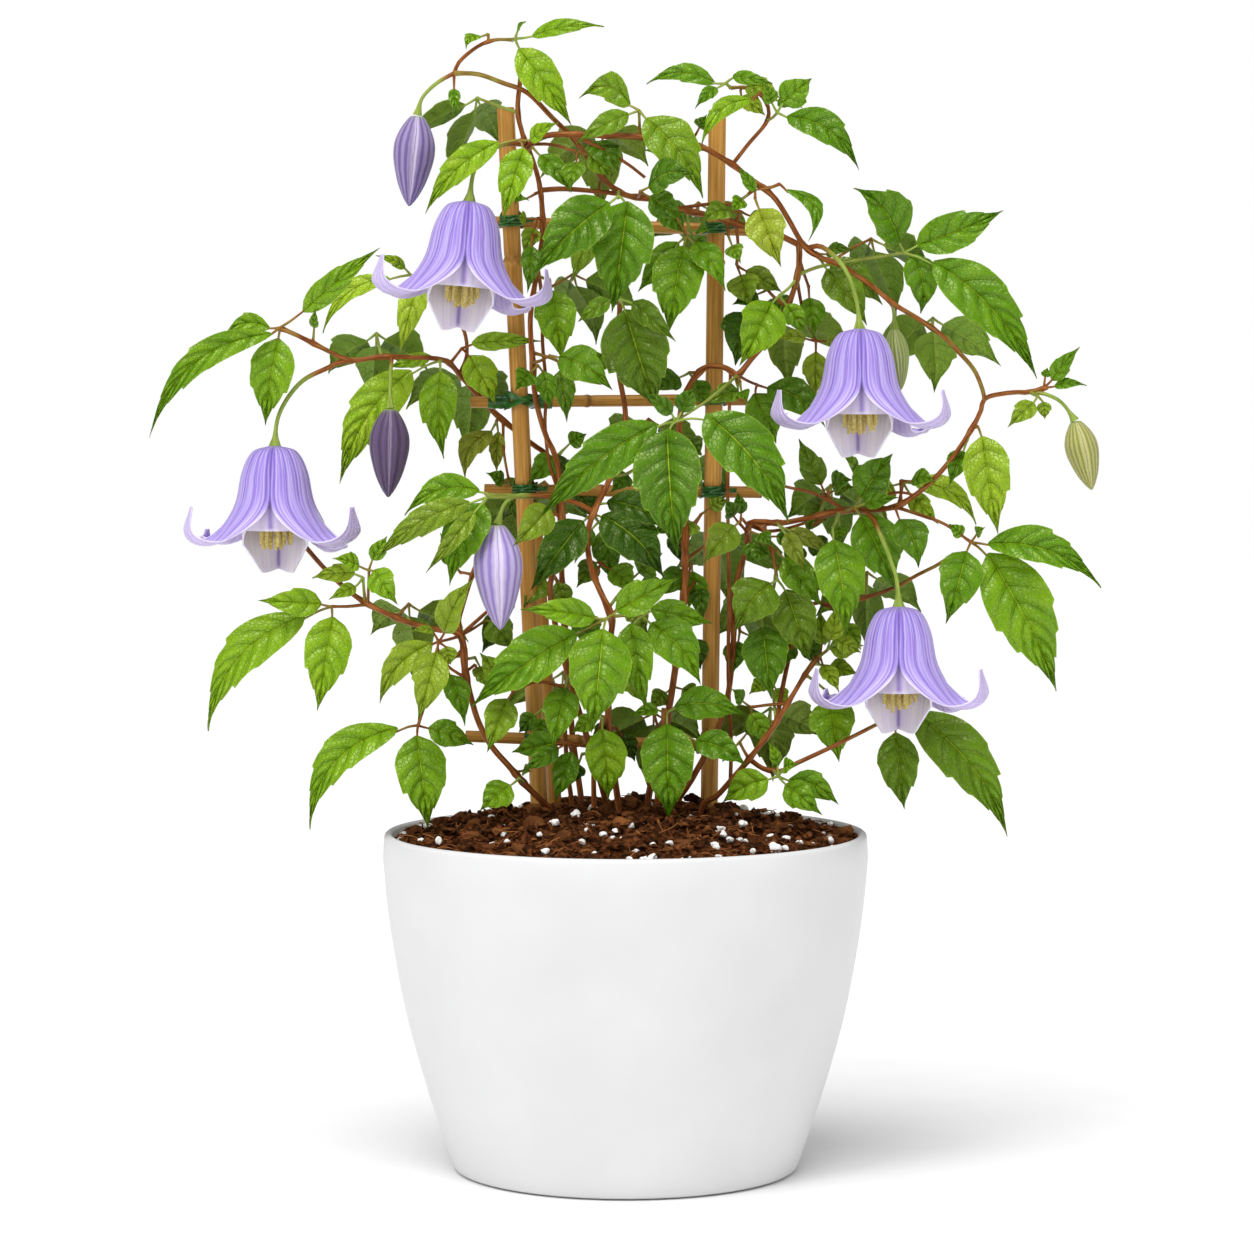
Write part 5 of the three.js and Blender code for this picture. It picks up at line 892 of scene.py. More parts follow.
def tube(
    heap: Heap,
    track: Array,
    radii: Array,
    sides: int = 8,
    tint: Array | tuple[float, ...] = (0.0, 0.0, 0.0, 0.0),
    look: int = 0,
    flat: float = 1.0,
) -> None:
    """Adds a round rod that follows a track.

    Args:
        heap: Where it goes.
        track: Points along its middle line.
        radii: Its radius at each point.
        sides: Faces around it.
        tint: Four numbers for all of it, or for each point of the track.
        look: Index of its finish.
        flat: Its thickness across the second direction, as a share of the first.
    """
    pattern = rod_pattern(sides, len(track) - 1)
    tangents = unit(np.gradient(track, axis=0))
    side = np.cross(tangents[0], UP)
    if np.linalg.norm(side) < 0.1:
        side = np.array([1.0, 0.0, 0.0])
    sides_at = []
    for way in tangents:
        side = unit(side - way * (side @ way))
        sides_at.append(side)
    across = np.array(sides_at)
    other = np.cross(tangents, across)
    ring = np.rint(pattern.v * (len(track) - 1)).astype(int)
    turn = pattern.u * math.tau
    r = (radii[ring] * pattern.side)[:, None]
    points = track[ring] + r * (
        np.cos(turn)[:, None] * across[ring] + flat * np.sin(turn)[:, None] * other[ring]
    )
    length = float(np.linalg.norm(np.diff(track, axis=0), axis=1).sum())
    uv = pattern.corner_uv * np.array([1.0, length])
    tints = np.asarray(tint, float)
    heap.add(pattern, points, uv, tints if tints.ndim == 1 else tints[ring], look)


# ---------------------------------------------------------------- finishes

# What goes into an input of a node: an output, a number or a hex colour.
Feed = bpy.types.NodeSocket | float | str
Output = bpy.types.NodeSocket


def linear(colour: str) -> tuple[float, float, float, float]:
    """Turns an sRGB hex colour to linear RGBA."""
    parts = [int(colour[i : i + 2], 16) / 255 for i in (1, 3, 5)]
    return tuple(c / 12.92 if c < 0.04045 else ((c + 0.055) / 1.055) ** 2.4 for c in parts) + (1.0,)


@dataclass
class Paint:
    """A material under way, with its shader."""

    material: bpy.types.Material
    shader: bpy.types.Node

    def add(
        self,
        kind: str,
        feeds: list | dict,
        out: int | str = 0,
        stops: Iterable[tuple[float, str]] = (),
        **settings: str | bool,
    ) -> Output:
        """Adds a node with its settings and links.

        Args:
            kind: Its type without the words ShaderNode.
            feeds: For inputs by place or by name, an output, a number or a hex colour.
            out: The output to return.
            stops: Places and hex colours of a colour ramp.
            **settings: Properties of the node.

        Returns:
            One of its outputs.
        """
        tree = self.material.node_tree
        made = tree.nodes.new("ShaderNode" + kind)
        for name, value in settings.items():
            setattr(made, name, value)
        for key, value in feeds.items() if isinstance(feeds, dict) else enumerate(feeds):
            if isinstance(value, bpy.types.NodeSocket):
                tree.links.new(value, made.inputs[key])
            else:
                made.inputs[key].default_value = linear(value) if isinstance(value, str) else value
        for i, (place, colour) in enumerate(stops):
            stop = made.color_ramp.elements[i] if i < 2 else made.color_ramp.elements.new(place)
            stop.position = place
            stop.color = linear(colour)
        return made.outputs[out]

    def feed(self, name: str, value: Output) -> None:
        """Links an output to an input of the shader."""
        self.material.node_tree.links.new(value, self.shader.inputs[name])

    def surface(self) -> Output:
        """Adds the UV map."""
        return self.add("UVMap", [], uv_map="surface")

    def place(self) -> Output:
        """Adds the place on the object."""
        return self.add("TexCoord", [], "Object")

    def tint(self, part: str = "Color") -> Output:
        """Adds the tint of the vertices, or its fourth number as Alpha."""
        return self.add("Attribute", [], part, attribute_name="tint")

    def stretched(self, place: Output, scale: Spot) -> Output:
        """Adds a place scaled along its three directions."""
        return self.add("Mapping", {"Vector": place, "Scale": scale})

    def noise(self, place: Output, scale: float, detail: float = 2.0) -> Output:
        """Adds a cloudy grain."""
        return self.add("TexNoise", {"Vector": place, "Scale": scale, "Detail": detail})

    def times(self, a: Feed, b: Feed) -> Output:
        """Adds the product of two values."""
        return self.add("Math", [a, b], operation="MULTIPLY")

    def scaled(self, a: Feed, b: Feed, c: Feed) -> Output:
        """Adds a times b, plus c."""
        return self.add("Math", [a, b, c], operation="MULTIPLY_ADD")

    def less(self, a: Feed, b: Feed) -> Output:
        """Adds a minus b."""
        return self.add("Math", [a, b], operation="SUBTRACT")

    def folded(self, a: Feed, b: Feed) -> Output:
        """Adds a value that goes from 0 to b and back to 0 as a rises by 2 b, over and over."""
        return self.add("Math", [a, b], operation="PINGPONG")

    def soft(self, value: Output, low: Feed, high: Feed, start: Feed, end: Feed) -> Output:
        """Adds a soft step from start, where the value is low, to end, where it is high."""
        return self.add("MapRange", [value, low, high, start, end], interpolation_type="SMOOTHSTEP")

    def ramp(self, value: Output, stops: Iterable[tuple[float, str]]) -> Output:
        """Adds a colour ramp."""
        return self.add("ValToRGB", [value], stops=stops)

    def mix(self, share: Feed, under: Feed, over: Feed) -> Output:
        """Adds a mix of two colours, all under at a share of 0 and all over at 1."""
        return self.add("Mix", {0: share, 6: under, 7: over}, 2, data_type="RGBA")

    def coated(self, colour: Output, coats: Iterable[tuple[float, Output, str]]) -> Output:
        """Lays coats of colour over a colour.

        Args:
            colour: The colour underneath.
            coats: For each coat how strong it is, where it lies and its hex colour.

        Returns:
            The colour on top.
        """
        for strength, where, tone in coats:
            colour = self.mix(self.times(where, strength), colour, tone)
        return colour

    def relief(self, height: Output, depth_mm: float, strength: float) -> None:
        """Feeds the normal with a relief.

        Args:
            height: How high it is at each place.
            depth_mm: How deep a height of 1 is.
            strength: How much of it shows.
        """
        bump = {"Height": height, "Distance": depth_mm * MM, "Strength": strength}
        self.feed("Normal", self.add("Bump", bump))


@dataclass(frozen=True)
class Finish:
    """A surface finish: its name and the plain numbers of its shader."""

    name: str
    roughness: float = 0.5
    specular: float = 0.5
    subsurface: float = 0.0
    scatter_mm: float = 1.0
    sheen: float = 0.0
    gleam: str = "#FFFFFF"

    def start(self) -> Paint:
        """Makes the material with its shader.

        Returns:
            The material under way.
        """
        material = bpy.data.materials.new(self.name)
        material.use_nodes = True
        shader = material.node_tree.nodes["Principled BSDF"]
        shader.inputs["Roughness"].default_value = self.roughness
        shader.inputs["Specular IOR Level"].default_value = self.specular
        shader.inputs["Subsurface Weight"].default_value = self.subsurface
        shader.inputs["Subsurface Radius"].default_value = (1.0, 1.0, 0.4)
        shader.inputs["Subsurface Scale"].default_value = self.scatter_mm * MM
        shader.inputs["Sheen Weight"].default_value = self.sheen
        shader.inputs["Specular Tint"].default_value = linear(self.gleam)
        return Paint(material, shader)


@dataclass(frozen=True)
class LeafFinish(Finish):
    """Living leaf: a waxy green skin over soft tissue, creased at its veins with painted shade in the
    creases, paler underneath.

    UV x runs from -1 to 1 across a blade, and UV y counts its side veins, so a vein lies at every
    whole number. The tint holds how light it is, which is painted light and shade as well as its
    own tone, how yellow, how withered, and its underside.
    """

    name: str = "living_leaf"
    roughness: float = 0.28
    specular: float = 0.55
    subsurface: float = 0.08
    gleam: str = "#FFFFC8"
    net_mm: float = 1.9
    mottle_mm: float = 11.0

    def build(self) -> bpy.types.Material:
        """Makes the material.

        Returns:
            The material.
        """
        paint = self.start()
        uv_x = paint.add("SeparateXYZ", [paint.surface()])
        uv_y = uv_x.node.outputs["Y"]
        tint = paint.tint()
        under = tint.node.outputs["Alpha"]
        light = paint.add("SeparateColor", [tint])
        yellow, withered = light.node.outputs["Green"], light.node.outputs["Blue"]
        place = paint.place()
        cloud = paint.noise(place, 1 / (self.mottle_mm * MM), 3.0)
        speck = paint.noise(place, 3 / (self.mottle_mm * MM), 4.0)
        across = paint.add("Math", [uv_x], operation="ABSOLUTE")
        counted = paint.scaled(cloud, 0.22, uv_y)
        gap = paint.folded(counted, 0.5)
        # The crease and the wider valley follow the side veins: they sink the relief and darken the colour
        # as painted shade.
        crease = paint.soft(gap, 0.0, 0.06, 1.0, 0.0)
        shaded_valley = paint.soft(gap, 0.0, 0.32, 1.0, 0.0)
        fade = paint.soft(across, 0.45, 0.95, 1.0, 0.0)
        crease = paint.times(crease, fade)
        midrib = paint.soft(across, 0.018, 0.062, 1.0, 0.0)
        cells = {"Vector": place, "Scale": 1 / (self.net_mm * MM)}
        net = paint.add("TexVoronoi", cells, feature="DISTANCE_TO_EDGE")
        lines = paint.soft(net, 0.0, 0.11, 1.0, 0.0)
        # The tint's lightness is painted light and shade by where the leaf hangs, over its own tone; the
        # cloud and speck add mottle.
        shade = paint.scaled(cloud, 0.34, light)
        shade = paint.less(shade, 0.17)
        shade = paint.scaled(speck, 0.1, shade)
        greens = [
            (0.0, "#163102"),
            (1.0, "#AECA30"),
            (0.28, "#305902"),
            (0.55, "#598A05"),
            (0.8, "#84AE12"),
        ]
        colour = paint.ramp(shade, greens)
        # The valley and crease coats are painted shade in the sunken side veins; the other coats are the
        # leaf's own colour.
        coats = (
            (0.18, lines, "#7FA61E"),
            (0.1, shaded_valley, "#2A5202"),
            (0.28, crease, "#2A5202"),
            (0.85, midrib, "#B9D03C"),
            (1.0, yellow, "#A9AC35"),
            (1.0, withered, "#5E4327"),
            (0.5, under, "#86A53E"),
        )
        colour = paint.coated(colour, coats)
        edge = paint.soft(across, 0.93, 1.0, 0.0, 0.4)
        colour = paint.mix(edge, colour, "#98BA2A")
        paint.feed("Base Color", colour)
        dull = paint.scaled(under, 0.22, self.roughness - 0.08)
        paint.feed("Roughness", paint.scaled(speck, 0.2, dull))
        ridges = paint.scaled(lines, -0.45, 1.0)
        ridges = paint.scaled(crease, -0.7, ridges)
        ridges = paint.scaled(shaded_valley, -1.2, ridges)
        ridges = paint.scaled(midrib, -0.8, ridges)
        ridges = paint.scaled(speck, 0.18, ridges)
        paint.relief(ridges, 0.5, 0.9)
        return paint.material


@dataclass(frozen=True)
class StemFinish(Finish):
    """Vine stem: smooth reddish-brown bark with lengthwise ridges, green where it is young.

    The tint's first number is how young it is. UV x goes round it and UV y counts millimetres.
    """

    name: str = "vine_bark"
    roughness: float = 0.44
    gleam: str = "#FFC288"
    streak_mm: float = 8.0

    def build(self) -> bpy.types.Material:
        """Makes the material.

        Returns:
            The material.
        """
        paint = self.start()
        young = paint.add("SeparateColor", [paint.tint()])
        uv = paint.surface()
        stretched = paint.stretched(uv, (7, 1 / self.streak_mm, 1))
        streaks = paint.noise(stretched, 1.0, 3.0)
        patches = paint.noise(paint.place(), 1 / (6 * MM))
        share = paint.scaled(patches, 0.5, young)
        share = paint.soft(share, 0.5, 1.0, 0.0, 1.0)
        bark = paint.ramp(streaks, [(0.25, "#4C2009"), (0.75, "#B27540"), (0.5, "#874A20")])
        green = paint.ramp(streaks, [(0.25, "#6B8A2C"), (0.75, "#A6BB5A")])
        paint.feed("Base Color", paint.mix(share, bark, green))
        paint.relief(streaks, 0.3, 0.6)
        return paint.material


@dataclass(frozen=True)
class SepalFinish(Finish):
    """Lavender sepal: soft downy tissue with deep violet grooves, white margins and a pale inside, with
    painted shade towards its top, in and beside its grooves and where two sepals meet.

    UV x runs from -1 to 1 across a sepal and UV y from 0 at the top to 1 at its tip.
    """

    name: str = "lavender_sepal"
    roughness: float = 0.52
    specular: float = 0.3
    subsurface: float = 0.2
    scatter_mm: float = 1.4
    sheen: float = 0.2
    groove_gap: float = 0.21
    parting: float = 0.42

    def build(self) -> bpy.types.Material:
        """Makes the material.

        Returns:
            The material.
        """
        paint = self.start()
        uv = paint.surface()
        uv_x = paint.add("SeparateXYZ", [uv])
        uv_y = uv_x.node.outputs["Y"]
        under = paint.tint("Alpha")
        place = paint.place()
        drift = paint.noise(place, 1 / (9 * MM), 2.0)
        grain = paint.noise(place, 1 / (0.8 * MM), 2.0)
        fine = paint.stretched(uv, (16, 2.2, 1))
        fine = paint.noise(fine, 1.0, 4.0)
        across = paint.add("Math", [uv_x], operation="ABSOLUTE")
        wander = paint.scaled(drift, 0.09, across)
        wander = paint.less(wander, 0.045)
        gap = paint.folded(wander, self.groove_gap)
        # The groove is a thin dark line on each vein, its darker colour with painted shade in it; the
        # hollow is a wider band of painted shade beside it, also sunk in the relief.
        groove = paint.soft(gap, 0.0, 0.045, 1.0, 0.0)
        shaded_hollow = paint.soft(gap, 0.0, 0.15, 1.0, 0.0)
        fade = paint.soft(uv_y, 0.35, 0.95, 1.0, 0.45)
        groove = paint.times(groove, fade)
        # Darker at the top of each sepal and paler towards its tip: the dark top is painted shade.
        tones = [
            (0.0, "#785ABC"),
            (1.0, "#B39CE0"),
            (0.25, "#9277CF"),
            (0.6, "#A88FDE"),
            (0.85, "#BDA9E8"),
        ]
        colour = paint.ramp(uv_y, tones)
        streak = paint.soft(fine, 0.38, 0.68, 0.0, 0.6)
        edge = paint.soft(across, 0.86, 1.0, 0.0, 1.0)
        free = paint.soft(uv_y, self.parting, self.parting + 0.08, 0.0, 1.0)
        margin = paint.times(edge, free)
        # The seam darkens the sepal's edge where it meets its neighbour above the parting: painted shade
        # between the sepals.
        closed = paint.less(1.0, free)
        seam = paint.soft(across, 0.93, 1.0, 0.0, 1.0)
        seam = paint.times(seam, closed)
        coats = (
            (1.0, streak, "#E2D9F8"),
            (0.3, shaded_hollow, "#8A6FC6"),
            (0.75, groove, "#7053B4"),
            (0.8, seam, "#5D43A0"),
            (0.7, margin, "#F1EBFB"),
        )
        colour = paint.coated(colour, coats)
        # Inside, the grooves get painted shade as well.
        inner = paint.times(groove, 0.5)
        inner = paint.mix(inner, "#CDBEE8", "#9279C6")
        inside = paint.times(under, 0.8)
        paint.feed("Base Color", paint.mix(inside, colour, inner))
        relief = paint.scaled(shaded_hollow, -0.7, fine)
        relief = paint.scaled(grain, 0.25, relief)
        paint.relief(relief, 0.4, 0.6)
        return paint.material


@dataclass(frozen=True)
class CupFinish(Finish):
    """Pale inner cup: thin lilac tissue, nearly white, with violet veins and a violet middle seam.

    UV x goes round it from 0 at the front, UV y from 0 at the top to 1 at its edge.
    """

    name: str = "pale_cup"
    roughness: float = 0.5
    specular: float = 0.3
    subsurface: float = 0.25
    scatter_mm: float = 1.4
    sheen: float = 0.2

    def build(self) -> bpy.types.Material:
        """Makes the material.

        Returns:
            The material.
        """
        paint = self.start()
        uv = paint.surface()
        uv_x = paint.add("SeparateXYZ", [uv])
        uv_y = uv_x.node.outputs["Y"]
        fine = paint.stretched(uv, (40, 1.4, 1))
        fine = paint.noise(fine, 1.0, 3.0)
        seam = paint.folded(uv_x, 0.25)
        lines = paint.soft(fine, 0.45, 0.68, 0.0, 0.4)
        glow = paint.soft(seam, 0.0, 0.1, 0.45, 0.0)
        near = paint.soft(seam, 0.0, 0.022, 0.75, 0.0)
        rim = paint.soft(uv_y, 0.93, 1.0, 0.0, 0.6)
        colour = paint.mix(lines, "#F0E9F5", "#CFC0E4")
        for factor, target in ((glow, "#B39BD6"), (near, "#7558AC"), (rim, "#EDE6F7")):
            colour = paint.mix(factor, colour, target)
        paint.feed("Base Color", colour)
        paint.relief(fine, 0.25, 0.5)
        return paint.material


@dataclass(frozen=True)
class StamenFinish(Finish):
    """Anthers and filaments: pale yellow-green, dusted with pollen."""

    name: str = "pollen_stamen"
    roughness: float = 0.7
    pollen_mm: float = 0.8

    def build(self) -> bpy.types.Material:
        """Makes the material.

        Returns:
            The material.
        """
        paint = self.start()
        dust = paint.noise(paint.place(), 1 / (self.pollen_mm * MM))
        stops = [(0.3, "#B89B3E"), (0.7, "#EBDC92")]
        paint.feed("Base Color", paint.ramp(dust, stops))
        paint.relief(dust, 0.2, 0.6)
        return paint.material


@dataclass(frozen=True)
class BudFinish(Finish):
    """Closed bud: downy skin striped from stalk to tip, with a pale band along each of its seams.

    UV x goes round it once and UV y from 0 at the stalk to 1 at the tip.
    """

    name: str = "downy_bud"
    roughness: float = 0.5
    specular: float = 0.3
    subsurface: float = 0.08
    sheen: float = 0.25
    skin: str = "#7E6AA8"
    stripe: str = "#4F3C66"
    pale: str = "#C9BCDD"
    stalk_end: str = "#9AAE66"
    stripes: float = 5.0
    bands: float = 4.0
    band_width: float = 0.05

    def build(self) -> bpy.types.Material:
        """Makes the material.

        Returns:
            The material.
        """
        paint = self.start()
        uv_x = paint.add("SeparateXYZ", [paint.surface()])
        uv_y = uv_x.node.outputs["Y"]
        drift = paint.noise(paint.place(), 1 / (6 * MM))
        turn = paint.scaled(drift, 0.02, uv_x)
        banded = paint.times(turn, self.bands)
        seam = paint.folded(banded, 0.5)
        band = paint.soft(seam, self.band_width, self.band_width + 0.08, 1.0, 0.0)
        split = paint.soft(seam, 0.008, 0.03, 1.0, 0.0)
        ribbed = paint.times(turn, self.bands * self.stripes)
        rib = paint.folded(ribbed, 0.5)
        dark = paint.soft(rib, 0.08, 0.34, 0.75, 0.0)
        green = paint.soft(uv_y, 0.0, 0.17, 0.85, 0.0)
        colour = paint.mix(dark, self.skin, self.stripe)
        band = paint.times(band, 0.7)
        split = paint.times(split, 0.6)
        for factor, target in ((band, self.pale), (split, self.stripe), (green, self.stalk_end)):
            colour = paint.mix(factor, colour, target)
        paint.feed("Base Color", colour)
        paint.relief(paint.less(1.0, dark), 0.4, 0.6)
        return paint.material


# The five buds, from the ripest violet ones to the youngest green one.
BUD_FINISHES = {
    1: BudFinish("bud_purple", skin="#9685B6", stripe="#56427A", pale="#D8CEE4", stripes=4),
    2: BudFinish("bud_dark", skin="#604B6E", stripe="#3F2E4C", pale="#AB9AB2", stripes=3, band_width=0.015),
    3: BudFinish("bud_light", skin="#BCABDA", stripe="#8069B8", pale="#EAE2F1", stripes=4, band_width=0.08),
    4: BudFinish("bud_olive", skin="#B0AE62", stripe="#757B35", pale="#D3CF96"),
    5: BudFinish("bud_young", skin="#A4B061", stripe="#73853A", pale="#CBD09A"),
}


@dataclass(frozen=True)
class BambooFinish(Finish):
    """Dried bamboo cane: hard waxy straw skin with lengthwise fibres and weathered brown patches.

    The tint's first number is how brown it is. UV x goes round it and UV y counts millimetres.
    """

    name: str = "dried_bamboo"
    roughness: float = 0.4
    gleam: str = "#FFDCA4"
    light: str = "#DCA658"
    deep: str = "#AE7429"
    stain: str = "#63381A"

    def build(self) -> bpy.types.Material:
        """Makes the material.

        Returns:
            The material.
        """
        paint = self.start()
        brown = paint.add("SeparateColor", [paint.tint()])
        uv = paint.surface()
        fibres = paint.stretched(uv, (22, 0.05, 1))
        fibres = paint.noise(fibres, 1.0, 4.0)
        bands = paint.stretched(uv, (2, 0.025, 1))
        bands = paint.noise(bands, 1.0, 2.0)
        colour = paint.ramp(fibres, [(0.3, self.deep), (0.68, self.light)])
        age = paint.soft(bands, 0.48, 0.8, 0.0, 0.45)
        for factor in (age, paint.times(brown, 0.85)):
            colour = paint.mix(factor, colour, self.stain)
        paint.feed("Base Color", colour)
        paint.feed("Roughness", paint.scaled(fibres, 0.25, self.roughness - 0.1))
        paint.relief(fibres, 0.25, 0.5)
        return paint.material


@dataclass(frozen=True)
class PlainFinish(Finish):
    """A finish of two tones in one grain, with that grain in its relief."""

    low: str = "#808080"
    high: str = "#909090"
    low_at: float = 0.3
    high_at: float = 0.7
    grain_mm: float = 2.0
    detail: float = 3.0
    relief_mm: float = 0.15
    strength: float = 0.5
    uneven: float = 0.15

    def build(self) -> bpy.types.Material:
        """Makes the material.

        Returns:
            The material.
        """
        paint = self.start()
        grain = paint.noise(paint.place(), 1 / (self.grain_mm * MM), self.detail)
        stops = [(self.low_at, self.low), (self.high_at, self.high)]
        paint.feed("Base Color", paint.ramp(grain, stops))
        smoothest = self.roughness - self.uneven / 2
        paint.feed("Roughness", paint.scaled(grain, self.uneven, smoothest))
        paint.relief(grain, self.relief_mm, self.strength)
        return paint.material


# Soft green vinyl of garden tape and coated wire, with handling marks.
VINYL = PlainFinish("green_vinyl", 0.32, low="#123F12", high="#3A7A2A", grain_mm=2.5)
# Expanded perlite: chalk-white foamed grains with tiny pits.
PERLITE = PlainFinish(
    "perlite",
    0.8,
    low="#CFCBC3",
    high="#FAF9F6",
    low_at=0.25,
    high_at=0.6,
    grain_mm=0.7,
    relief_mm=0.3,
)
# Injection-moulded polypropylene: satin white, with faint waves in its gloss.
SATIN_WHITE = PlainFinish(
    "satin_polypropylene",
    0.34,
    low="#D8D8D8",
    high="#DEDEDF",
    grain_mm=45.0,
    relief_mm=0.02,
    strength=0.2,
)


@dataclass(frozen=True)
class MixFinish(Finish):
    """Growing mix of composted bark and peat: matt dark brown crumbs with redder bark, darkest in the
    hollows of its relief as painted shade.

    The tint's first number is how light a chip is.
    """

    name: str = "bark_mix"
    roughness: float = 0.85
    specular: float = 0.25
    gleam: str = "#FFCC96"
    crumb_mm: float = 2.4

    def build(self) -> bpy.types.Material:
        """Makes the material.

        Returns:
            The material.
        """
        paint = self.start()
        light = paint.add("SeparateColor", [paint.tint()])
        # One grain gives both the colour and the relief: the mix's own dark and red-brown crumbs, with its
        # low spots darkest as painted shade in the hollows and its raised spots lightest as painted
        # highlight.
        crumbs = paint.noise(paint.place(), 1 / (self.crumb_mm * MM), 6.0)
        browns_shaded_in_hollows = [(0.3, "#120602"), (0.8, "#8F562F"), (0.48, "#331708"), (0.64, "#613318")]
        colour = paint.ramp(crumbs, browns_shaded_in_hollows)
        paint.feed("Base Color", paint.mix(light, colour, "#A5693B"))
        paint.relief(crumbs, 0.9, 0.9)
        return paint.material


# Matt paper under the pot: pale, with hardly any grain.
PAPER = PlainFinish(
    "pale_backdrop",
    0.9,
    0.1,
    low="#F2F2F2",
    high="#F4F4F4",
    grain_mm=30.0,
    relief_mm=0.01,
    uneven=0.02,
)


# ---------------------------------------------------------------- leaves

# Leaves numbered from here are too small to have a solid.
FIRST_LOOSE = 400
# How light, yellow and withered a leaf is, by the foot of its first blade. The lightness is painted light
# and shade as well as the leaf's own tone.
LEAF_TONE_AND_LIGHT = {
    (-78, 219): (0.62, 0.35, 0.0),
    (-17, 268): (0.16, 0.0, 0.0),
    (-5, 399): (0.34, 0.0, 0.0),
    (82, 279): (0.3, 0.1, 0.0),
    (-53, 308): (0.35, 0.6, 0.0),
    (64, 265): (0.2, 0.4, 0.0),
    (53, 399): (0.6, 0.55, 0.0),
    (6, 403): (0.4, 0.0, 0.0),
    (52, 356): (0.15, 0.0, 0.0),
    (24, 222): (0.2, 0.0, 0.0),
    (-3, 182): (0.12, 0.0, 0.0),
    (78, 340): (0.75, 0.35, 0.0),
    (-88, 329): (0.75, 0.0, 0.0),
    (84, 197): (0.65, 0.0, 0.0),
    (84, 208): (0.7, 0.2, 0.0),
    (84, 216): (0.8, 0.1, 0.0),
    (81, 216): (0.8, 0.1, 0.0),
    (60, 201): (0.75, 0.1, 0.0),
    (112, 283): (0.8, 0.1, 0.0),
    (89, 228): (0.65, 0.0, 0.0),
    (-65, 337): (0.7, 0.1, 0.0),
    (46, 445): (0.8, 0.2, 0.0),
    (-97, 367): (0.85, 0.0, 0.0),
    (-109, 246): (0.8, 0.1, 0.0),
    (-31, 366): (0.6, 0.0, 0.0),
    (75, 361): (0.6, 0.0, 0.0),
}
# Where a stem runs on past its solid to meet another, as (x, z, y).
REACHES = {("left_cane", "arm"): (147.3, 316.4, -6.4)}
# The way that a leaf in front faces.
FRONT = np.array([0.0, -0.95, 0.31])
# How far in front of the fork, or behind it, a blade starts.
STEP = 1.2
# A blade narrower than this is too slight for a solid.
LEAST_WIDTH = 5.5
# The shortest stalk between a fork and a blade.
SHORTEST_FOOT = 4.5
# How far the tips of two neighbouring blades stand back, as pairs to try in turn.
LEANS = [pair for n, m in ((8, 2), (11, 3), (14, 5), (18, 8), (22, 10)) for pair in ((-n, m), (m, -n))]
# How much a lean varies.
LEAN_PLAY = 3
# How far back to try a leaf, or forward where it is negative, the nearest first.
SHIFTS = [0] + [side * step for step in (4, 8, 12, 16, 20, 24, 28, 32, 38, 44) for side in (-1, 1)]


def outline(t: Array) -> Array:
    """Returns the outline of a blade that is drawn out to a long tip.

    Args:
        t: Places along the blade, 0 at its base and 1 at its tip.

    Returns:
        Its half-width there, 1 at its widest.
    """
    t = np.clip(t, 0.0, 1.0)
    rise, fall = 0.75, 1.42
    widest = rise / (rise + fall)
    spread = (t**rise * (1 - t) ** fall) / (widest**rise * (1 - widest) ** fall)
    return spread * (1 - 0.35 * ease(t, 0.62, 0.98))


@dataclass
class Blade:
    """One blade of a leaf in the row frame: where it runs, which way it faces and how it curls."""

    base: Array
    tip: Array
    width: float
    bow: float
    up: Array = field(default_factory=lambda: FRONT)
    arch: float = 0.1
    fold: float = 0.05

    @property
    def length(self) -> float:
        """Length from base to tip."""
        return float(np.linalg.norm(self.tip - self.base))

    @property
    def along(self) -> Array:
        """Direction from base to tip."""
        return unit(self.tip - self.base)

    def settle(self, facing: Array, roll: Dice) -> None:
        """Turns the blade to face a way, and draws its roll, arch and fold.

        Args:
            facing: The way that the leaf faces.
            roll: Draws its play.
        """
        rest = unit(facing - self.along * (facing @ self.along))
        side = np.cross(self.along, rest)
        turn = math.radians(-15 + 30 * roll())
        self.up = rest * math.cos(turn) + side * math.sin(turn)
        self.arch = 0.05 + 0.09 * roll()
        self.fold = -0.1 + 0.34 * roll()


@dataclass
class PlacedLeaf:
    """A leaf in the row frame: its stalk's start, bends and fork, and its blades."""

    start: Array
    fork: Array
    via: list[Array]
    facing: Array
    blades: list[Blade]

    def moved(self, dy: float) -> "PlacedLeaf":
        """Moves the leaf's fork and blades along the line of sight.

        Args:
            dy: How far back they go.

        Returns:
            The moved leaf, on the same stem.
        """

        def slide(p: Array, share: float = 1.0) -> Array:
            """Slides one point."""
            y = p[1] + dy * share
            k = (y - EYE[1]) / (p[1] - EYE[1])
            return np.array([p[0] * k, y, EYE[2] + (p[2] - EYE[2]) * k])

        count = len(self.via) + 1
        via = [slide(p, (i + 1) / count) for i, p in enumerate(self.via)]
        blades = [Blade(slide(b.base), slide(b.tip), b.width, b.bow) for b in self.blades]
        return PlacedLeaf(self.start, slide(self.fork), via, self.facing, blades)


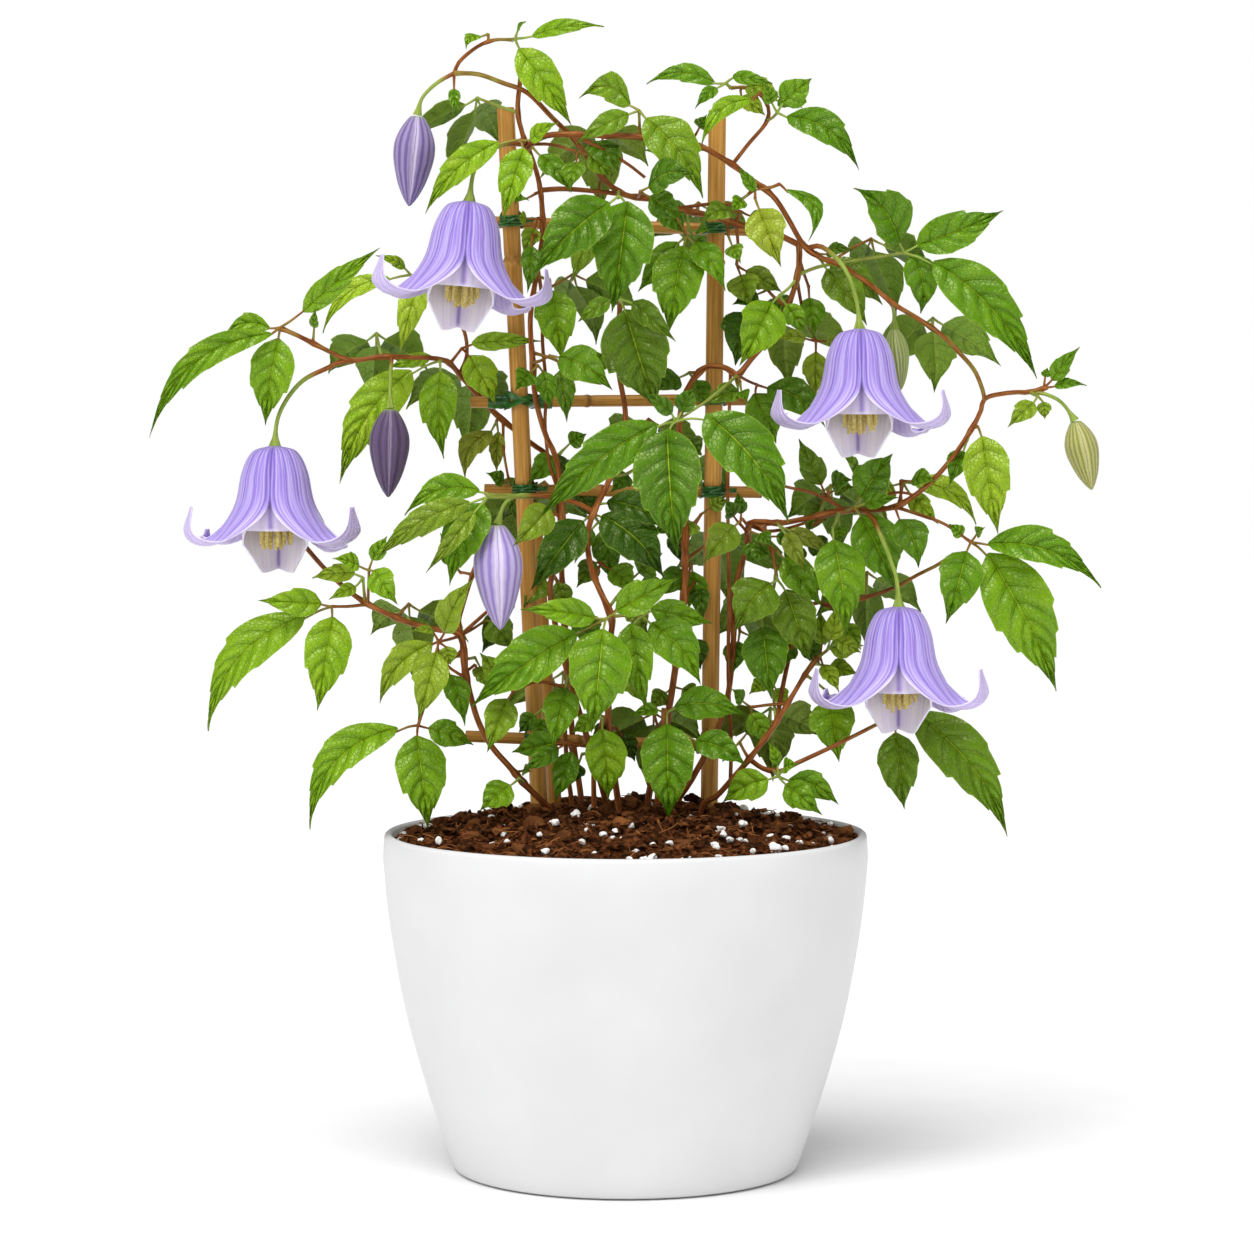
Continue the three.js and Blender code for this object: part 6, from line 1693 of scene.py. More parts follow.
def drawn_leaf(leaf: Leaf, track: Array, index: int, attempt: int) -> PlacedLeaf:
    """Places a leaf of the layout.

    Args:
        leaf: The leaf.
        track: The stem that it grows from.
        index: Its number, which seeds its play.
        attempt: Which pair of leans its blades take.

    Returns:
        The leaf, with its blades in order round the fork.
    """
    roll = Dice(100 + index + 1000 * attempt)
    start = nearest(track, *leaf.start)
    fork_x, fork_z, depth = leaf.fork
    count = len(leaf.via) + 1
    depths = [start[1] + (depth - start[1]) * (i + 1) / count for i in range(len(leaf.via))]
    via = [seen(x, z, y) for (x, z), y in zip(leaf.via, depths)]

    def bearing(b: Spot) -> float:
        """Returns the bearing of a blade's middle from the fork."""
        return math.atan2(0.5 * (b[0] + b[2]) - fork_x, 0.5 * (b[1] + b[3]) - fork_z)

    broad = sorted((b for b in leaf.blades if b[4] >= LEAST_WIDTH), key=bearing)
    slight = [b for b in leaf.blades if b[4] < LEAST_WIDTH]
    blades = []
    for i, b in enumerate(broad + slight):
        lean = LEANS[attempt][i % 2] + LEAN_PLAY * (roll() - 0.5)
        step = -STEP if lean < 0 else STEP
        bx, bz, tx, tz = b[:4]
        gap = math.hypot(bx - fork_x, bz - fork_z)
        t = max(0.0, SHORTEST_FOOT - gap) / math.hypot(tx - bx, tz - bz)
        base = seen(bx + t * (tx - bx), bz + t * (tz - bz), depth + step)
        blades.append(Blade(base, seen(tx, tz, depth + lean), b[4], b[5] if len(b) > 5 else 0.0))
    return PlacedLeaf(start, seen(*leaf.fork), via, FRONT, blades)


def ruled_leaf(leaf: BackLeaf, track: Array, index: int, attempt: int) -> PlacedLeaf:
    """Places a leaf of the sides or the back by rule, as drawn_leaf does one of the layout.

    Args:
        leaf: The leaf.
        track: The stem that it grows from.
        index: Its number, which seeds its play.
        attempt: Which pair of leans its blades take.

    Returns:
        The leaf, with its middle blade between the other two.
    """
    roll = Dice(900 + index + 1000 * attempt)
    start = nearest(track, *leaf.start)
    angle = math.radians(leaf.bearing + 24 * (roll() - 0.5))
    out = np.array([math.cos(angle), math.sin(angle), 0.0])
    fork = start + out * leaf.reach + UP * (4 + 8 * roll())
    facing = unit(out + 0.55 * UP)
    beside = np.array([-out[1], out[0], 0.0])
    blades = []
    for side in (-1, 0, 1):
        length = 30 + 12 * roll() - 5 * abs(side)
        drop = 0.62 + 0.25 * roll()
        way = unit(beside * side * 0.9 + out * 0.42 - UP * drop)
        near = abs(side)
        base = fork + way * (SHORTEST_FOOT + 1) + facing * (STEP if near else -STEP)
        tip = fork + way * length - facing * 0.6 * LEANS[attempt][1 - near]
        width = 15 + 5 * roll()
        blades.append(Blade(base, tip, width, 0.1 * (roll() - 0.5)))
    return PlacedLeaf(start, fork, [], facing, blades)


class Solids:
    """The corners of one vine's solid, which say how far each of its leaves stands forward or back."""

    def __init__(self, node: str) -> None:
        """Takes the corners of a CAD node.

        Args:
            node: Its name.
        """
        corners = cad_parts[node].data.vertices
        self.tree = KDTree(len(corners))
        for i, corner in enumerate(corners):
            self.tree.insert(Vector(corner.co) / MM, i)
        self.tree.balance()

    def misfit(self, leaf: PlacedLeaf) -> float:
        """Returns how far a leaf's broad tips are from the nearest corners, at most 2 mm each."""
        tips = [b.tip for b in leaf.blades if b.width >= LEAST_WIDTH]
        return sum(min(2.0, self.tree.find(Vector(tip))[2]) for tip in tips)

    def fitted(self, place: Callable[[int], PlacedLeaf]) -> tuple[PlacedLeaf, int]:
        """Finds the leans and the depth at which a leaf lies in the solid.

        Args:
            place: Places the leaf with one of the pairs of leans.

        Returns:
            The leaf and the number of its pair of leans.
        """
        best = (math.inf, 0, 0.0)
        for attempt in range(len(LEANS)):
            plain = place(attempt)
            for dy in SHIFTS:
                best = min(best, (self.misfit(plain.moved(dy)), attempt, dy), key=lambda found: found[0])
        return place(best[1]).moved(best[2]), best[1]


@dataclass
class BladeMaker:
    """Bends the blade patterns into toothed, creased, folded leaf blades."""

    thick: float = 0.45
    slim: float = 0.95
    puff: float = 0.95
    tooth: float = 0.2
    hook: float = 1.3
    slant: float = 0.25
    crease: float = 0.1
    vein_gap: float = 6.5
    patterns: dict[int, Pattern] = field(default_factory=dict)

    def pattern(self, veins: int) -> Pattern:
        """Returns the sheet with four rows for each side vein, modelled when first asked for."""
        if veins not in self.patterns:
            self.patterns[veins] = Pattern.sheet(8, 4 * veins)
        return self.patterns[veins]

    def add(self, heap: Heap, blade: Blade, tint: Spot, roll: Dice) -> None:
        """Adds one blade.

        Args:
            heap: Where it goes.
            blade: The blade.
            tint: How light, how yellow and how withered it is.
            roll: Draws its waves.
        """
        length = blade.length
        veins = int(np.clip(round(length / self.vein_gap), 4, 8))
        pattern = self.pattern(veins)
        side_of = np.sign(pattern.u)
        out = np.interp(np.abs(pattern.u), [0, 0.25, 0.5, 0.75, 1], [0, 0.14, 0.45, 0.78, 1])
        v = pattern.v
        row = np.rint(v * 4 * veins).astype(int)
        phase = row % 4
        margin = ease(out, 0.7, 1.0)
        play = 0.75 + 0.35 * np.sin(2.4 * (row // 4) + 1.7 * side_of + roll.between(0, math.tau))
        toothed = margin * ease(v, 0.12, 0.34) * ease(1 - v, 0.04, 0.2) * play
        t = v + self.slant * out**1.4 * np.sin(math.pi * v)
        t = np.clip(t + toothed * (phase == 0) * self.hook / (4 * veins), 0, 1)
        saw = np.choose(phase, [0.55, -0.6, -0.3, 0.05])
        half = 0.5 * self.slim * blade.width * outline(t) * (1 + self.tooth * toothed * saw)
        half = half + 0.45 * (1 - v) ** 10 + 0.1
        swell = 4 * t * (1 - t)
        size = blade.width / 20
        between = np.choose(phase, [0.0, 0.72, 1.0, 0.72])
        hump = np.sin(math.pi * out**0.8)
        relief = self.puff * min(1.25, size) * (between * hump - 0.8 * (out < 0.01))
        big, small, start = roll.between(0.3, 1.1), roll.between(0.15, 0.5), roll.between(0, math.tau)
        slow = big * np.sin(math.tau * 1.3 * t + start + side_of)
        fast = small * np.sin(math.tau * 3.1 * t + 2 * start - side_of)
        wave = size * out**2 * swell * (slow + fast)
        fold = (blade.fold + self.crease) * half * out
        droop = 0.1 * length * ease(t, 0.66, 1.0) * (t - 0.66)
        lift = blade.arch * length * swell + fold + (relief + wave) * ease(v, 0, 0.1) - droop
        lift = lift + pattern.side * 0.5 * self.thick * (0.55 + 0.45 * (1 - out))
        rib = np.exp(-((out / 0.1) ** 2)) * (1 - 0.75 * v)
        lift = lift - 0.6 * rib * (pattern.side < 0)
        sideways = blade.bow * length * swell + side_of * out * half
        points = blade.base + np.outer(t * length, blade.along)
        points = points + np.outer(sideways, np.cross(blade.along, blade.up)) + np.outer(lift, blade.up)
        tints = np.empty((len(points), 4))
        tints[:, :3] = tint
        tints[:, 3] = pattern.side < 0
        heap.add(pattern, points, pattern.corner_uv * np.array([1.0, veins]), tints, 0)


@dataclass
class LeafyVine:
    """One vine: its stems out of the soil, its stalks and its leaves, as one piece."""

    name: str
    plan: VinePlan
    buried: float = 22.0
    slim: float = 0.76
    stalk_radius: float = 0.62
    node_swell: float = 0.4
    blade_maker: BladeMaker = field(default_factory=BladeMaker)

    def __post_init__(self) -> None:
        """Lays the stems out."""
        self.heap = Heap()
        self.tracks: dict[str, Array] = {}
        self.joints: dict[str, list[Array]] = {key: [] for key in self.plan.stems}
        for key, stem in self.plan.stems.items():
            points = [seen(*p) for p in stem.path]
            if stem.start:
                points.insert(0, nearest(self.tracks[stem.start[0]], stem.start[1], stem.start[2]))
                self.joints[stem.start[0]].append(points[0])
            self.tracks[key] = curve(points, 12 * (len(points) - 1))

    @staticmethod
    def light_of(leaf: PlacedLeaf, roll: Dice) -> Spot:
        """Draws the tone of a leaf with painted light and shade: lighter in front and further out from the
        middle of the plant, to the sides, above and below, darker inside and behind.

        Args:
            leaf: The leaf.
            roll: Draws its play.

        Returns:
            How light, yellow and withered it is.
        """
        x, y, z = leaf.fork
        # Painted light and shade: leaves out at the edges and in front get a lighter tone, those inside and
        # behind a darker one, with some play of their own.
        outer = min(1.0, math.hypot(x, 0.7 * (z - 290)) / 150)
        front = float(ease(np.array(-y), -16.0, 30.0))
        light = 0.27 + 0.27 * outer + 0.12 * front + roll.between(-0.14, 0.14)
        yellow = max(0.0, roll.between(-0.6, 0.32))
        return (light, yellow, 0.0)

    def grow_leaves(self, entries: list[tuple[Leaf | BackLeaf, int]]) -> None:
        """Grows the leaves where their solids are, and the small ones that have none as drawn.

        Args:
            entries: Each leaf with its number.
        """
        solids = Solids(f"vine_{self.name}")
        for leaf, index in entries:
            track = self.tracks[leaf.on]
            place = drawn_leaf if isinstance(leaf, Leaf) else ruled_leaf
            if index < FIRST_LOOSE:
                placed, attempt = solids.fitted(lambda k: place(leaf, track, index, k))
            else:
                placed, attempt = place(leaf, track, index, 0), 0
            roll = Dice(500 + index + 1000 * attempt)
            for blade in placed.blades:
                blade.settle(placed.facing, roll)
            self.joints[leaf.on].append(placed.start)
            tint = LEAF_TONE_AND_LIGHT.get((leaf.blades[0][0], leaf.blades[0][1])) if isinstance(leaf, Leaf) else None
            self.grow_leaf(placed, Dice(7000 + index), tint)

    def grow_leaf(self, leaf: PlacedLeaf, roll: Dice, tint: Spot | None) -> None:
        """Adds a leaf's stalk, its short foot stalks and its blades.

        Args:
            leaf: The leaf.
            roll: Draws its play.
            tint: How light, yellow and withered it is, where that is known.
        """
        tint = tint or self.light_of(leaf, roll)
        stops = [leaf.start, *leaf.via, leaf.fork]
        if not leaf.via:
            sag = 0.06 * np.linalg.norm(leaf.fork - leaf.start)
            stops.insert(1, 0.5 * (leaf.start + leaf.fork) - UP * sag * roll.between(-0.4, 1.0))
        stalk = along_curve(stops, 3.0)
        radii = self.stalk_radius * np.linspace(1.2, 0.9, len(stalk))
        radii[0] *= 1.3
        radii[-1] *= 1.35
        red = roll.between(0.05, 0.75)
        tube(self.heap, stalk, radii, 6, (red, 0, 0, 0), 1)
        for blade in leaf.blades:
            inner = blade.base + blade.along * 0.06 * blade.length
            foot = along_curve([leaf.fork, 0.5 * (leaf.fork + blade.base) - UP * 0.2, inner], 1.6)
            tube(self.heap, foot, np.linspace(0.62, 0.4, len(foot)), 5, (red + 0.15, 0, 0, 0), 1)
            light, yellow, withered = tint
            own_tint = (light + roll.between(-0.09, 0.09), yellow, withered)
            self.blade_maker.add(self.heap, blade, own_tint, roll)

    def grow_stems(self) -> None:
        """Adds the stems, thicker at their joints, with a green flare over each bell and bud."""
        for key, stem in self.plan.stems.items():
            points = list(self.tracks[key][::12])
            if key == "main":
                points.insert(0, points[0] - UP * self.buried)
            if stem.bell:
                points[-1] = seen(*BELLS[stem.bell][0]) - UP * 1.8
            if (self.name, key) in REACHES:
                points.append(seen(*REACHES[self.name, key]))
            track = along_curve(points, 2.4)
            steps = np.linalg.norm(np.diff(track, axis=0), axis=1)
            way = np.concatenate([[0.0], np.cumsum(steps)])
            share = way / way[-1]
            radii = self.slim * stem.radius * (1.15 - 0.32 * share)
            swell = np.zeros(len(track))
            for joint in self.joints[key]:
                gap = np.linalg.norm(track - joint, axis=1)
                swell = np.maximum(swell, np.exp(-((gap / 2.0) ** 2)))
            radii = radii * (1 + self.node_swell * swell)
            young = 0.05 + 0.25 * share**2 if key == "main" else 0.1 + 0.35 * share**2
            if stem.bell or stem.bud:
                left = way[-1] - way
                green, flare, reach = (46.0, 2.3, 3.6) if stem.bell else (26.0, 1.3, 2.6)
                young = 0.2 + 0.8 * ease(green - left, 0.0, 0.6 * green)
                radii = radii * 1.1 + flare * np.exp(-((left / reach) ** 1.6))
            tints = np.zeros((len(track), 4))
            tints[:, 0] = young
            tube(self.heap, track, radii, 8, tints, 1)
        for stem in LOOSE_STEMS.get(self.name, []):
            track = along_curve([seen(*p) for p in stem.path], 2.4)
            radii = self.slim * stem.radius * np.linspace(1.1, 0.9, len(track))
            tube(self.heap, track, radii, 8, (0.1, 0, 0, 0), 1)

    def build(
        self,
        entries: list[tuple[Leaf | BackLeaf, int]],
        finishes: list[bpy.types.Material],
    ) -> bpy.types.Object:
        """Builds the vine and sets it in place of its solid.

        Args:
            entries: Its leaves with their numbers.
            finishes: Leaf and stem materials.

        Returns:
            The piece.
        """
        self.grow_leaves(entries)
        self.grow_stems()
        piece = self.heap.piece(f"leafy_vine_{self.name}", finishes)
        return dress(piece, "leaf", f"vine_{self.name}")


def dress(piece: bpy.types.Object, slot: str, *nodes: str) -> bpy.types.Object:
    """Sets a piece on the part.

    Args:
        piece: The piece.
        slot: Not used.
        *nodes: The CAD nodes that it stands for.

    Returns:
        The piece.
    """
    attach(piece, "root")
    if nodes:
        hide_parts(*nodes)
    LOG.info("%s: %d triangles", piece.name, triangles(piece))
    return piece


# ---------------------------------------------------------------- blossoms


@dataclass
class Bell:
    """An open bell: four sepals, a pale inner cup and a bunch of stamens."""

    number: int
    top: Spot
    tilt: float
    swing: float
    sepal_rows: tuple[Spot, ...] = (
        (2.2, -0.8, 45, 44.5),
        (8.4, -3.2, 45, 44.8),
        (12.6, -11, 45, 44.9),
        (15.5, -24, 44.5, 44.2),
        (22.0, -34.2, 38, 29),
        (29, -40.5, 32, 16),
        (37, -37.5, 25, 10),
        (34.3, -25.5, 17, 3.2),
    )
    cup_rows: tuple[Spot, ...] = ((4.6, -3.8), (10.4, -10), (13, -26))
    wall: float = 0.8
    columns: int = 16
    stretches: int = 44
    anthers: int = 15

    def hang(self, points: Array) -> Array:
        """Turns and moves points from the bell's own place to under its stalk.

        Args:
            points: Points with the bell's top at the origin.

        Returns:
            The points in the row frame.
        """
        a, b = math.radians(self.swing), math.radians(self.tilt)
        turn = np.array([[math.cos(a), -math.sin(a), 0], [math.sin(a), math.cos(a), 0], [0, 0, 1]])
        lean = np.array([[math.cos(b), 0, math.sin(b)], [0, 1, 0], [-math.sin(b), 0, math.cos(b)]])
        return points @ (lean @ turn).T + seen(*self.top)

    def sepals(self, finish: bpy.types.Material) -> bpy.types.Object:
        """Builds the four sepals, creased where they meet and channelled where they curl.

        Args:
            finish: Its material.

        Returns:
            The piece.
        """
        heap = Heap()
        last = self.stretches
        pattern = Pattern.sheet(self.columns, last)
        rows = curve(self.sepal_rows, last)
        row = np.rint(pattern.v * last).astype(int)
        r, z, bearing, half = rows[row].T
        s = pattern.u
        along = pattern.v
        body = ease(1 - along, 0.35, 0.6)
        roll = Dice(60 + self.number)
        for front in (1, -1):
            for left in (-1, 1):
                fold, phase = roll.between(0.5, 1.1), roll.between(0, math.tau)
                keel = 0.9 * (1 - s**2) - 1.0 * ease(np.abs(s), 0.82, 1.0)
                ribs = 0.22 * np.cos(3 * math.tau * s) * ease(along, 0.02, 0.15)
                reach = r + body * keel * ease(along, 0.0, 0.12) + ribs * (1 - 0.6 * along)
                flare = ease(along, 0.5, 0.7)
                tip = ease(along, 0.84, 1.0)
                channel = 1.9 * np.abs(s) ** 1.6 + fold * 0.5 * s * np.sin(3 * along + phase)
                lift = z + flare * (1 - 0.8 * tip) * channel
                if front < 0:
                    curled = ease(along, 0.8, 1.0)
                    reach = reach * (1 - (0.1 if left < 0 else 0.2) * flare)
                    lift = lift - (0.5 if left < 0 else 3.5) * flare - 9.0 * curled
                angle = np.radians(bearing + s * half * (1 + 0.12 * flare * (1 - tip)))
                wall = self.wall * (1 - 0.45 * np.abs(s) ** 3)
                back = unit(rows[np.minimum(row + 1, last), :2] - rows[np.maximum(row - 1, 0), :2])
                reach = reach - pattern.side * 0.5 * wall * back[:, 1]
                lift = lift + pattern.side * 0.5 * wall * back[:, 0]
                x = left * reach * np.cos(angle)
                y = -front * reach * np.sin(angle)
                points = np.stack([x, y, lift], axis=1)
                tints = np.zeros((len(points), 4))
                tints[:, 3] = pattern.side < 0
                copy = pattern if front * left > 0 else flipped(pattern)
                heap.add(copy, self.hang(points), copy.corner_uv, tints)
        piece = heap.piece(f"bell_{self.number}_lavender_sepals", [finish])
        return dress(piece, "petal", f"bell_{self.number}_sepals")

    def cup(self, finish: bpy.types.Material) -> bpy.types.Object:
        """Builds the inner cup: a short flap in front, and behind it a longer lobed bowl.

        Args:
            finish: Its material.

        Returns:
            The piece.
        """
        heap = Heap()
        rings = 26
        pattern = rod_pattern(48, rings, shell=True)
        angle = pattern.u * math.tau
        back = 0.5 + 0.5 * np.sin(angle)
        behind = np.maximum(0, np.sin(angle))
        rows = curve([*self.cup_rows, (12.7, -35)], rings)
        place = np.clip(1 - pattern.v, 0, 1) * rings
        r = np.interp(place, np.arange(rings + 1), rows[:, 0])
        z = np.interp(place, np.arange(rings + 1), rows[:, 1])
        low = ease(place / rings, 0.45, 1.0)
        drop = 17.0 * np.minimum(1, np.maximum(0, (back - 0.3) / 0.55))
        lobes = 2.4 * np.sin(2 * angle) ** 2 - 2.2 * np.abs(np.cos(angle))
        lobes = lobes - 0.9 * np.exp(-((np.cos(angle) / 0.14) ** 2))
        r = r * (1 - 0.3 * low * behind**0.7) + 0.5 * np.cos(4 * angle) * low + pattern.side * 0.35
        z = z - low * (drop + lobes * behind * (place / rings) ** 4)
        points = np.stack([r * np.cos(angle), r * np.sin(angle), z], axis=1)
        uv = pattern.corner_uv * np.array([1.0, -1.0]) + np.array([0.25, 1.0])
        heap.add(pattern, self.hang(points), uv, np.zeros(4))
        piece = heap.piece(f"bell_{self.number}_pale_cup", [finish])
        return dress(piece, "inner", f"bell_{self.number}_inner")

    def stamens(self, finish: bpy.types.Material) -> bpy.types.Object:
        """Builds the bunch of stamens round its core.

        Args:
            finish: Its material.

        Returns:
            The piece.
        """
        heap = Heap()
        roll = Dice(80 + self.number)
        core = np.array([[0, 0, -3.0], [0, 0, -14.0], [0, 0, -24.0], [0, 0, -31.0]])
        tube(heap, self.hang(core), np.array([4.0, 4.2, 2.6, 0.8]), 10)
        for i in range(self.anthers):
            a = i * 2.39996 + roll.between(-0.2, 0.2)
            out = math.sqrt((i + 0.5) / self.anthers)
            end = 0.8 + 6.6 * out + roll.between(-0.4, 0.4)
            low = -43.4 + 3.2 * out**2 + roll.between(-0.8, 1.4)
            aim = np.array([math.cos(a), math.sin(a), 0.0])
            path = [2.2 * out * aim - 10 * UP, 0.85 * end * aim - 27 * UP, end * aim + low * UP]
            track = self.hang(along_curve(path, 2.2))
            share = np.linspace(0, 1, len(track))
            radii = 0.34 + 0.62 * ease(share, 0.55, 0.7) * (1 - 0.5 * ease(share, 0.95, 1.0))
            tube(heap, track, radii, 6)
        piece = heap.piece(f"bell_{self.number}_anthers", [finish])
        return dress(piece, "stamen", f"bell_{self.number}_stamens")


def flipped(pattern: Pattern) -> Pattern:
    """Winds a pattern's faces the other way, for a mirrored copy.

    Args:
        pattern: The pattern.

    Returns:
        A second pattern with the same vertices.
    """
    copy = object.__new__(Pattern)
    copy.__dict__.update(pattern.__dict__)
    copy.faces = [face[::-1] for face in pattern.faces]
    ends = np.cumsum(pattern.sizes)
    order = np.concatenate([np.arange(e - 1, e - n - 1, -1) for n, e in zip(pattern.sizes, ends)])
    copy.corner_uv = pattern.corner_uv[order]
    copy.corners = pattern.corners[order]
    return copy


@dataclass
class Bud:
    """A closed bud: four sepals pressed together, ribbed along their length."""

    number: int
    top: Spot
    tip: Spot
    width: float
    profile: tuple[Spot, ...] = (
        (0.1, 0), (0.19, 0.02), (0.36, 0.14), (0.47, 0.27), (0.5, 0.38),
        (0.47, 0.52), (0.34, 0.74), (0.18, 0.9), (0.07, 0.975), (0.02, 1),
    )

    def build(self, finish: bpy.types.Material) -> bpy.types.Object:
        """Builds the bud.

        Args:
            finish: Its material.

        Returns:
            The piece.
        """
        heap = Heap()
        rings = 44
        pattern = rod_pattern(64, rings)
        top, tip = seen(*self.top), seen(*self.tip)
        rows = curve(self.profile, rings)
        place = pattern.v * rings
        r = np.interp(place, np.arange(rings + 1), rows[:, 0]) * self.width * pattern.side
        h = np.interp(place, np.arange(rings + 1), rows[:, 1])
        angle = pattern.u * math.tau
        bulge = ease(h, 0.02, 0.2) * ease(1 - h, 0.0, 0.15)
        seam = 1 - 0.1 * bulge * np.exp(-((np.sin(2 * angle) / 0.24) ** 2))
        ribs = 1 - 0.018 * bulge * np.cos(20 * angle)
        axis = unit(tip - top)
        across = unit(np.cross(axis, [0.0, 1.0, 0.0]))
        other = np.cross(axis, across)
        r = (r * seam * ribs)[:, None]
        points = top + np.outer(h * np.linalg.norm(tip - top), axis)
        points = points + r * (np.cos(angle)[:, None] * across + np.sin(angle)[:, None] * other)
        heap.add(pattern, points, pattern.corner_uv, np.zeros(4))
        piece = heap.piece(f"bud_{self.number}_ribbed", [finish])
        return dress(piece, "bud_green" if self.number >= 4 else "bud", f"bud_{self.number}")


# ---------------------------------------------------------------- trellis


@dataclass
class Trellis:
    """Two canes, a short stake, four rungs and the ties that hold them."""

    cane_radius: float = 3.7
    rung_radius: float = 2.5
    stake_radius: float = 3.1

    @staticmethod
    def cane_ends(name: str) -> tuple[Array, Array]:
        """Places the ends of an upright.

        Args:
            name: Its CAD node.

        Returns:
            Its foot and its head.
        """
        (foot, head), depth = (STAKE, STAKE_DEPTH) if name == "stake_back" else (CANES[name], CANE_DEPTH)
        low, top = seen(*foot, depth), seen(*head, depth)
        return top + (low - top) * (CANE_BOTTOM - top[2]) / (low[2] - top[2]), top

    def bamboo(
        self,
        name: str,
        a: Array,
        b: Array,
        radius: float,
        joints: list[float],
        finish: bpy.types.Material,
        brown: float,
    ) -> bpy.types.Object:
        """Builds one cane: a slightly crooked rod with a ridge and a groove at each joint.

        Args:
            name: The CAD node that it stands for.
            a: One end.
            b: The other end.
            radius: Its radius.
            joints: Where its joints are, as shares of its length.
            finish: Its material.
            brown: How weathered it is.

        Returns:
            The piece.
        """
        heap = Heap()
        length = float(np.linalg.norm(b - a))
        stops = {0.0, 0.25, length - 0.5, length}
        stops.update(np.linspace(1.0, length - 1.0, round(length / 9)))
        for joint in joints:
            stops.update(joint * length + step for step in (-4, -2, -1, -0.5, 0, 0.5, 1, 1.6, 2.4, 4))
        way = np.array(sorted(s for s in stops if 0 <= s <= length))
        radii = np.full(len(way), radius * 0.97)
        tints = np.zeros((len(way), 4))
        tints[:, 0] = brown
        for joint in joints:
            gap = way - joint * length
            ridge = 0.12 * np.exp(-((gap / 0.9) ** 2))
            groove = 0.06 * np.exp(-(((gap - 1.7) / 0.5) ** 2))
            radii += radius * (ridge - groove)
            tints[:, 0] += 0.6 * np.exp(-(((gap - 1.0) / 1.2) ** 2))
        radii[0] *= 0.9
        radii[-1] *= 0.92
        tints[-2:, 0] += 0.35
        track = a + np.outer(way / length, b - a)
        tube(heap, track, radii, 24, tints)
        piece = heap.piece(f"bamboo_{name}", [finish])
        return dress(piece, "bamboo", name)

    def build(self, finish: bpy.types.Material, ties: bpy.types.Material) -> None:
        """Builds the canes, the rungs and the ties.

        Args:
            finish: Material of the bamboo.
            ties: Material of the ties.
        """
        for name in ("cane_left", "cane_right", "stake_back"):
            short = name == "stake_back"
            a, b = self.cane_ends(name)
            joints = [0.62] if short else [0.34, 0.6, 0.84]
            self.bamboo(name, a, b, self.stake_radius if short else self.cane_radius, joints, finish, 0.0)
        for name, (left, right) in RUNGS.items():
            a, b = seen(*left, RUNG_DEPTH), seen(*right, RUNG_DEPTH)
            self.bamboo(name, a, b, self.rung_radius, [0.42], finish, 0.25)
        for cane in ("cane_left", "cane_right"):
            for i, (name, (left, right)) in enumerate(RUNGS.items()):
                foot, head = self.cane_ends(cane)
                a, b = seen(*left, RUNG_DEPTH), seen(*right, RUNG_DEPTH)
                height = (a + (b - a) * (head[0] - a[0]) / (b[0] - a[0]))[2]
                middle = foot + (head - foot) * (height - foot[2]) / (head[2] - foot[2])
                side = cane.split("_")[1]
                kind = TieKind.TAPE if (side, name) == ("left", "rung_2") else TieKind.WIRE
                tie = Tie(f"tie_{side}_{i + 1}", middle, kind, self.cane_radius, self.rung_radius)
                tie.build(ties, 40 + i)


class TieKind(Enum):
    """What a crossing is tied with."""

    WIRE = "coated wire"
    TAPE = "flat tape"


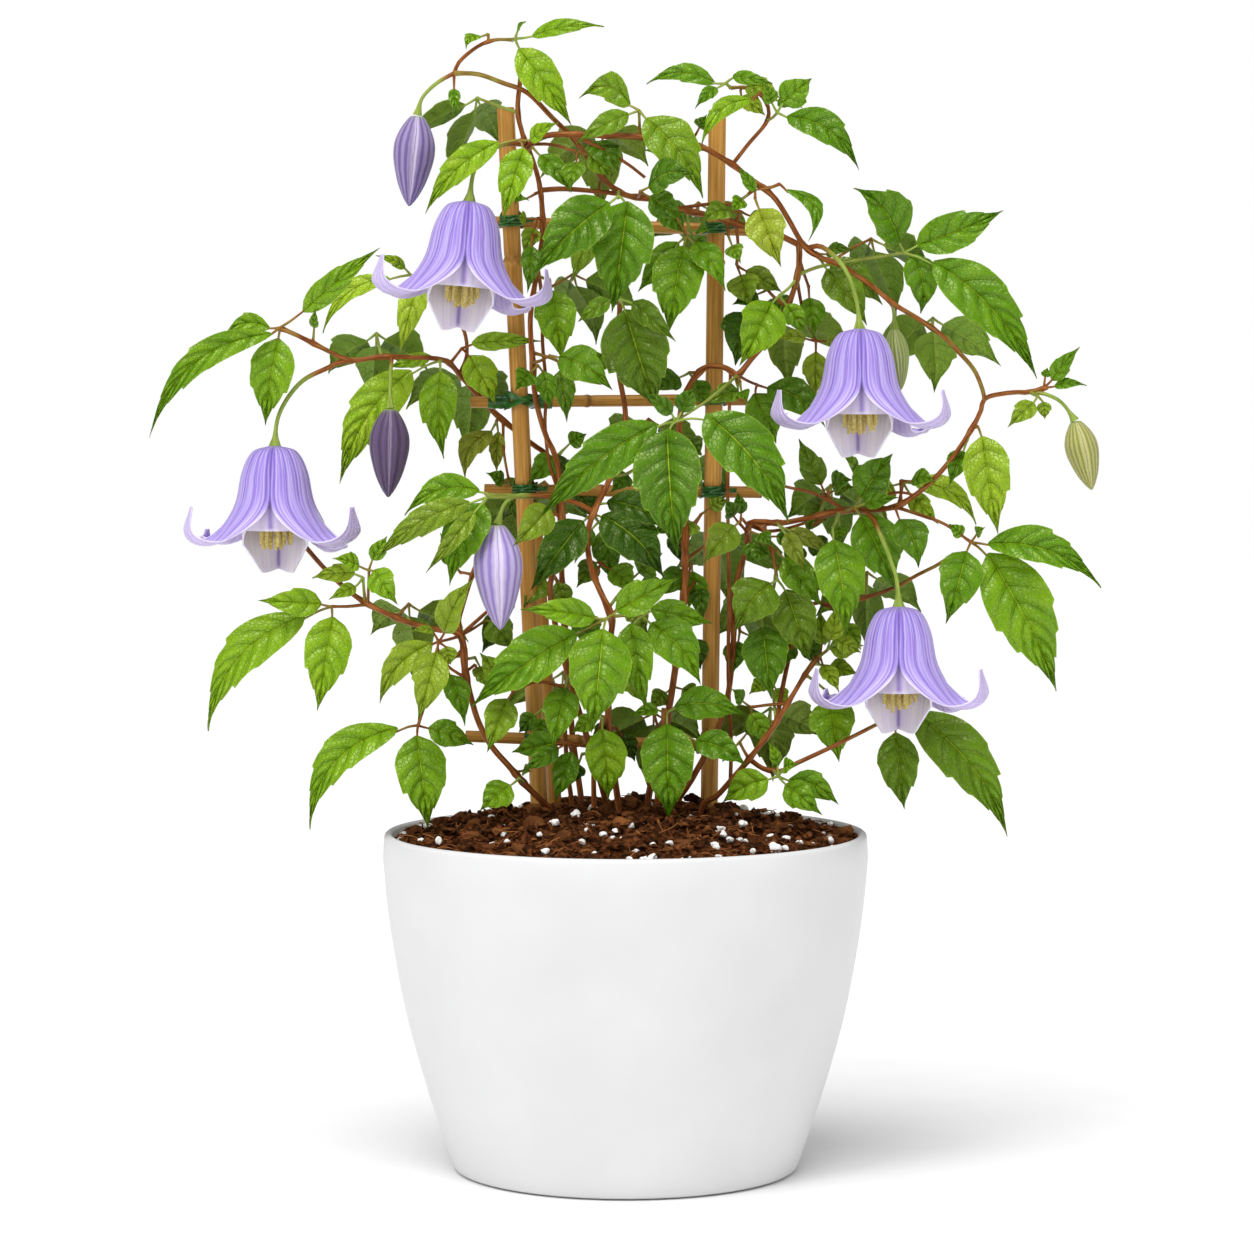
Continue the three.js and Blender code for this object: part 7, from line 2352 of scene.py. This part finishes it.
@dataclass
class Tie:
    """One tie round a cane and the rung behind it."""

    name: str
    middle: Array
    kind: TieKind
    cane: float
    rung: float
    wire: float = 0.56
    windings: int = 4

    def turns(self) -> Array:
        """Winds the wire round the cane, higher behind it than in front.

        Returns:
            Points along the wire.
        """
        steps = np.linspace(0, self.windings * math.tau, 24 * self.windings + 1)
        r = self.cane + self.wire + 0.1
        rise = np.linspace(-2.3, 2.3, len(steps))
        behind = np.maximum(0, np.sin(steps))
        x = r * np.cos(steps)
        y = r * np.sin(steps)
        z = rise + 4.2 * behind
        return self.middle + np.stack([x, y, z], axis=1)

    def lashing(self, slant: float) -> Array:
        """Winds a loop in front of the cane and behind the rung.

        Args:
            slant: Its rise for each millimetre to the right.

        Returns:
            Points along the loop.
        """
        a = np.linspace(0, math.tau, 33)
        depth = 0.5 * (self.cane * 2 + self.rung * 2 + 0.4) + self.wire + 0.3
        x = (self.cane + self.wire + 1.0) * np.cos(a)
        y = depth * np.sin(a) + (RUNG_DEPTH - CANE_DEPTH + self.rung - self.cane) * 0.5
        z = slant * x + 0.4
        return self.middle + np.stack([x, y, z], axis=1)

    def build(self, finish: bpy.types.Material, seed: int) -> bpy.types.Object:
        """Builds the tie with its twisted ends.

        Args:
            finish: Its material.
            seed: Seeds its play.

        Returns:
            The piece.
        """
        heap = Heap()
        roll = Dice(seed)
        if self.kind is TieKind.TAPE:
            for slant, shift in ((0.42, 0.0), (-0.5, 0.3)):
                loop = self.lashing(slant) + UP * shift
                tube(heap, loop, np.full(len(loop), 2.4), 8, flat=0.22)
            for side in (-1, 1):
                start = self.middle + np.array([side * 4.2, RUNG_DEPTH - CANE_DEPTH, 0])
                sleeve = start + np.outer(np.linspace(0, 9.0, 12), [side, 0, 0])
                radii = self.rung + 0.45 + 0.14 * np.sin(np.arange(12) * 1.7)
                tube(heap, sleeve, radii, 16)
        else:
            coil = self.turns()
            tube(heap, coil, np.full(len(coil), self.wire), 6)
            loop = self.lashing(0.5)
            tube(heap, loop, np.full(len(loop), self.wire), 6)
        knot = self.middle + np.array([self.cane + 1.2, -1.0, 0.6])
        for k in (0, 1):
            turn = np.linspace(0, 2.2 * math.tau, 26) + k * math.pi
            out = np.linspace(0, 4.6, 26)
            y = 0.6 * np.cos(turn) - 0.08 * out
            z = 0.6 * np.sin(turn) + 0.05 * out**2 * (roll() - 0.3)
            twist = np.stack([out, y, z], axis=1)
            tube(heap, knot + twist, np.full(26, 0.5), 6)
        piece = heap.piece(f"green_{self.name}", [finish])
        return dress(piece, "tie", self.name)


# ---------------------------------------------------------------- pot and growing mix


@dataclass
class Pot:
    """The round pot, turned from one profile."""

    sides: int = 160

    def build(self, finish: bpy.types.Material) -> bpy.types.Object:
        """Builds the pot: a disc drawn up ring by ring over its lip and down to its floor.

        Args:
            finish: Its material.

        Returns:
            The piece.
        """
        rings = [*POT_FOOT, *curve(POT_OUTSIDE, 28), *POT_LIP, *curve(POT_INSIDE, 20)]
        clear_selection()
        bpy.ops.mesh.primitive_circle_add(
            vertices=self.sides, radius=rings[0][0] * MM, fill_type="TRIFAN", location=(0, 0, 0)
        )
        piece = bpy.context.object
        piece.name = "white_pot"
        bpy.ops.object.mode_set(mode="EDIT")
        bpy.ops.mesh.select_mode(type="EDGE")
        bpy.ops.mesh.select_all(action="SELECT")
        bpy.ops.mesh.flip_normals()
        bpy.ops.mesh.region_to_loop()
        for (r0, z0), (r1, z1) in zip(rings, rings[1:]):
            bpy.ops.mesh.extrude_region_move(TRANSFORM_OT_translate={"value": (0, 0, (z1 - z0) * MM)})
            bpy.ops.transform.resize(value=(r1 / r0, r1 / r0, 1))
        bpy.ops.mesh.fill()
        bpy.ops.mesh.select_all(action="SELECT")
        bpy.ops.mesh.normals_make_consistent(inside=False)
        bpy.ops.object.mode_set(mode="OBJECT")
        piece.data.materials.append(finish)
        smooth(piece, 50)
        return dress(piece, "pot", "pot")


@dataclass
class GrowingMix:
    """Bark and peat that fills the pot: a lumpy body, loose chips on it and grains of perlite."""

    edge: float = 136.0
    edge_radius: float = 95.1
    rise: float = 11.6
    fullness: float = 0.5
    bump: float = 2.2
    mound: float = 92.0
    crumbs: int = 1900
    chips: int = 260
    fibres: int = 520
    grains: int = 190

    def height(self, x: Array, y: Array) -> Array:
        """Returns the height of the smooth mound.

        Args:
            x: Places to the right.
            y: Places to the back.

        Returns:
            The height at each place.
        """
        r = np.minimum(self.mound, np.hypot(x, y))
        mound = self.rise * (0.5 + 0.5 * np.cos(math.pi * r / self.mound)) ** self.fullness
        lumps = np.sin(x * 0.23 + 1.3) * np.cos(y * 0.19) + 0.6 * np.sin(x * 0.47 - y * 0.39)
        return self.edge + mound + self.bump * lumps * np.minimum(1, (self.mound + 2 - r) / 20)

    @staticmethod
    def crumble(x: Array, y: Array) -> Array:
        """Returns the height of the crumbs, about 1 mm either way, from waves that never repeat.

        Args:
            x: Places to the right.
            y: Places to the back.

        Returns:
            The height at each place.
        """
        total = np.zeros_like(x)
        for k, (step, share) in enumerate(((5.2, 0.5), (3.1, 0.55), (1.9, 0.4))):
            for turn in range(3):
                a = 0.7 * k + turn * 2.1
                phase = 3.7 * turn + 1.9 * k
                way = x * math.cos(a) + y * math.sin(a)
                total += share * np.sin(way * math.tau / (step * (1 + 0.13 * turn)) + phase)
        return 0.75 * total

    def body(self, finish: bpy.types.Material) -> bpy.types.Object:
        """Builds the body that fills the pot, with its crumbly top.

        Args:
            finish: Its material.

        Returns:
            The piece.
        """
        heap = Heap()
        below = [(r - 0.4, max(z, 5.4)) for r, z in reversed(POT_INSIDE[1:])]
        top = [(r, 0.0) for r in np.linspace(self.edge_radius, 0.6, 58)]
        rows = np.array([(0.5, 5.4), *below, (93.9, 121.0), *top])
        pattern = rod_pattern(220, len(rows) - 1)
        ring = np.rint(pattern.v * (len(rows) - 1)).astype(int)
        angle = pattern.u * math.tau
        r = rows[ring, 0] * pattern.side
        x, y = r * np.cos(angle), r * np.sin(angle)
        surface = ring > len(below) + 1
        crumbs = self.crumble(x, y) * ease(self.edge_radius - r, 0, 3)
        z = np.where(surface, self.height(x, y) + crumbs, rows[ring, 1])
        heap.add(pattern, np.stack([x, y, z], axis=1), pattern.corner_uv, np.zeros(4))
        piece = heap.piece("bark_mix_body", [finish])
        return dress(piece, "soil", "soil")

    def spots(self, count: int, seed: int) -> list[tuple[Array, Dice]]:
        """Draws places on the mound.

        Args:
            count: How many.
            seed: Seeds the draw.

        Returns:
            The places, each with the dice that go on drawing there.
        """
        roll = Dice(seed)
        found = []
        for _ in range(count):
            r, a = 93.4 * math.sqrt(roll()), math.tau * roll()
            x, y = np.array(r * math.cos(a)), np.array(r * math.sin(a))
            found.append((np.array([x, y, self.height(x, y) + self.crumble(x, y)]), roll))
        return found

    def loose(self, bark: bpy.types.Material, perlite: bpy.types.Material) -> None:
        """Scatters crumbs, bark chips, root fibres and perlite over the mound.

        Args:
            bark: Material of the crumbs, chips and fibres.
            perlite: Material of the grains.
        """
        clear_selection()
        bpy.ops.mesh.primitive_ico_sphere_add(subdivisions=2, radius=1)
        ball = Pattern(bpy.context.object)
        self.scatter_crumbs(ball, bark)
        self.scatter_chips(bark)
        self.scatter_fibres(bark)
        self.scatter_grains(ball, perlite)

    def scatter_crumbs(self, ball: Pattern, bark: bpy.types.Material) -> None:
        """Scatters crumbs of peat.

        Args:
            ball: A ball to knock out of shape.
            bark: Their material.
        """
        crumbs = Heap()
        for spot, roll in self.spots(self.crumbs, 10):
            size = roll.between(0.7, 1.6) + 2.0 * roll() ** 4
            shape = np.array([roll.between(0.8, 1.5), roll.between(0.7, 1.2), roll.between(0.55, 0.9)])
            points = self.jagged(ball, roll, 0.6) * size * shape
            tint = (0.5 * roll() ** 3, 0, 0, 0)
            crumbs.add(ball, spot + UP * roll.between(-0.2, 0.5) * size + points, ball.corner_uv, tint)
        dress(crumbs.piece("peat_crumbs", [bark]), "soil")

    def scatter_chips(self, bark: bpy.types.Material) -> None:
        """Scatters chips of bark.

        Args:
            bark: Their material.
        """
        chips = Heap()
        for spot, roll in self.spots(self.chips, 11):
            way = unit(np.array([roll() - 0.5, roll() - 0.5, 0.6 * (roll() - 0.35)]))
            length, width = roll.between(2.5, 6.5), roll.between(0.5, 1.1)
            track = spot + UP * roll.between(0.2, 1.6) + np.outer([-0.5, -0.15, 0.3, 0.5], way * length)
            radii = width * np.array([0.4, 1.0, 0.85, 0.3])
            tint = (roll.between(0.0, 0.7) ** 2, 0, 0, 0)
            tube(chips, track, radii, 5, tint, flat=roll.between(0.3, 0.8))
        dress(chips.piece("loose_bark_chips", [bark]), "soil")

    def scatter_fibres(self, bark: bpy.types.Material) -> None:
        """Scatters bent root fibres.

        Args:
            bark: Their material.
        """
        fibres = Heap()
        for spot, roll in self.spots(self.fibres, 12):
            way = unit(np.array([roll() - 0.5, roll() - 0.5, 0.3 * (roll() - 0.2)]))
            bend = unit(np.array([roll() - 0.5, roll() - 0.5, roll() - 0.3]))
            length = roll.between(3, 13)
            t = np.linspace(-0.5, 0.5, 6)
            track = spot + UP * 1.1 + np.outer(t, way * length) + np.outer(0.25 - t**2, bend * length * 0.6)
            radii = np.array([0.12, 0.22, 0.25, 0.25, 0.2, 0.1])
            tube(fibres, track, radii, 4, (roll.between(0.1, 0.9), 0, 0, 0))
        dress(fibres.piece("root_fibres", [bark]), "soil")

    def scatter_grains(self, ball: Pattern, perlite: bpy.types.Material) -> None:
        """Scatters grains of perlite.

        Args:
            ball: A ball to knock out of shape.
            perlite: Their material.
        """
        grains = Heap()
        for spot, roll in self.spots(self.grains, 13):
            size = roll.between(0.8, 1.9)
            shape = np.array([roll.between(0.85, 1.25), roll.between(0.85, 1.2), roll.between(0.7, 1.0)])
            points = self.jagged(ball, roll, 0.34) * size * shape
            grains.add(ball, spot + UP * (0.6 + 0.4 * size) + points, ball.corner_uv, np.zeros(4))
        dress(grains.piece("perlite_grains", [perlite]), "soil")

    @staticmethod
    def jagged(ball: Pattern, roll: Dice, depth: float) -> Array:
        """Pushes a ball's points in and out, differently for each draw.

        Args:
            ball: The ball.
            roll: Draws the waves.
            depth: How deep they are, as a share of its radius.

        Returns:
            The points.
        """
        ripple = np.zeros(len(ball.points))
        for _ in range(3):
            way = np.array([roll.between(-5, 5), roll.between(-5, 5), roll.between(-5, 5)])
            ripple = ripple + np.sin(ball.points @ way + math.tau * roll())
        return ball.points * (1 + depth * ripple / 3)[:, None]


# ---------------------------------------------------------------- stage


@dataclass
class Studio:
    """Camera, lights and backdrop."""

    lens: float = 111.8
    tilt: float = 86.64
    ambient: float = 0.47
    mirrored: float = 0.05
    sun: float = 2.45
    sun_spread: float = 44.0
    key: float = 8.0
    fill: float = 4.5

    def camera(self) -> None:
        """Sets the camera in front of the plant, a little above its middle."""
        view = bpy.data.cameras.new("view")
        view.lens = self.lens
        view.sensor_width = 36
        stand = bpy.data.objects.new("view", view)
        stand.location = (0.0006, EYE[1] * MM, EYE[2] * MM)
        stand.rotation_euler = (math.radians(self.tilt), 0, 0)
        bpy.context.scene.collection.objects.link(stand)
        bpy.context.scene.camera = stand

    @staticmethod
    def lamp(name: str, place: Spot, power: float, size: float) -> None:
        """Adds a soft square lamp that points at the plant.

        Args:
            name: Its name.
            place: Where it hangs, in metres.
            power: Its power in watts.
            size: Its side in metres.
        """
        light = bpy.data.lights.new(name, "AREA")
        light.energy = power
        light.size = size
        holder = bpy.data.objects.new(name, light)
        holder.location = place
        aim = Vector((0.0, 0.0, 0.2)) - Vector(place)
        holder.rotation_euler = aim.to_track_quat("-Z", "Y").to_euler()
        bpy.context.scene.collection.objects.link(holder)

    def lights(self) -> None:
        """Sets the lamps and the white surroundings."""
        world = bpy.data.worlds.new("white_studio")
        world.use_nodes = True
        tree = world.node_tree
        background = tree.nodes["Background"]
        background.inputs["Color"].default_value = (1, 1, 1, 1)
        ray = tree.nodes.new("ShaderNodeLightPath")
        lit = tree.nodes.new("ShaderNodeMapRange")
        tree.links.new(ray.outputs["Is Glossy Ray"], lit.inputs["Value"])
        lit.inputs["To Min"].default_value = self.ambient
        lit.inputs["To Max"].default_value = self.mirrored
        white = tree.nodes.new("ShaderNodeMath")
        white.operation = "MAXIMUM"
        tree.links.new(ray.outputs["Is Camera Ray"], white.inputs[0])
        tree.links.new(lit.outputs["Result"], white.inputs[1])
        tree.links.new(white.outputs["Value"], background.inputs["Strength"])
        bpy.context.scene.world = world
        roof = bpy.data.lights.new("roof", "SUN")
        roof.energy = self.sun
        roof.angle = math.radians(self.sun_spread)
        holder = bpy.data.objects.new("roof", roof)
        holder.rotation_euler = Vector((0.12, 0.34, -0.9)).to_track_quat("-Z", "Y").to_euler()
        bpy.context.scene.collection.objects.link(holder)
        self.lamp("key", (-1.1, -1.5, 1.1), self.key, 0.5)
        self.lamp("fill", (1.7, -0.9, 0.7), self.fill, 1.2)

    def floor(self, finish: bpy.types.Material) -> None:
        """Adds a pale floor.

        Args:
            finish: Its material.
        """
        clear_selection()
        bpy.ops.mesh.primitive_plane_add(size=12, location=(0, 0, -0.0005))
        floor = bpy.context.object
        floor.name = "pale_floor"
        floor.data.materials.append(finish)
        floor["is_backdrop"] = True

    def build(self, finish: bpy.types.Material) -> None:
        """Sets the whole stage.

        Args:
            finish: Material of the floor.
        """
        self.camera()
        self.lights()
        self.floor(finish)
        bpy.context.scene.view_settings.view_transform = "Standard"


def corners() -> list[list[float]]:
    """Returns the lowest and the highest corner of what shows, as plain lists."""
    return [[float(c) for c in corner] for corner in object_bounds()]


def main() -> None:
    """Builds the plant piece by piece round its frame."""
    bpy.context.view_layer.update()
    leaf, bark = LeafFinish().build(), StemFinish().build()
    numbered: dict[str, list[tuple[Leaf | BackLeaf, int]]] = {name: [] for name in VINES}
    number = 0
    extra = FIRST_LOOSE
    for name, plan in VINES.items():
        for entry in plan.leaves:
            if any(blade[4] >= LEAST_WIDTH for blade in entry.blades):
                numbered[name].append((entry, number))
                number += 1
            else:
                numbered[name].append((entry, extra))
                extra += 1
        for entry in LOOSE_LEAVES.get(name, []):
            numbered[name].append((entry, extra))
            extra += 1
    for entry in BACK_LEAVES:
        numbered[entry.vine].append((entry, number))
        number += 1
    for name, plan in VINES.items():
        LeafyVine(name, plan).build(numbered[name], [leaf, bark])
    sepal, cup, stamen = SepalFinish().build(), CupFinish().build(), StamenFinish().build()
    for key, (top, tilt, swing) in BELLS.items():
        bell = Bell(key, top, tilt, swing)
        bell.sepals(sepal)
        bell.cup(cup)
        bell.stamens(stamen)
    for key, (top, tip, width) in BUDS.items():
        Bud(key, top, tip, width).build(BUD_FINISHES[key].build())
    Trellis().build(BambooFinish().build(), VINYL.build())
    Pot().build(SATIN_WHITE.build())
    mix = GrowingMix()
    soil = MixFinish().build()
    mix.body(soil)
    mix.loose(soil, PERLITE.build())
    Studio().build(PAPER.build())


if __name__ == "__main__":
    logging.basicConfig(level=logging.INFO, format="%(message)s")
    main()
